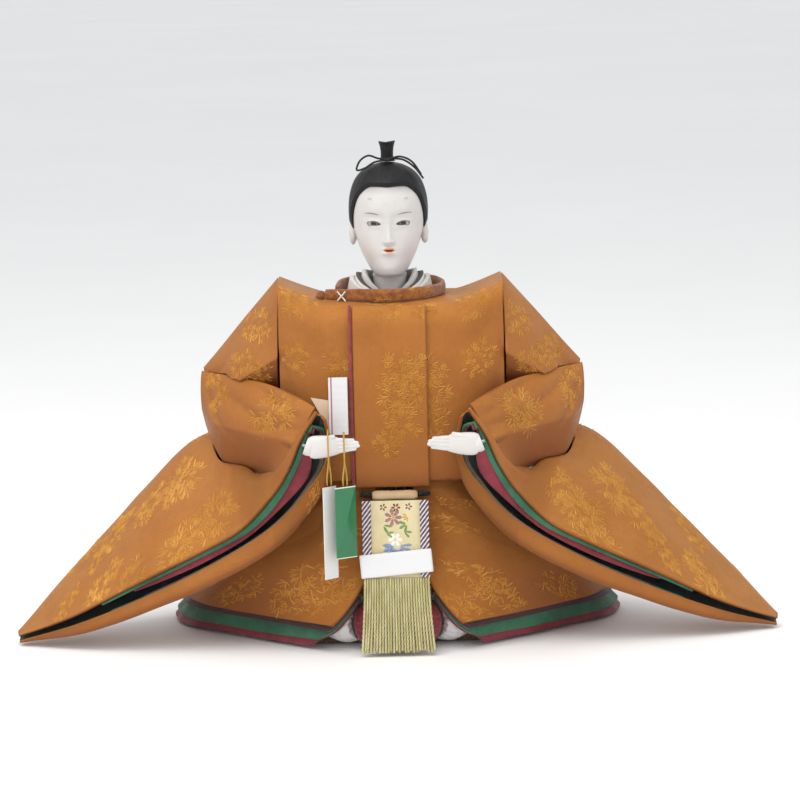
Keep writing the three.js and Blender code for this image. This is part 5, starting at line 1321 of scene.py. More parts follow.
warmth = use_group(tree, tone_group, Place=place, Scale=60.0)["Mask"]
colour = tree.blend(warmth, paint("CDCAC7"), paint("D3D0CD"))
blush = tree.times(soft_spot(half_x, face_z, 11.0, 188.5, 8.0, 7.0, 0.1, 1.2), 0.3)
colour = tree.blend(blush, colour, paint("D2BDB3"))
# Grey towards the hairline: the hair's painted edge together with painted shade under the hair.
hairline_grey_and_shade = tree.times(tree.ramp(face_z, 213.5, 218.5), 0.55)
colour = tree.blend(hairline_grey_and_shade, colour, paint("8E8C90"))
painted = [
    (brush_line(4.4, 11.4, 205.4, 0.45, 0.35, 0.34), "6F665F", 0.75),
    (brush_line(3.5, 10.4, 200.95, 1.05, 0.2, 0.3), "3A322E", 0.9),
    (brush_line(3.9, 10.2, 200.25, -0.55, 0.2, 0.16), "8D7F77", 0.4),
    (soft_spot(half_x, face_z, 8.6, 212.6, 1.6, 1.0, 0.2, 1.0), "85827E", 0.4),
    (soft_spot(half_x, face_z, 1.25, 190.9, 0.65, 0.4, 0.3, 1.0), "B79C8E", 0.55),
    (soft_spot(face_x, face_z, 0.0, 187.6, 2.3, 1.15, 0.4, 1.1), "D79A80", 0.8),
    (soft_spot(half_x, face_z, 0.7, 188.75, 2.2, 1.15, 0.55, 1.05), "D9824F", 0.95),
    (soft_spot(face_x, face_z, 0.0, 188.3, 2.45, 0.44, 0.55, 1.15), "2E1712", 1.0),
]
for mask, tone, strength in painted:
    mask = tree.times(tree.times(mask, strength), in_front)
    colour = tree.blend(mask, colour, paint(tone))
tree.surface(Base_Color=colour, Roughness=tree.ramp(warmth, 0.0, 1.0, 0.42, 0.36), Subsurface_Weight=0.06,
             Subsurface_Radius=(0.002, 0.0012, 0.001))
tree.raise_by(tree.noise(place, 420.0, 3.0), 0.00002, 0.5)
print("painted parts of the face", len(painted) + 2)

# %% Cut the eye slits and sockets, and add the ears
EYE_X, EYE_Y, EYE_Z, EYE_RADIUS = 6.9, -18.2, 200.8, 3.1
EAR_X, EAR_Y, EAR_Z, EAR_RADII = 17.3, -2, 193.8, (2.3, 3.3, 6.2)


def ball_rings(centre, radii, rows=26, columns=40, dent=None):
    turns = full_turn(columns)
    lifts = np.sin(np.linspace(-1, 1, rows) * math.pi / 2 * 0.97)
    rings = []
    for lift in lifts:
        reach = math.sqrt(1 - lift ** 2)
        ring = np.stack([reach * np.cos(turns), reach * np.sin(turns), np.full(columns, lift)], axis=1)
        rings.append(ring * (dent(ring)[:, None] if dent else 1) * radii + centre)
    return np.array(rings)


def almond_rings(side):
    u = np.cos(full_turn(40))
    v = np.sin(full_turn(40))
    high = np.where(v > 0, 1.05, 0.62) * np.sign(v) * np.abs(v) ** 1.3
    outline = np.stack([side * (EYE_X + 3.25 * u), high + EYE_Z - 0.15 + 0.2 * u], axis=1)
    return np.array([[(x, y, z) for x, z in outline] for y in (-31, EYE_Y)])


def union_into(piece, *others):
    for other in others:
        modifier = piece.modifiers.new("add", "BOOLEAN")
        modifier.operation, modifier.solver, modifier.object = "UNION", "MANIFOLD", other
    bake(piece)
    for other in others:
        bpy.data.objects.remove(other)


def ear_dent(side):
    def dent(ring):
        y, z = ring[:, 1], ring[:, 2]
        outside = ring[:, 0] * side > 0.05
        bowl = np.exp(-(((y + 0.1) / 0.5) ** 2 + ((z - 0.15) / 0.55) ** 2) ** 1.5)
        fold = 0.35 * np.exp(-(((y + 0.15) / 0.16) ** 2 + ((z - 0.2) / 0.3) ** 2))
        narrow = 1 - 0.22 * (1 - z).clip(0, 2) * 0.5
        return np.where(outside, 1 - 0.42 * bowl + fold, 1.0) * narrow
    return dent


face = loft_piece("face_gofun", skull, gofun).piece
ears = [loft_piece("ear", ball_rings((side * EAR_X, EAR_Y, EAR_Z), EAR_RADII, 44, 60, ear_dent(side)), gofun).piece
        for side in (-1, 1)]
union_into(face, *ears)
cutters = [bar_rings((0, -7, 155), (0, -7, 172.4), 2.9)]
for side in (-1, 1):
    cutters += [ball_rings((side * EYE_X, EYE_Y, EYE_Z), (EYE_RADIUS + 0.3,) * 3), almond_rings(side)]
cut_out(face, *cutters)
dress(face, "face", "head")
print("face faces", len(face.data.polygons))

# %% Glass eyes
eye_glass, tree = principled("eye_glass")
axes = tree.axes(tree.place())
eye_across = tree.minus(tree.size(tree.mm(axes["X"])), EYE_X + 0.3)
eye_up = tree.minus(tree.mm(axes["Z"]), EYE_Z + 0.15)
from_middle = tree.reach(eye_across, eye_up)
eye_colour = tree.blend(tree.ramp(from_middle, 1.55, 1.2), paint("A9A29B"), paint("43352C"))
eye_colour = tree.blend(tree.ramp(from_middle, 0.75, 0.6), eye_colour, paint("0E0B0A"))
tree.surface(Base_Color=eye_colour, Roughness=tree.ramp(from_middle, 1.4, 1.8, 0.05, 0.15), Coat_Weight=0.6)
for side, name in SIDES:
    ball = ball_rings((side * EYE_X, EYE_Y, EYE_Z), (EYE_RADIUS,) * 3, 30, 48)
    eye = loft_piece(f"eye_glass_{name}", ball, eye_glass)
    dress(eye.piece, f"eye_{name}", "head")
print("eyes at", EYE_X, EYE_Z)

# %% [markdown]
# ## Hair and topknot
# The hair is real silk, glued down in combed lines that all run up to the topknot. The cap is a shell that follows
# the skull, and its lower edge follows the hairline: level over the brow, down to a point before each ear, over
# the ear and down to the nape. The combing is grooves along those same lines.

# %% Silk hair finish and a wrapped shell
hair_silk, tree = principled("hair_silk")
flat = tree.flat()
combed = tree.stretched(flat, (3800.0, 90.0, 1.0))
strands = tree.noise(combed, 1.0, 4.0)
strand_mask = tree.ramp(strands, 0.35, 0.65)
tree.surface(Base_Color=tree.blend(strand_mask, paint("060607"), paint("19191C")),
             Roughness=tree.ramp(strands, 0.3, 0.7, 0.5, 0.36), Specular_IOR_Level=0.3)
tree.raise_by(strands, 0.00012)


def shell_piece(name, outer, inner, material):
    """A closed cap: an outer and an inner wrapped net joined at their lowest row and each closed at its top."""
    rows, columns = outer.shape[:2]
    flat = flat_map(outer, wrap=True)
    faces, pairs, base = [], [], rows * columns
    for quad, corners in ring_quads(rows, columns):
        corner = [flat[spot] for spot in corners]
        faces += [quad, tuple(base + q for q in quad[::-1])]
        pairs += corner + corner[::-1]
    for j in range(columns):
        k = (j + 1) % columns
        faces.append((j, base + j, base + k, k))
        pairs += [flat[0, j], flat[0, j], flat[0, j + 1], flat[0, j + 1]]
        top = (rows - 1) * columns
        faces += [(top + j, top + k, 2 * base), (base + top + k, base + top + j, 2 * base + 1)]
        pairs += [flat[-1, j], flat[-1, j + 1], flat[-1, j], flat[-1, j + 1], flat[-1, j], flat[-1, j]]
    points = np.vstack([outer.reshape(-1, 3), inner.reshape(-1, 3), [outer[-1].mean(axis=0)], [inner[-1].mean(axis=0)]])
    return mesh_object(name, points, faces, [material], pairs)


# %% The combed cap
HAIR_EDGE = [  # turn from the front in degrees, height of the hair's edge
    (0, 217.9), (20, 218.2), (36, 217.8), (48, 215.6), (58, 212.4), (68, 206.6), (76, 201.5), (83, 197.8), (90, 197.2),
    (97, 200.6), (108, 201.2), (120, 196), (132, 190), (150, 188.2), (180, 188),
]
HAIR_THICK, KNOT_FOOT_Z, KNOT_HIGH, KNOT_RADIUS = 1.7, 228.75, 9.3, 3.2
hair_turns = full_turn(420)
degrees = np.degrees(np.minimum(hair_turns, TURN - hair_turns))
edge = smooth_line([(a, z, 0) for a, z in HAIR_EDGE], 600)
hair_low = np.interp(degrees, edge[:, 0], edge[:, 1])
rise = np.linspace(0, 1, 90)[:, None] ** 0.9
hair_heights = hair_low[None, :] + (HEAD_TOP_Z - hair_low[None, :]) * rise
scalp = head_net(hair_heights, hair_turns)
chance = np.random.default_rng(81)
comb = chance.normal(size=420)
comb = sum(np.roll(comb, k) * w for k, w in ((-1, 0.25), (0, 0.5), (1, 0.25)))
broad = np.convolve(np.tile(chance.normal(size=420), 3), np.hanning(19) / 9, "same")[420:840]
thick = HAIR_THICK * (0.35 + 0.65 * (rise / 0.12).clip(0, 1)) * (1 + 0 * hair_turns)
thick = thick + (0.10 * comb + 0.16 * broad)[None, :] * (rise * (1 - rise) * 3).clip(0, 1)
scalp_out = outward_normals(scalp)
hair_outside = scalp + scalp_out * thick[..., None]
hair = shell_piece("hair_cap_silk", hair_outside, scalp + scalp_out * 0.12, hair_silk)
dress(hair, "hair", "head")
print("hair faces", len(hair.data.polygons), "highest", round(hair_outside[..., 2].max(), 1))

# %% The topknot
KNOT_PROFILE = [(0, 1.25), (0.12, 1.0), (0.3, 0.92), (0.6, 0.95), (0.85, 1.08), (1, 1.25)]
knot_turns = full_turn(96)
knot_profile = smooth_line([(s, r, 0) for s, r in KNOT_PROFILE], 60)
knot_comb = 0.07 * chance.normal(size=96)
rings = []
for share, wide, _ in knot_profile:
    wrap = 0.1 * math.cos(share * TURN * 14) * (share < 0.62)
    radius = KNOT_RADIUS * wide + wrap + knot_comb * (0.4 + share)
    x, y = radius * np.sin(knot_turns), -0.8 * radius * np.cos(knot_turns)
    notch = (0.75 * (np.abs(x + 0.5) / 4) - 0.45) * share ** 6
    rings.append(np.stack([x, y, KNOT_FOOT_Z + share * KNOT_HIGH + notch], axis=1))
for inward in (0.8, 0.5, 0.2):
    rings.append(rings[len(knot_profile) - 1] * (inward, inward, 1) - (0, 0, 0.7 * (1 - inward)))
topknot = loft_piece("topknot_silk", rings, hair_silk).piece
dress(topknot, "topknot", "head")
print("topknot rings", len(rings))

# %% [markdown]
# ## Hands
# Only the hands show at the sleeve mouths. They are carved wood under the same white shell finish as the face, with
# four fingers laid together and a thumb along them. A palm, fingers and thumb are joined, the join is smoothed as
# the thick coat would, and a hole is left for the wire that holds the hand in its sleeve. The wrist ends in a slanting
# cut that follows the sleeve's mouth, so that nothing catches there when the hand turns on its wire.

# %% White shell finish for the hands
hand_white, tree = principled("gofun_hand")
place = tree.place()
warmth = use_group(tree, tone_group, Place=place, Scale=120.0)["Mask"]
tree.surface(Base_Color=tree.blend(warmth, paint("D8D4D1"), paint("DDDAD7")),
             Roughness=tree.ramp(warmth, 0.0, 1.0, 0.42, 0.34), Subsurface_Weight=0.06,
             Subsurface_Radius=(0.002, 0.0012, 0.001))


def taper_rings(start, end, first, last, bend=0.0, rows=22, columns=20):
    """A finger: rounded at both ends, tapering, and bending towards -Y as it goes."""
    start, end = np.array(start, float), np.array(end, float)
    length = np.linalg.norm(end - start)
    line = smooth_line([start, (start + end) / 2 + (0, bend * 0.25, 0), end + (0, bend, 0)], rows)
    ahead, across, up = frames_along(line)
    around = full_turn(columns)
    rings = []
    for k, share in enumerate(np.linspace(0, 1, rows + 1)):
        radius = first + (last - first) * share
        near_end = min(share * length / first, (1 - share) * length / last, 1.0)
        radius *= math.sqrt(max(1 - (1 - near_end) ** 2, 0.02))
        radius *= 1 + 0.05 * math.cos(share * TURN * 2.0)
        rings.append(line[k] + radius * (np.outer(np.cos(around), across[k]) + np.outer(np.sin(around), up[k])))
    return np.array(rings)


def remeshed(piece, size, smoothing):
    """A piece as one skin of small even faces. size is in millimetres."""
    remesh = piece.modifiers.new("one skin", "REMESH")
    remesh.mode, remesh.voxel_size = "VOXEL", size / 1000
    soften = piece.modifiers.new("soften", "SMOOTH")
    soften.factor, soften.iterations = 0.5, smoothing
    bake(piece).shade_smooth()
    return piece


PALM = [(-0.06, 0.86, 0.8), (0.1, 1.0, 1.0), (0.5, 0.98, 1.0), (0.85, 0.86, 0.8), (1.08, 0.74, 0.5)]
FINGERS = [(2.95, 9.4, 1.3), (1.0, 11.3, 1.36), (-1.0, 11.7, 1.34), (-2.9, 9.9, 1.22)]  # height, length, radius
WRIST_STUB = ((-2.2, 2.6), (-0.6, 3.9), (1.2, 4.3), (2.7, 4.2), (3.8, 4.0))  # way along the wire, radius
WRIST_CUT, CUT_FACING = np.array((41.2, -62.5, 102.0)), unit(np.array((0.93, 0.06, 0.34)))
HAND_TILT, HAND_TURN = math.radians(-5), math.radians(-170)
HAND_LONG, HAND_HALF_THICK, HAND_HALF_HIGH = 12, 3, 5.35


def hand_piece(side, name):
    """Built pointing along +X at the origin, turned, set on its wire, joined and cut at the wrist."""
    around = full_turn(36)
    palm = []
    for share, high, thick in smooth_line(PALM, 30):
        c, s = np.cos(around), np.sin(around)
        palm.append(np.stack([np.full(36, share * HAND_LONG), HAND_HALF_THICK * thick * np.sign(s) * np.abs(s) ** 0.85,
                              HAND_HALF_HIGH * high * np.sign(c) * np.abs(c) ** 0.8], axis=1))
    parts = [np.array(palm)]
    for height, length, radius in FINGERS:
        start, end = (9.2, 0.2, height * 0.96), (11.6 + length, 0.1, height * 0.68 - 0.3)
        parts.append(taper_rings(start, end, radius, radius * 0.66, -0.9))
    parts.append(taper_rings((4.4, 1.2, 3.2), (12.4, 1.2, 4.6), 1.6, 1.05, -0.3))
    placed = []
    for rings in parts:
        x, y, z = rings[..., 0], rings[..., 1], rings[..., 2]
        x, z = x * math.cos(HAND_TILT) + z * math.sin(HAND_TILT), -x * math.sin(HAND_TILT) + z * math.cos(HAND_TILT)
        x, y = x * math.cos(HAND_TURN) - y * math.sin(HAND_TURN), x * math.sin(HAND_TURN) + y * math.cos(HAND_TURN)
        placed.append((np.stack([x, y, z], axis=-1) + WRIST) * (side, 1, 1))
    ahead, start = WIRE_AHEAD * (side, 1, 1), WRIST * (side, 1, 1)
    wrist = [bar_rings(start + ahead * t, start + ahead * (t + 0.1), radius, 32)[0] for t, radius in WRIST_STUB]
    pieces = [loft_piece("hand_part", rings, hand_white).piece for rings in [*placed, np.array(wrist)]]
    union_into(pieces[0], *pieces[1:])
    hand = remeshed(pieces[0], 0.24, 2)
    hand.name = name
    facing, cut = CUT_FACING * (side, 1, 1), WRIST_CUT * (side, 1, 1)
    for rings in (bar_rings(start - ahead * 1.2, start + ahead * 6, 1.15), bar_rings(cut, cut + facing * 12, 14)):
        cut_away(hand, loft_piece("cutter", rings, hand_white).piece)
    only_material(hand.data, hand_white)
    return hand


hand_wires = []
for side, name in SIDES:
    hand = hand_piece(side, f"hand_{name}_gofun")
    dress(hand, f"hand_{name}", f"{name}_hand")
    ahead, start = WIRE_AHEAD * (side, 1, 1), WRIST * (side, 1, 1)
    wire_rings = bar_rings(start - ahead * 0.8, start + ahead * 28, 0.8)
    wire = loft_piece(f"hand_wire_{name}_steel", wire_rings, hand_white).piece
    dress(wire, f"hand_wire_{name}", f"{name}_hand_wire")
    hand_wires.append(wire)
    print(hand.name, len(hand.data.polygons), "faces")

# %% [markdown]
# ## Trouser legs
# The seated doll's wide white trousers end in two round, gathered puffs in front, each with a crimson lining that
# swells out of its mouth. They are stuffed, so each keeps the solid form of the frame and takes its gathers inwards.

# %% Stuffed pieces with their gathers
def gathered_piece(name, node, material, size, smoothing, sink):
    """A node's form as one smooth skin, with every point moved inwards by sink(points), in millimetres."""
    piece = remeshed(add_object(name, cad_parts[node].data.copy()), size, smoothing)
    count = len(piece.data.vertices)
    points, normals = np.empty(count * 3), np.empty(count * 3)
    piece.data.vertices.foreach_get("co", points)
    piece.data.vertex_normals.foreach_get("vector", normals)
    points, normals = points.reshape(-1, 3), normals.reshape(-1, 3)
    points = points - normals * (sink(points * 1000) / 1000)[:, None]
    piece.data.vertices.foreach_set("co", points.ravel())
    layer = piece.data.uv_layers.get("Flat") or piece.data.uv_layers.new(name="Flat")
    corners = np.empty(len(piece.data.loops), int)
    piece.data.loops.foreach_get("vertex_index", corners)
    pairs = np.stack([(points[:, 0] + points[:, 1]) * 0.7071, points[:, 2]], axis=1)[corners]
    layer.data.foreach_set("uv", pairs.ravel())
    only_material(piece.data, material)
    piece.data.update()
    return piece


def gathers(side, centre, count, depth, reach):
    """Folds that run out of a point in front of a stuffed leg."""
    def sink(points):
        away = (points - (side * centre[0], centre[1], centre[2])) * (side, 1, 1)
        angle = np.arctan2(away[:, 2], away[:, 0] - 0.6 * away[:, 1])
        distance = np.linalg.norm(away, axis=1)
        wave = np.abs(np.sin(angle * count / 2 + 0.9 * np.sin(angle * 3 + side))) ** 0.7
        return 0.15 + depth * (1 - wave) * np.exp(-(distance / reach) ** 2)
    return sink


satin, tree = principled("white_satin")
place = tree.place()
sheen_mask = use_group(tree, tone_group, Place=place, Scale=90.0)["Mask"]
tree.surface(Base_Color=tree.blend(sheen_mask, paint("D2D0D1"), paint("E0DEE0")),
             Roughness=tree.ramp(sheen_mask, 0.0, 1.0, 0.4, 0.26), Sheen_Weight=0.3)
for side, name in SIDES:
    leg = gathered_piece(f"hakama_{name}_satin", f"hakama_{name}", satin, 0.55, 3,
                         gathers(side, (13, -51, 12.5), 15, 1.3, 14))
    lining = gathered_piece(f"hakama_lining_{name}_silk", f"hakama_lining_{name}", crimson_silk, 0.45, 3,
                            gathers(side, (12, -53, 12.5), 11, 0.9, 9))
    for piece, node, slot in ((leg, f"hakama_{name}", "white_cloth"),
                              (lining, f"hakama_lining_{name}", "crimson_silk")):
        dress(piece, node, ROOT)
    print(name, "leg", len(leg.data.polygons), "lining", len(lining.data.polygons))

# %% [markdown]
# ## The sash
# From a small padded roll at the waist hangs a stiff ornamental sash: a cream silk panel with embroidered flowers,
# striped ribbon borders laid over its edges, a paper band round it and a twisted silk fringe below. It leans on
# the skirt and swings from the roll, so it is built in its own flat frame and then leaned into place.

# %% The roll, the panel and its borders
SASH_LEAN, SASH_HINGE = math.radians(-14.5), (0, -46.55, 74.6)
SASH_TOP, SASH_LONG, SASH_HALF = -2.65, 36.5, 15.75
BORDER_MIDDLE, BORDER_HALF = 13.65, 2.1


def leaned(points):
    points = np.asarray(points, float)
    x, y, z = points[..., 0], points[..., 1], points[..., 2]
    cos, sin = math.cos(SASH_LEAN), math.sin(SASH_LEAN)
    return np.stack([x, y * cos - z * sin, y * sin + z * cos], axis=-1) + SASH_HINGE


def flat_net(x0, x1, y, z0, z1, rows, columns, wave=None):
    z, x = np.meshgrid(np.linspace(z0, z1, rows), np.linspace(x0, x1, columns), indexing="ij")
    depth = y + (wave(x, z) if wave else 0 * x)
    return leaned(np.stack([x, depth, z], axis=-1))


low, high = box_mm("sash_roll")
roll_middle, roll_half, roll_radius = (low + high) / 2, (high[0] - low[0]) / 2, (high[2] - low[2]) / 2
roll_rings = []
for share in np.sin(np.linspace(-1, 1, 40) * math.pi / 2):
    radius = roll_radius * (1 - abs(share) ** 14 * 0.35) * (1 - 0.03 * math.cos(share * 5) - 0.02)
    angles = full_turn(48)
    ring_radius = radius * (1 - 0.05 * np.exp(-((angles - 2.2) / 0.16) ** 2))
    roll_rings.append(np.stack([np.full(48, roll_middle[0] + share * roll_half),
                                roll_middle[1] + ring_radius * np.sin(angles),
                                roll_middle[2] + ring_radius * np.cos(angles)], axis=1))
roll = loft_piece("sash_roll_silk", roll_rings, tan_silk)
dress(roll.piece, "sash_roll", ROOT)

sash_net = flat_net(-SASH_HALF, SASH_HALF, -2.3, SASH_TOP, SASH_TOP - SASH_LONG, 60, 52,
                    lambda x, z: 0.06 * np.sin(x * 0.5) * np.sin(z * 0.33))
sash_panel = sheet_piece("sash_panel_silk", sash_net, 0.8, sash_ground, (0, 40, 40))
dress(sash_panel.piece, "sash_panel", "sash")

border_silk, tree = principled("sash_border_silk")
flat = tree.flat()
axes = tree.axes(flat)
slant = tree.times(tree.plus(axes["Y"], tree.times(axes["X"], 1.3)), TURN / 0.0025)
stripe = tree.ramp(tree.wave(slant), 0.62, 0.2)
second = tree.ramp(tree.wave(tree.times(axes["X"], TURN / 0.0021)), 0.2, 0.7)
weave = use_group(tree, weave_group, Place=flat, Pitch=0.0004)
colour = tree.blend(second, paint("E8E4E6"), paint("D5CDD6"))
colour = tree.blend(stripe, colour, tree.blend(second, paint("4A3540"), paint("6A505E")))
tree.surface(Base_Color=tree.blend(tree.times(weave["Shade"], 0.25), colour, paint("8C8790")), Roughness=0.45)
tree.raise_by(weave["Height"], 0.00004)
for side, name in SIDES:
    middle = side * BORDER_MIDDLE
    net = flat_net(middle - BORDER_HALF, middle + BORDER_HALF, -3.4, SASH_TOP - 0.05,
                   SASH_TOP - SASH_LONG + 0.05, 70, 12)
    border = sheet_piece(f"sash_border_{name}_silk", net, 0.44, border_silk, (0, 40, 40))
    dress(border.piece, f"sash_border_{name}", "sash")
print("sash panel hangs to z", sash_panel.net[..., 2].min().round(1))

# %% The paper band round the sash
paper = fibrous("white_paper", "DDDCDD", "E6E6E7", 2600.0, 5.0, 0.75, lift=0.00003)
BAND_HIGH, BAND_ROOM_X, BAND_ROOM_Y, BAND_LEAN = 11.0, 33.27, 2.55, math.radians(-4.5)
BAND_CORNER, BAND_MIDDLE, BAND_HALF_THICK, BAND_AHEAD, BAND_DOWN = 0.9, 0.225, 0.215, 2.725, 32.45
EDGE_SHARE = 0.07  # the share of the band's half height that its rounded edge takes
band_loop = []
for k in range(4):
    cx = (BAND_ROOM_X / 2 - BAND_CORNER) * (1 if k in (0, 3) else -1)
    cy = (BAND_ROOM_Y / 2 - BAND_CORNER) * (1 if k in (0, 1) else -1)
    for step in np.linspace(0, math.pi / 2, 7):
        angle = k * math.pi / 2 + step
        band_loop.append((cx + (BAND_CORNER + BAND_MIDDLE) * math.cos(angle),
                          cy + (BAND_CORNER + BAND_MIDDLE) * math.sin(angle)))
band_loop = np.array(band_loop + band_loop[:1])
ahead = np.gradient(band_loop, axis=0)
ahead[0] = ahead[-1] = ahead[0] + ahead[-1]
away = unit(np.stack([ahead[:, 1], -ahead[:, 0]], axis=1))


def band_ring(share, side):
    """The outer ring (side 1) or inner ring (side -1) at a share of the band's height from its top."""
    near_edge = max(0, abs(share - 0.5) * 2 - 1 + EDGE_SHARE)
    rounded = BAND_HALF_THICK * (1 - math.sqrt(1 - near_edge ** 2 / EDGE_SHARE ** 2 * 0.99))
    x, y = (band_loop[:-1] + away[:-1] * side * (BAND_HALF_THICK - rounded)).T
    z = np.full(len(x), (0.5 - share) * BAND_HIGH)
    x, z = x * math.cos(BAND_LEAN) + z * math.sin(BAND_LEAN), -x * math.sin(BAND_LEAN) + z * math.cos(BAND_LEAN)
    return leaned(np.stack([x, y - BAND_AHEAD, z - BAND_DOWN], axis=1))


band_shares = np.linspace(0, 1, 14)
rings = [band_ring(share, 1) for share in band_shares] + [band_ring(share, -1) for share in band_shares[::-1]]
faces, pairs = [], []
for face, corners in ring_quads(len(rings), len(band_loop) - 1, closed=True):
    faces.append(face)
    pairs += [(j, i) for i, j in corners]
band = mesh_object("paper_band_paper", np.array(rings).reshape(-1, 3), faces, [paper], pairs)
turn_outward(band)
dress(band, "paper_band", "paper_ring")
print("band faces", len(faces))

# %% [markdown]
# ## Strands
# The fringe is several dozen twisted cords hung side by side, and the core of the body is a bundle of rice straw
# bound tight. Both are the same repeat: a small section drawn along many lines, turning as it goes. One node tree
# does it, with the section's radius, the share of that radius left in its grooves and the twist as inputs; it
# always has four plies.

# %% A node tree that draws a twisted section along lines
def geometry_tree(name, *sockets):
    """A geometry tree with these sockets, the last of them its output."""
    group = bpy.data.node_groups.new(name, "GeometryNodeTree")
    for label, kind in sockets:
        direction = "OUTPUT" if label == sockets[-1][0] else "INPUT"
        group.interface.new_socket(name=label, in_out=direction, socket_type=f"NodeSocket{kind}")
    tree = Tree(group)
    return group, tree, tree.add("NodeGroupInput").outputs


def real_and_dressed(tree, geometry, material):
    real = tree.add("GeometryNodeRealizeInstances", Geometry=geometry).outputs["Geometry"]
    return tree.add("GeometryNodeSetMaterial", Geometry=real, Material=material).outputs["Geometry"]


def grown_piece(name, shape, group, material, **values):
    """What a geometry tree makes of a mesh of points and edges."""
    piece = add_object(name, shape)
    modifier = piece.modifiers.new(group.name, "NODES")
    modifier.node_group = group
    sockets = {item.name: item.identifier for item in group.interface.items_tree if item.in_out == "INPUT"}
    for key, value in {**values, "Material": material}.items():
        modifier[sockets[key]] = value
    made = bake(piece)
    if not made.materials:
        made.materials.append(material)
    return piece


strand_tree, tree, given = geometry_tree(
    "twisted_strands", ("Lines", "Geometry"), ("Radius", "Float"), ("Flute", "Float"), ("Twist", "Float"),
    ("Material", "Material"), ("Strands", "Geometry"))
lines = tree.add("GeometryNodeMeshToCurve", Mesh=given["Lines"]).outputs["Curve"]
along = tree.add("GeometryNodeSplineParameter").outputs["Length"]
twisted = tree.add("GeometryNodeSetCurveTilt", Curve=lines, Tilt=tree.times(along, given["Twist"])).outputs["Curve"]
star = tree.add("GeometryNodeCurveStar", Points=4, Inner_Radius=tree.times(given["Radius"], given["Flute"]),
                Outer_Radius=given["Radius"]).outputs["Curve"]
drawn = tree.add("GeometryNodeCurveToMesh", Curve=twisted, Profile_Curve=star, Fill_Caps=True).outputs["Mesh"]
even = tree.add("GeometryNodeSetShadeSmooth", Geometry=drawn).outputs["Geometry"]
tree.add("NodeGroupOutput", Strands=real_and_dressed(tree, even, given["Material"]))


def strands_piece(name, lines, radius, flute, twist, material):
    """Lines is a list of point lists in millimetres. radius is in millimetres and twist in turns a metre."""
    points, edges = [], []
    for line in lines:
        edges += [(len(points) + k, len(points) + k + 1) for k in range(len(line) - 1)]
        points += [tuple(p) for p in np.asarray(line) / 1000]
    shape = bpy.data.meshes.new(name)
    shape.from_pydata(points, edges, [])
    return grown_piece(name, shape, strand_tree, material, Radius=radius / 1000, Flute=flute, Twist=twist * TURN)


print("tree", strand_tree.name, "nodes", len(strand_tree.nodes))

# %% The fringe
fringe_silk = fibrous("fringe_silk", "B9AE70", "D8D09C", 700.0, 3.0, 0.5, stretch=(1.0, 1.0, 0.1), span=(0.3, 0.7),
                      sheen=0.3)
FRINGE_TOP, FRINGE_FOOT, FRINGE_COUNT = leaned((0, -2.3, -40.05)), np.array((0, -62.5, 1.2)), 26
FRINGE_WIDE, FRINGE_SPREAD = 32.5, 4.5


def fringe_line(place_across, layer, chance):
    shares = np.linspace(0, 1, 40)
    wide = (FRINGE_WIDE + FRINGE_SPREAD * shares ** 1.6) / 2 - 0.75
    drift = chance.uniform(-0.25, 0.25)
    x = place_across * wide + drift * shares ** 2
    y = FRINGE_TOP[1] + (FRINGE_FOOT[1] - FRINGE_TOP[1]) * (1 - (1 - shares) ** 1.5) + layer
    z = FRINGE_TOP[2] + (FRINGE_FOOT[2] - FRINGE_TOP[2]) * shares + 0.9
    keep = int(40 - chance.integers(0, 2))
    return np.stack([x, y, z], axis=1)[:keep]


chance = np.random.default_rng(28)
fringe_lines = [fringe_line(-1 + 2 * (k + 0.5) / FRINGE_COUNT, layer, chance)
                for layer in (-0.38, 0.42) for k in range(FRINGE_COUNT)]
fringe = strands_piece("sash_fringe_silk", fringe_lines, 0.68, 0.55, 110, fringe_silk)
dress(fringe, "sash_fringe", "sash")
print("fringe strands", len(fringe_lines), "faces", len(fringe.data.polygons))

# %% [markdown]
# ## Papers and tags
# A folded packet of white paper is tucked into the front of the robe, with a peach sheet behind its left edge. Two
# cards hang from the hand by their threads: a plain white one and a glossy green one with a thin pale edge.

# %% Folded paper, its backing sheet and the cards
backing = fibrous("peach_paper", "E3C3A4", "EED6BD", 2200.0, 5.0, 0.7, lift=0.00003)
white_card = fibrous("white_card", "D8D6D3", "E2E1DE", 1800.0, 4.0, 0.55)

packet, tree = principled("folded_paper")
axes = tree.axes(tree.place())
packet_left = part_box("folded_paper")[0][0] * 1000
sheets = tree.wave(tree.times(tree.mm(axes["Y"]), TURN / 0.42))
edge_line = tree.ramp(tree.size(tree.minus(tree.mm(axes["X"]), packet_left + 1.35)), 0.42, 0.28)
colour = tree.blend(tree.noise(tree.place(), 2500.0, 4.0), paint("DAD9DA"), paint("E2E1E2"))
tree.surface(Base_Color=tree.blend(tree.times(edge_line, 0.85), colour, paint("A8434F")), Roughness=0.7)
tree.raise_by(sheets, 0.00004, 0.4)

green_card, tree = principled("green_card")
card_low, card_high = box_mm("green_tag")
card_middle, card_half = (card_low[2] + card_high[2]) / 2, (card_high[2] - card_low[2]) / 2
up = tree.mm(tree.axes(tree.place())["Z"])
rim = tree.ramp(tree.size(tree.minus(up, card_middle)), card_half - 0.55, card_half - 0.4)
colour = tree.blend(tree.noise(tree.place(), 260.0, 3.0), paint("1E6E44"), paint("2A7D50"))
tree.surface(Base_Color=tree.blend(rim, colour, paint("E6E2D2")), Roughness=0.3, Coat_Weight=0.25)


def softened(name, node, body, material, width):
    """A node's own shape as a finished piece, with its edges rounded a little."""
    piece = add_object(name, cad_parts[node].data.copy())
    merge = piece.modifiers.new("weld", "WELD")
    merge.merge_threshold = 0.000002
    bevel = piece.modifiers.new("soft edges", "BEVEL")
    bevel.width, bevel.segments, bevel.limit_method = width / 1000, 2, "ANGLE"
    only_material(bake(piece), material)
    dress(piece, node, body)
    return piece


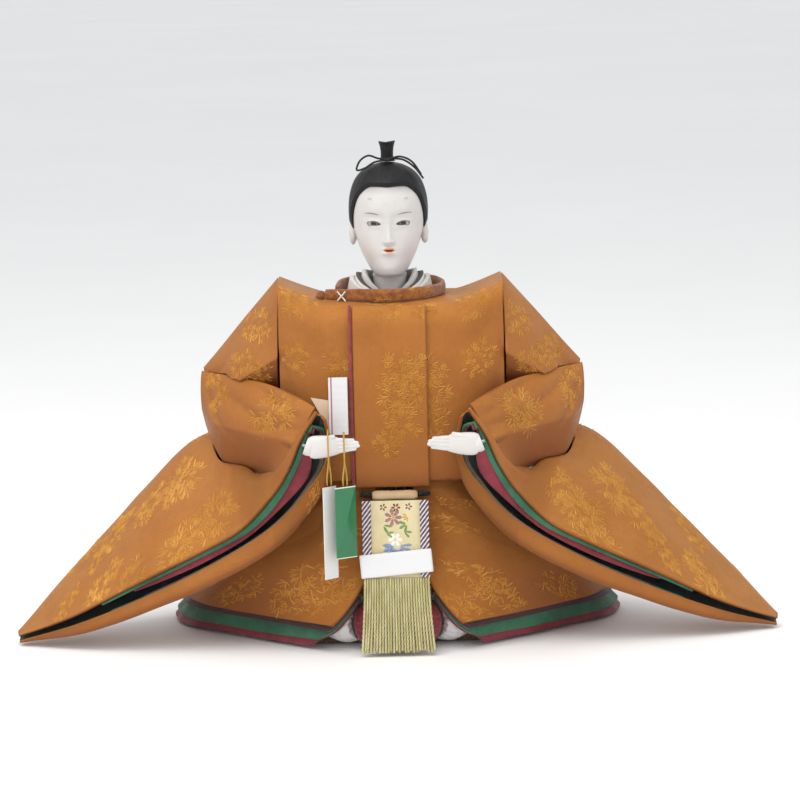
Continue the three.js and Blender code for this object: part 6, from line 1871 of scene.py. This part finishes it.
for name, node, body, material, slot, width in (
    ("folded_paper_packet", "folded_paper", "pocket_paper", packet, "white_paper", 0.3),
    ("backing_sheet_paper", "paper_backing_sheet", "pocket_paper", backing, "backing_paper", 0.08),
    ("white_tag_card_paper", "white_tag", "white_tag_card", white_card, "white_paper", 0.08),
    ("green_tag_card_paper", "green_tag", "green_tag_card", green_card, "green_card", 0.08),
):
    softened(name, node, body, material, width)

# %% [markdown]
# ## What is inside
# Under the silk the doll is humble: a bundle of rice straw wrapped at the waist with kraft paper, wood-wool stuffing
# round it, a bent steel wire for the arms and a wooden block on a board to sit on. All of it keeps its real shape,
# and the materials are plain wood, straw, paper and steel. The board's wood is painted dark, as the shade under
# the skirts' hem.

# %% Plain materials
def grained(name, light, dark, stretch, scale, roughness, lift, metallic=0.0):
    """Wood, paper or metal: a stretched noise as its grain, in object space."""
    material, tree = principled(name)
    place = tree.place()
    drawn = tree.stretched(place, stretch)
    grain = tree.noise(drawn, scale, 5.0)
    mask = tree.ramp(grain, 0.35, 0.65)
    tree.surface(Base_Color=tree.blend(mask, paint(dark), paint(light)),
                 Roughness=tree.ramp(grain, 0.3, 0.7, roughness + 0.08, roughness - 0.05), Metallic=metallic)
    tree.raise_by(grain, lift)
    return material


wood = grained("pale_wood", "E6DCCB", "CFC0A8", (12.0, 1.0, 12.0), 60.0, 0.6, 0.00005)
# The board's wood is painted dark as the shade that lies under the skirts' hem.
shaded_board_wood = grained("shaded_board_wood", "75624A", "5A4933", (12.0, 1.0, 12.0), 60.0, 0.7, 0.00005)
kraft = grained("kraft_paper", "B58B5C", "9C744A", (1.0, 1.0, 4.0), 900.0, 0.8, 0.00004)
steel = grained("steel_wire", "A9ABAE", "85878B", (1.0, 1.0, 8.0), 700.0, 0.35, 0.00001, 1.0)
leather = grained("black_lacquered_cloth", "222024", "0E0D10", (1.0, 1.0, 1.0), 1500.0, 0.4, 0.00004)
straw_stalk = grained("rice_straw", "D9C283", "A88A4A", (1.0, 1.0, 0.05), 1500.0, 0.5, 0.00004)
for node, material in (("base_board", shaded_board_wood), ("seat_block", wood), ("head_stick", wood), ("core_binding", kraft),
                       ("wrist_tube_left", kraft), ("wrist_tube_right", kraft), ("arm_wire", steel),
                       ("waist_belt", leather)):
    only_material(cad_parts[node].data, material)
for wire in hand_wires:
    only_material(wire.data, steel)

# %% The straw core and the stuffing
core_low, core_high = box_mm("straw_core")
core_middle, core_half = (core_low + core_high) / 2, (core_high - core_low) / 2
chance = np.random.default_rng(52)
STALK, WIRE_ROOM = 1.25, 1.7
STICK_Y, STICK_ROOM, STICK_FOOT = -7, 2.9, 95.3
wire_points = smooth_line(arm_wire_line, 240)
stalks = []
for row in range(-12, 13):
    for column in range(-12, 13):
        x, y = (column + 0.5 * (row % 2)) * STALK * 2.04, row * STALK * 1.77
        if (x / (core_half[0] - STALK)) ** 2 + (y / (core_half[1] - STALK)) ** 2 > 1:
            continue
        x, y = x + core_middle[0] + chance.uniform(-0.08, 0.08), y + core_middle[1] + chance.uniform(-0.08, 0.08)
        bottom, top = core_low[2] + chance.uniform(0.05, 0.8), core_high[2] - chance.uniform(0.05, 1.2)
        near_wire = np.hypot(wire_points[:, 0] - x, wire_points[:, 1] - y)
        if math.hypot(x, y - STICK_Y) < STICK_ROOM + STALK:
            top = STICK_FOOT
        elif near_wire.min() < WIRE_ROOM + STALK:
            top = min(top, wire_points[near_wire < WIRE_ROOM + STALK][:, 2].min() - WIRE_ROOM)
        stalks.append([(x, y, bottom), (x + chance.uniform(-0.1, 0.1), y, (bottom + top) / 2), (x, y, top)])
core = strands_piece("straw_core_stalks", stalks, STALK, 0.82, 2, straw_stalk)
dress(core, "straw_core", ROOT)


def tangled(points):
    """Stuffing packed against the cloth: soft lumps and the fibres that lie over them."""
    lumps = 0.5 + 0.5 * np.sin(points[:, 0] * 0.42 + 1.7 * np.sin(points[:, 2] * 0.23) + points[:, 1] * 0.31)
    fibres = 0.5 + 0.5 * np.sin(points[:, 2] * 1.9 + 2.4 * np.sin(points[:, 0] * 0.8) + points[:, 1] * 1.1)
    return 0.1 + 0.55 * lumps + 0.35 * fibres + 2.6 * ((87 - points[:, 2]) / 5).clip(0, 1)


wadding = gathered_piece("torso_wadding_fibre", "torso_wadding", wadding_fibre, 0.9, 1, tangled)
dress(wadding, "torso_wadding", ROOT)
print("stalks", len(stalks), "wadding faces", len(wadding.data.polygons))

# %% [markdown]
# ## Figures woven in gold
# The robe's brocade carries round clusters of bamboo leaves and small blossoms in gold thread. The thread stands a
# little proud of the ground, which is what catches the light, so each leaf is a low ridge of its own. Each cluster
# is composed once from fans of leaves, its place is found by looking from the camera onto the cloth, and the leaf
# is then repeated on the surface by one node tree that reads each leaf's turn and size.

# %% A leaf and the tree that repeats it
LEAF = [(0.5, 0, 0), (0.18, 0.5, 0), (-0.28, 0.38, 0), (-0.5, 0, 0), (-0.28, -0.38, 0), (0.18, -0.5, 0), (0.24, 0, 1),
        (-0.3, 0, 0.75)]
LEAF_FACES = [(1, 6, 0), (2, 7, 6, 1), (3, 7, 2), (4, 7, 3), (5, 6, 7, 4), (0, 6, 5), (0, 5, 4, 3, 2, 1)]
leaf = mesh_object("leaf_shape", np.array(LEAF) * 1000, LEAF_FACES, smooth=False)
turn_outward(leaf)

figure_tree, tree, given = geometry_tree(
    "woven_leaves", ("Places", "Geometry"), ("Leaf", "Object"), ("Material", "Material"), ("Leaves", "Geometry"))
one_leaf = tree.add("GeometryNodeObjectInfo", Object=given["Leaf"]).outputs["Geometry"]
turn, size = (tree.add("GeometryNodeInputNamedAttribute", {"data_type": "FLOAT_VECTOR"}, Name=name).outputs["Attribute"]
              for name in ("turn", "size"))
rotation = tree.add("FunctionNodeEulerToRotation", Euler=turn).outputs[0]
points = tree.add("GeometryNodeMeshToPoints", Mesh=given["Places"]).outputs[0]
repeated = tree.add("GeometryNodeInstanceOnPoints", Points=points, Instance=one_leaf, Rotation=rotation,
                    Scale=size).outputs["Instances"]
tree.add("NodeGroupOutput", Leaves=real_and_dressed(tree, repeated, given["Material"]))


class Ground:
    """Finds points of a cloth from its flat map, and points of the flat map from a ray."""

    def __init__(self, cloth):
        net = cloth.net
        if cloth.flat.shape[1] == net.shape[1] + 1:
            net = np.concatenate([net, net[:, :1]], axis=1)
        rows, columns = net.shape[:2]
        quads = quads_of(rows, columns)
        self.corners = np.vstack([quads[:, [0, 1, 2]], quads[:, [0, 2, 3]]])
        self.points = [Vector(p) for p in net.reshape(-1, 3)]
        self.flat = [Vector((u, v, 0)) for u, v in cloth.flat.reshape(-1, 2)]
        corners = self.corners.tolist()
        self.solid_tree = BVHTree.FromPolygons(self.points, corners)
        self.flat_tree = BVHTree.FromPolygons(self.flat, corners)
        cut = cloth.piece.data
        self.made = BVHTree.FromPolygons([v.co * 1000 for v in cut.vertices], [tuple(f.vertices) for f in cut.polygons])

    def away(self, place):
        return self.solid_tree.find_nearest(place)[1]

    def carried(self, place, index, start, end):
        """A place on one triangle of the start points, carried to the same triangle of the end points."""
        corners = self.corners[index]
        return barycentric_transform(place, *(start[k] for k in corners), *(end[k] for k in corners))

    def hit(self, origin, direction):
        place, _, index, distance = self.solid_tree.ray_cast(Vector(origin), Vector(direction))
        if place is None:
            return None
        return distance, self.carried(place, index, self.points, self.flat)

    def lay(self, u, v):
        place, _, index, _ = self.flat_tree.ray_cast(Vector((u, v, 5)), Vector((0, 0, -1)))
        if place is None:
            return None
        place = self.carried(place, index, self.flat, self.points)
        return place if self.made.find_nearest(place, 0.4)[0] is not None else None


def cluster(chance, radius, fans, leaves, blossoms):
    """Leaves as (u, v, turn, length, width) inside a circle: fans that spread outwards, with blossoms between."""
    shapes = []
    starts = []
    for k in range(fans):
        reach = radius * 0.74 * ((k + 0.1) / fans) ** 0.62
        angle = k * 2.4 + chance.uniform(-0.25, 0.25)
        starts.append((reach * math.cos(angle), reach * math.sin(angle)))
    for u, v in starts:
        heading = math.atan2(v, u) + chance.uniform(-1.4, 1.4)
        spread = chance.uniform(2.2, 3.4)
        for k in range(leaves):
            angle = heading + spread * (k / (leaves - 1) - 0.5) + chance.uniform(-0.12, 0.12)
            length = radius * 0.5 * chance.uniform(0.55, 0.9)
            start = 0.05 * radius
            reach = start + length / 2
            shapes.append((u + reach * math.cos(angle), v + reach * math.sin(angle), angle, length, length * 0.19))
    for k in range(blossoms):
        angle = chance.uniform(0, 6.28)
        reach = radius * chance.uniform(0.3, 0.85)
        u, v = reach * math.cos(angle), reach * math.sin(angle)
        for petal in range(5):
            turned = angle + petal * TURN / 5
            shapes.append((u + 0.85 * math.cos(turned), v + 0.85 * math.sin(turned), turned, 1.5, 1.15))
    return shapes


def lay_shapes(ground, shapes, lift):
    """Where each shape lies: its place, turn and size, or nothing where the cloth ends."""
    laid = []
    for u, v, angle, length, width in shapes:
        c, s = math.cos(angle) * length * 0.5, math.sin(angle) * length * 0.5
        spots = [ground.lay(u + du, v + dv) for du, dv in ((0, 0), (c, s), (-c, -s), (-s * 0.5, c * 0.5))]
        if any(spot is None for spot in spots):
            continue
        middle, tip, base, beside = spots
        ahead = tip - base
        if not 0.5 * length < ahead.length < 1.6 * length:
            continue
        ahead = ahead.normalized()
        away = ahead.cross(beside - middle).normalized()
        if away.dot(ground.away(middle)) < 0:
            away = -away
        side = away.cross(ahead)
        matrix = Matrix((ahead, side, away)).transposed()
        centre = (tip + base + middle) / 3
        laid.append((centre - away * 0.06, matrix.to_euler(), (length, width, lift)))
    return laid


def figures_piece(name, laid, material, body):
    shape = bpy.data.meshes.new(name)
    shape.from_pydata([tuple(place / 1000) for place, _, _ in laid], [], [])
    turns = shape.attributes.new("turn", "FLOAT_VECTOR", "POINT")
    turns.data.foreach_set("vector", [v for _, turn, _ in laid for v in turn])
    sizes = shape.attributes.new("size", "FLOAT_VECTOR", "POINT")
    sizes.data.foreach_set("vector", [v / 1000 for _, _, size in laid for v in size])
    piece = grown_piece(name, shape, figure_tree, material, Leaf=leaf)
    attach(piece, body)
    return piece


print("tree", figure_tree.name, "nodes", len(figure_tree.nodes))

# %% Clusters on the robe
CLUSTERS = [  # where each cluster's middle shows in the picture, and its radius in millimetres
    (400, 370, 11), (426, 372, 11), (396, 396, 11), (430, 398, 11), (413, 384, 10), (404, 420, 11), (431, 423, 10),
    (388, 442, 8), (297, 299, 11), (476, 299, 11), (384, 306, 9), (424, 308, 7), (295, 358, 9), (340, 364, 9),
    (478, 358, 10), (257, 325, 12), (240, 367, 11), (262, 374, 8), (514, 318, 12), (529, 363, 10), (552, 348, 11),
    (272, 413, 14), (522, 410, 14), (215, 390, 11), (572, 386, 11),
    (183, 480, 15), (215, 515, 14), (110, 540, 14), (100, 590, 13), (180, 545, 14), (66, 605, 10), (150, 505, 12),
    (130, 580, 12), (613, 487, 15), (580, 510, 14), (600, 540, 13), (705, 580, 14), (660, 545, 12), (690, 530, 11),
    (735, 605, 10), (560, 485, 12), (640, 515, 11), (307, 577, 13), (290, 600, 11), (330, 596, 13), (480, 577, 13),
    (460, 606, 12), (500, 594, 12), (438, 522, 12), (350, 535, 10), (240, 590, 12), (560, 585, 12), (455, 503, 8),
    (312, 508, 9), (388, 296, 7), (420, 292, 6),
]
FANS_A_MM, LEAVES_A_FAN, BLOSSOMS = 1.25, 7, 6
FIGURE_HIGH, EMBROIDERY_HIGH = 0.32, 0.26
grounds = {
    "robe": Ground(robe), "panel": Ground(panel), "skirt": Ground(skirts["outer_skirt"]), "collar": Ground(collar),
}
for _, name in SIDES:
    for part in ("forearm", "upper", "wing"):
        grounds[f"{part}_{name}"] = Ground(sleeves[name][part])

PICTURE_SIZE = 800
focal = camera_data.lens / camera_data.sensor_width * PICTURE_SIZE
eye = np.array(camera.matrix_world.translation) * 1000
rays = []
for px, py, radius in CLUSTERS:
    towards = -camera_away + camera_right * (px - PICTURE_SIZE / 2) / focal
    towards -= camera_up * (py - PICTURE_SIZE / 2) / focal
    rays.append((eye, unit(towards), radius))
chance = np.random.default_rng(64)
for height in (16, 40, 64, 92, 118, 146):
    for x in np.arange(-168, 169, 28):
        x = x + (14 if height in (40, 92, 146) else 0) + chance.uniform(-3, 3)
        rays.append(((x, 900, height + chance.uniform(-3, 3)), (0, -1, 0), chance.uniform(10.5, 13.5)))
laid = {name: [] for name in grounds}
chance = np.random.default_rng(19)
for origin, direction, radius in rays:
    shapes = cluster(chance, radius, int(radius * FANS_A_MM), LEAVES_A_FAN, BLOSSOMS)
    hits = {name: ground.hit(origin, direction) for name, ground in grounds.items()}
    hits = {name: hit for name, hit in hits.items() if hit}
    if not hits:
        continue
    nearest = min(hit[0] for hit in hits.values())
    for name, (distance, flat) in hits.items():
        if distance < nearest + 4:
            moved = [(u + flat.x, v + flat.y, *rest) for u, v, *rest in shapes]
            laid[name] += lay_shapes(grounds[name], moved, FIGURE_HIGH)
for name, spots in laid.items():
    if spots:
        figures = figures_piece(f"gold_figures_{name}", spots, brocade_thread, ROOT)
        print(name, len(spots), "leaves and petals")

# %% Embroidery on the sash
def petals(u, v, count, start, length, width, spread=TURN, heading=0.0):
    """Petals or leaves round a middle, or fanned out where the spread is less than a turn."""
    shapes = []
    for k in range(count):
        angle = heading + (spread * k / count if spread > 6 else spread * (k / max(count - 1, 1) - 0.5))
        reach = start + length / 2
        shapes.append((u + reach * math.cos(angle), v + reach * math.sin(angle), angle, length, width))
    return shapes


EMBROIDERY = {  # light and dark tone, then flowers: across, down, petals, start, length, width, spread, heading
    "russet": ("8E4A38", "5C2A24", [
        (-6, 3.1, 5, 0.3, 1.6, 1.2), (0, 3.4, 6, 0.3, 2.1, 1.4), (6, 3.0, 5, 0.3, 1.6, 1.2)]),
    "mauve": ("B08484", "8A5A5C", [(-1.4, 8.0, 7, 0.5, 4.2, 2.4)]),
    "ochre": ("D8B04E", "B78A2E", [(5.6, 7.4, 4, 0.4, 2.6, 1.1, 1.8, 2.6), (-1.4, 8.0, 5, 0.0, 1.2, 0.8)]),
    "leaf": ("86A05A", "5C7A3C", [
        (-6.2, 11.6, 2, 0.2, 4.6, 1.9, 0.9, 0.6), (5.0, 11.2, 3, 0.2, 4.4, 1.8, 1.6, 2.6),
        (-5, 15.4, 2, 0.2, 4.0, 1.5, 0.6, 0.2), (3.5, 14.6, 2, 0.2, 4.2, 1.6, 0.7, 0.5),
        (-3.4, 27.4, 2, 0.2, 4.2, 1.7, 0.8, 2.7), (5.6, 26.6, 2, 0.2, 4.4, 1.6, 0.6, -0.5)]),
    "white": ("FBF9F4", "E4E0D8", [(-0.6, 18.6, 6, 0.4, 3.3, 2.2)]),
    "blue": ("94A6C4", "64789C", [(0.2, 21.6, 9, 1.0, 6.6, 2.2, 3.3, math.pi / 2)]),
}
panel_ground = Ground(sash_panel)
for name, (light, dark, flowers) in EMBROIDERY.items():
    shapes = [shape for flower in flowers for shape in petals(*flower)]
    spots = lay_shapes(panel_ground, shapes, EMBROIDERY_HIGH)
    silk = fibrous(f"embroidery_{name}", dark, light, 3800.0, 3.0, 0.4, lift=0.00004, stretch=(1.0, 1.0, 0.25),
                   span=(0.35, 0.65), sheen=0.3)
    embroidery = figures_piece(f"sash_embroidery_{name}", spots, silk, "sash")
    print(name, len(spots), "of", len(shapes), "petals")
bpy.data.objects.remove(leaf)

# %% The braid that ties the roll
braid_silk, tree = principled("black_braid")
glints = tree.add("ShaderNodeTexVoronoi", Vector=tree.place(), Scale=1500.0).outputs["Distance"]
tree.surface(Base_Color=tree.blend(tree.ramp(glints, 0.05, 0.3), paint("6E6E74"), paint("0B0B0D")), Roughness=0.35)
tree.raise_by(glints, 0.0001)
braid_lines = []
for side in (-1, 1):
    for ply in range(4):
        shares = np.linspace(0, 1, 60)
        x = roll_middle[0] + side * (roll_half + 0.5 + 5.2 * shares)
        wide = 1.15 * (0.55 + 0.45 * np.sin(np.pi * (0.25 + 0.7 * shares)))
        angle = ply * math.pi / 2 + shares * 7.0
        braid_lines.append(np.stack([x, roll_middle[1] + 0.25 + wide * np.cos(angle) * 0.8,
                                     roll_middle[2] + 0.5 + wide * np.sin(angle)], axis=1))
braid = strands_piece("roll_braid_silk", braid_lines, 0.55, 0.6, 260, braid_silk)
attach(braid, ROOT)
print("braid faces", len(braid.data.polygons))

# %% [markdown]


# %% [markdown]
# ## Floor and light
# The doll sits on one large pale floor that fills the view behind it as well. Soft light from the whole room sets
# the plain level, a broad lamp above and in front models the folds, and two weak ones lift the sides.

# %% Floor, room light and lamps
floor_material, tree = principled("studio_floor")
floor_place = tree.place()
floor_tone = use_group(tree, tone_group, Place=floor_place, Scale=1.5)["Mask"]
tree.surface(Base_Color=tree.blend(floor_tone, paint("FAFAFA"), paint("FDFDFD")), Roughness=0.85)
floor = mesh_object("studio_floor", [(-9000, -3000, 0), (9000, -3000, 0), (9000, 16000, 0), (-9000, 16000, 0)],
                    [(0, 1, 2, 3)], [floor_material], smooth=False)

world = bpy.data.worlds.new("studio_room")
world.use_nodes = True
room = world.node_tree.nodes["Background"]
room.inputs["Color"].default_value = (0.98, 0.99, 1.0, 1.0)
room.inputs["Strength"].default_value = 0.8
bpy.context.scene.world = world
bpy.context.scene.view_settings.view_transform = "Standard"


def soft_lamp(name, place, aim, width, height, power, colour=(1.0, 0.98, 0.95)):
    data = bpy.data.lights.new(name, "AREA")
    data.shape = "RECTANGLE"
    data.size, data.size_y = width, height
    data.energy = power
    data.color = colour
    lamp = add_object(name, data)
    direction = Vector(aim) - Vector(place)
    lamp.matrix_world = Matrix.Translation(place) @ direction.to_track_quat("-Z", "Y").to_matrix().to_4x4()


soft_lamp("lamp_above", (-0.25, -0.45, 1.25), (0, 0, 0.08), 1.0, 0.7, 8.0)
soft_lamp("lamp_left", (-1.1, -0.7, 0.6), (0, 0, 0.1), 0.6, 0.9, 2.6)
soft_lamp("lamp_right", (1.1, -0.6, 0.7), (0, 0, 0.1), 0.6, 0.9, 2.2)
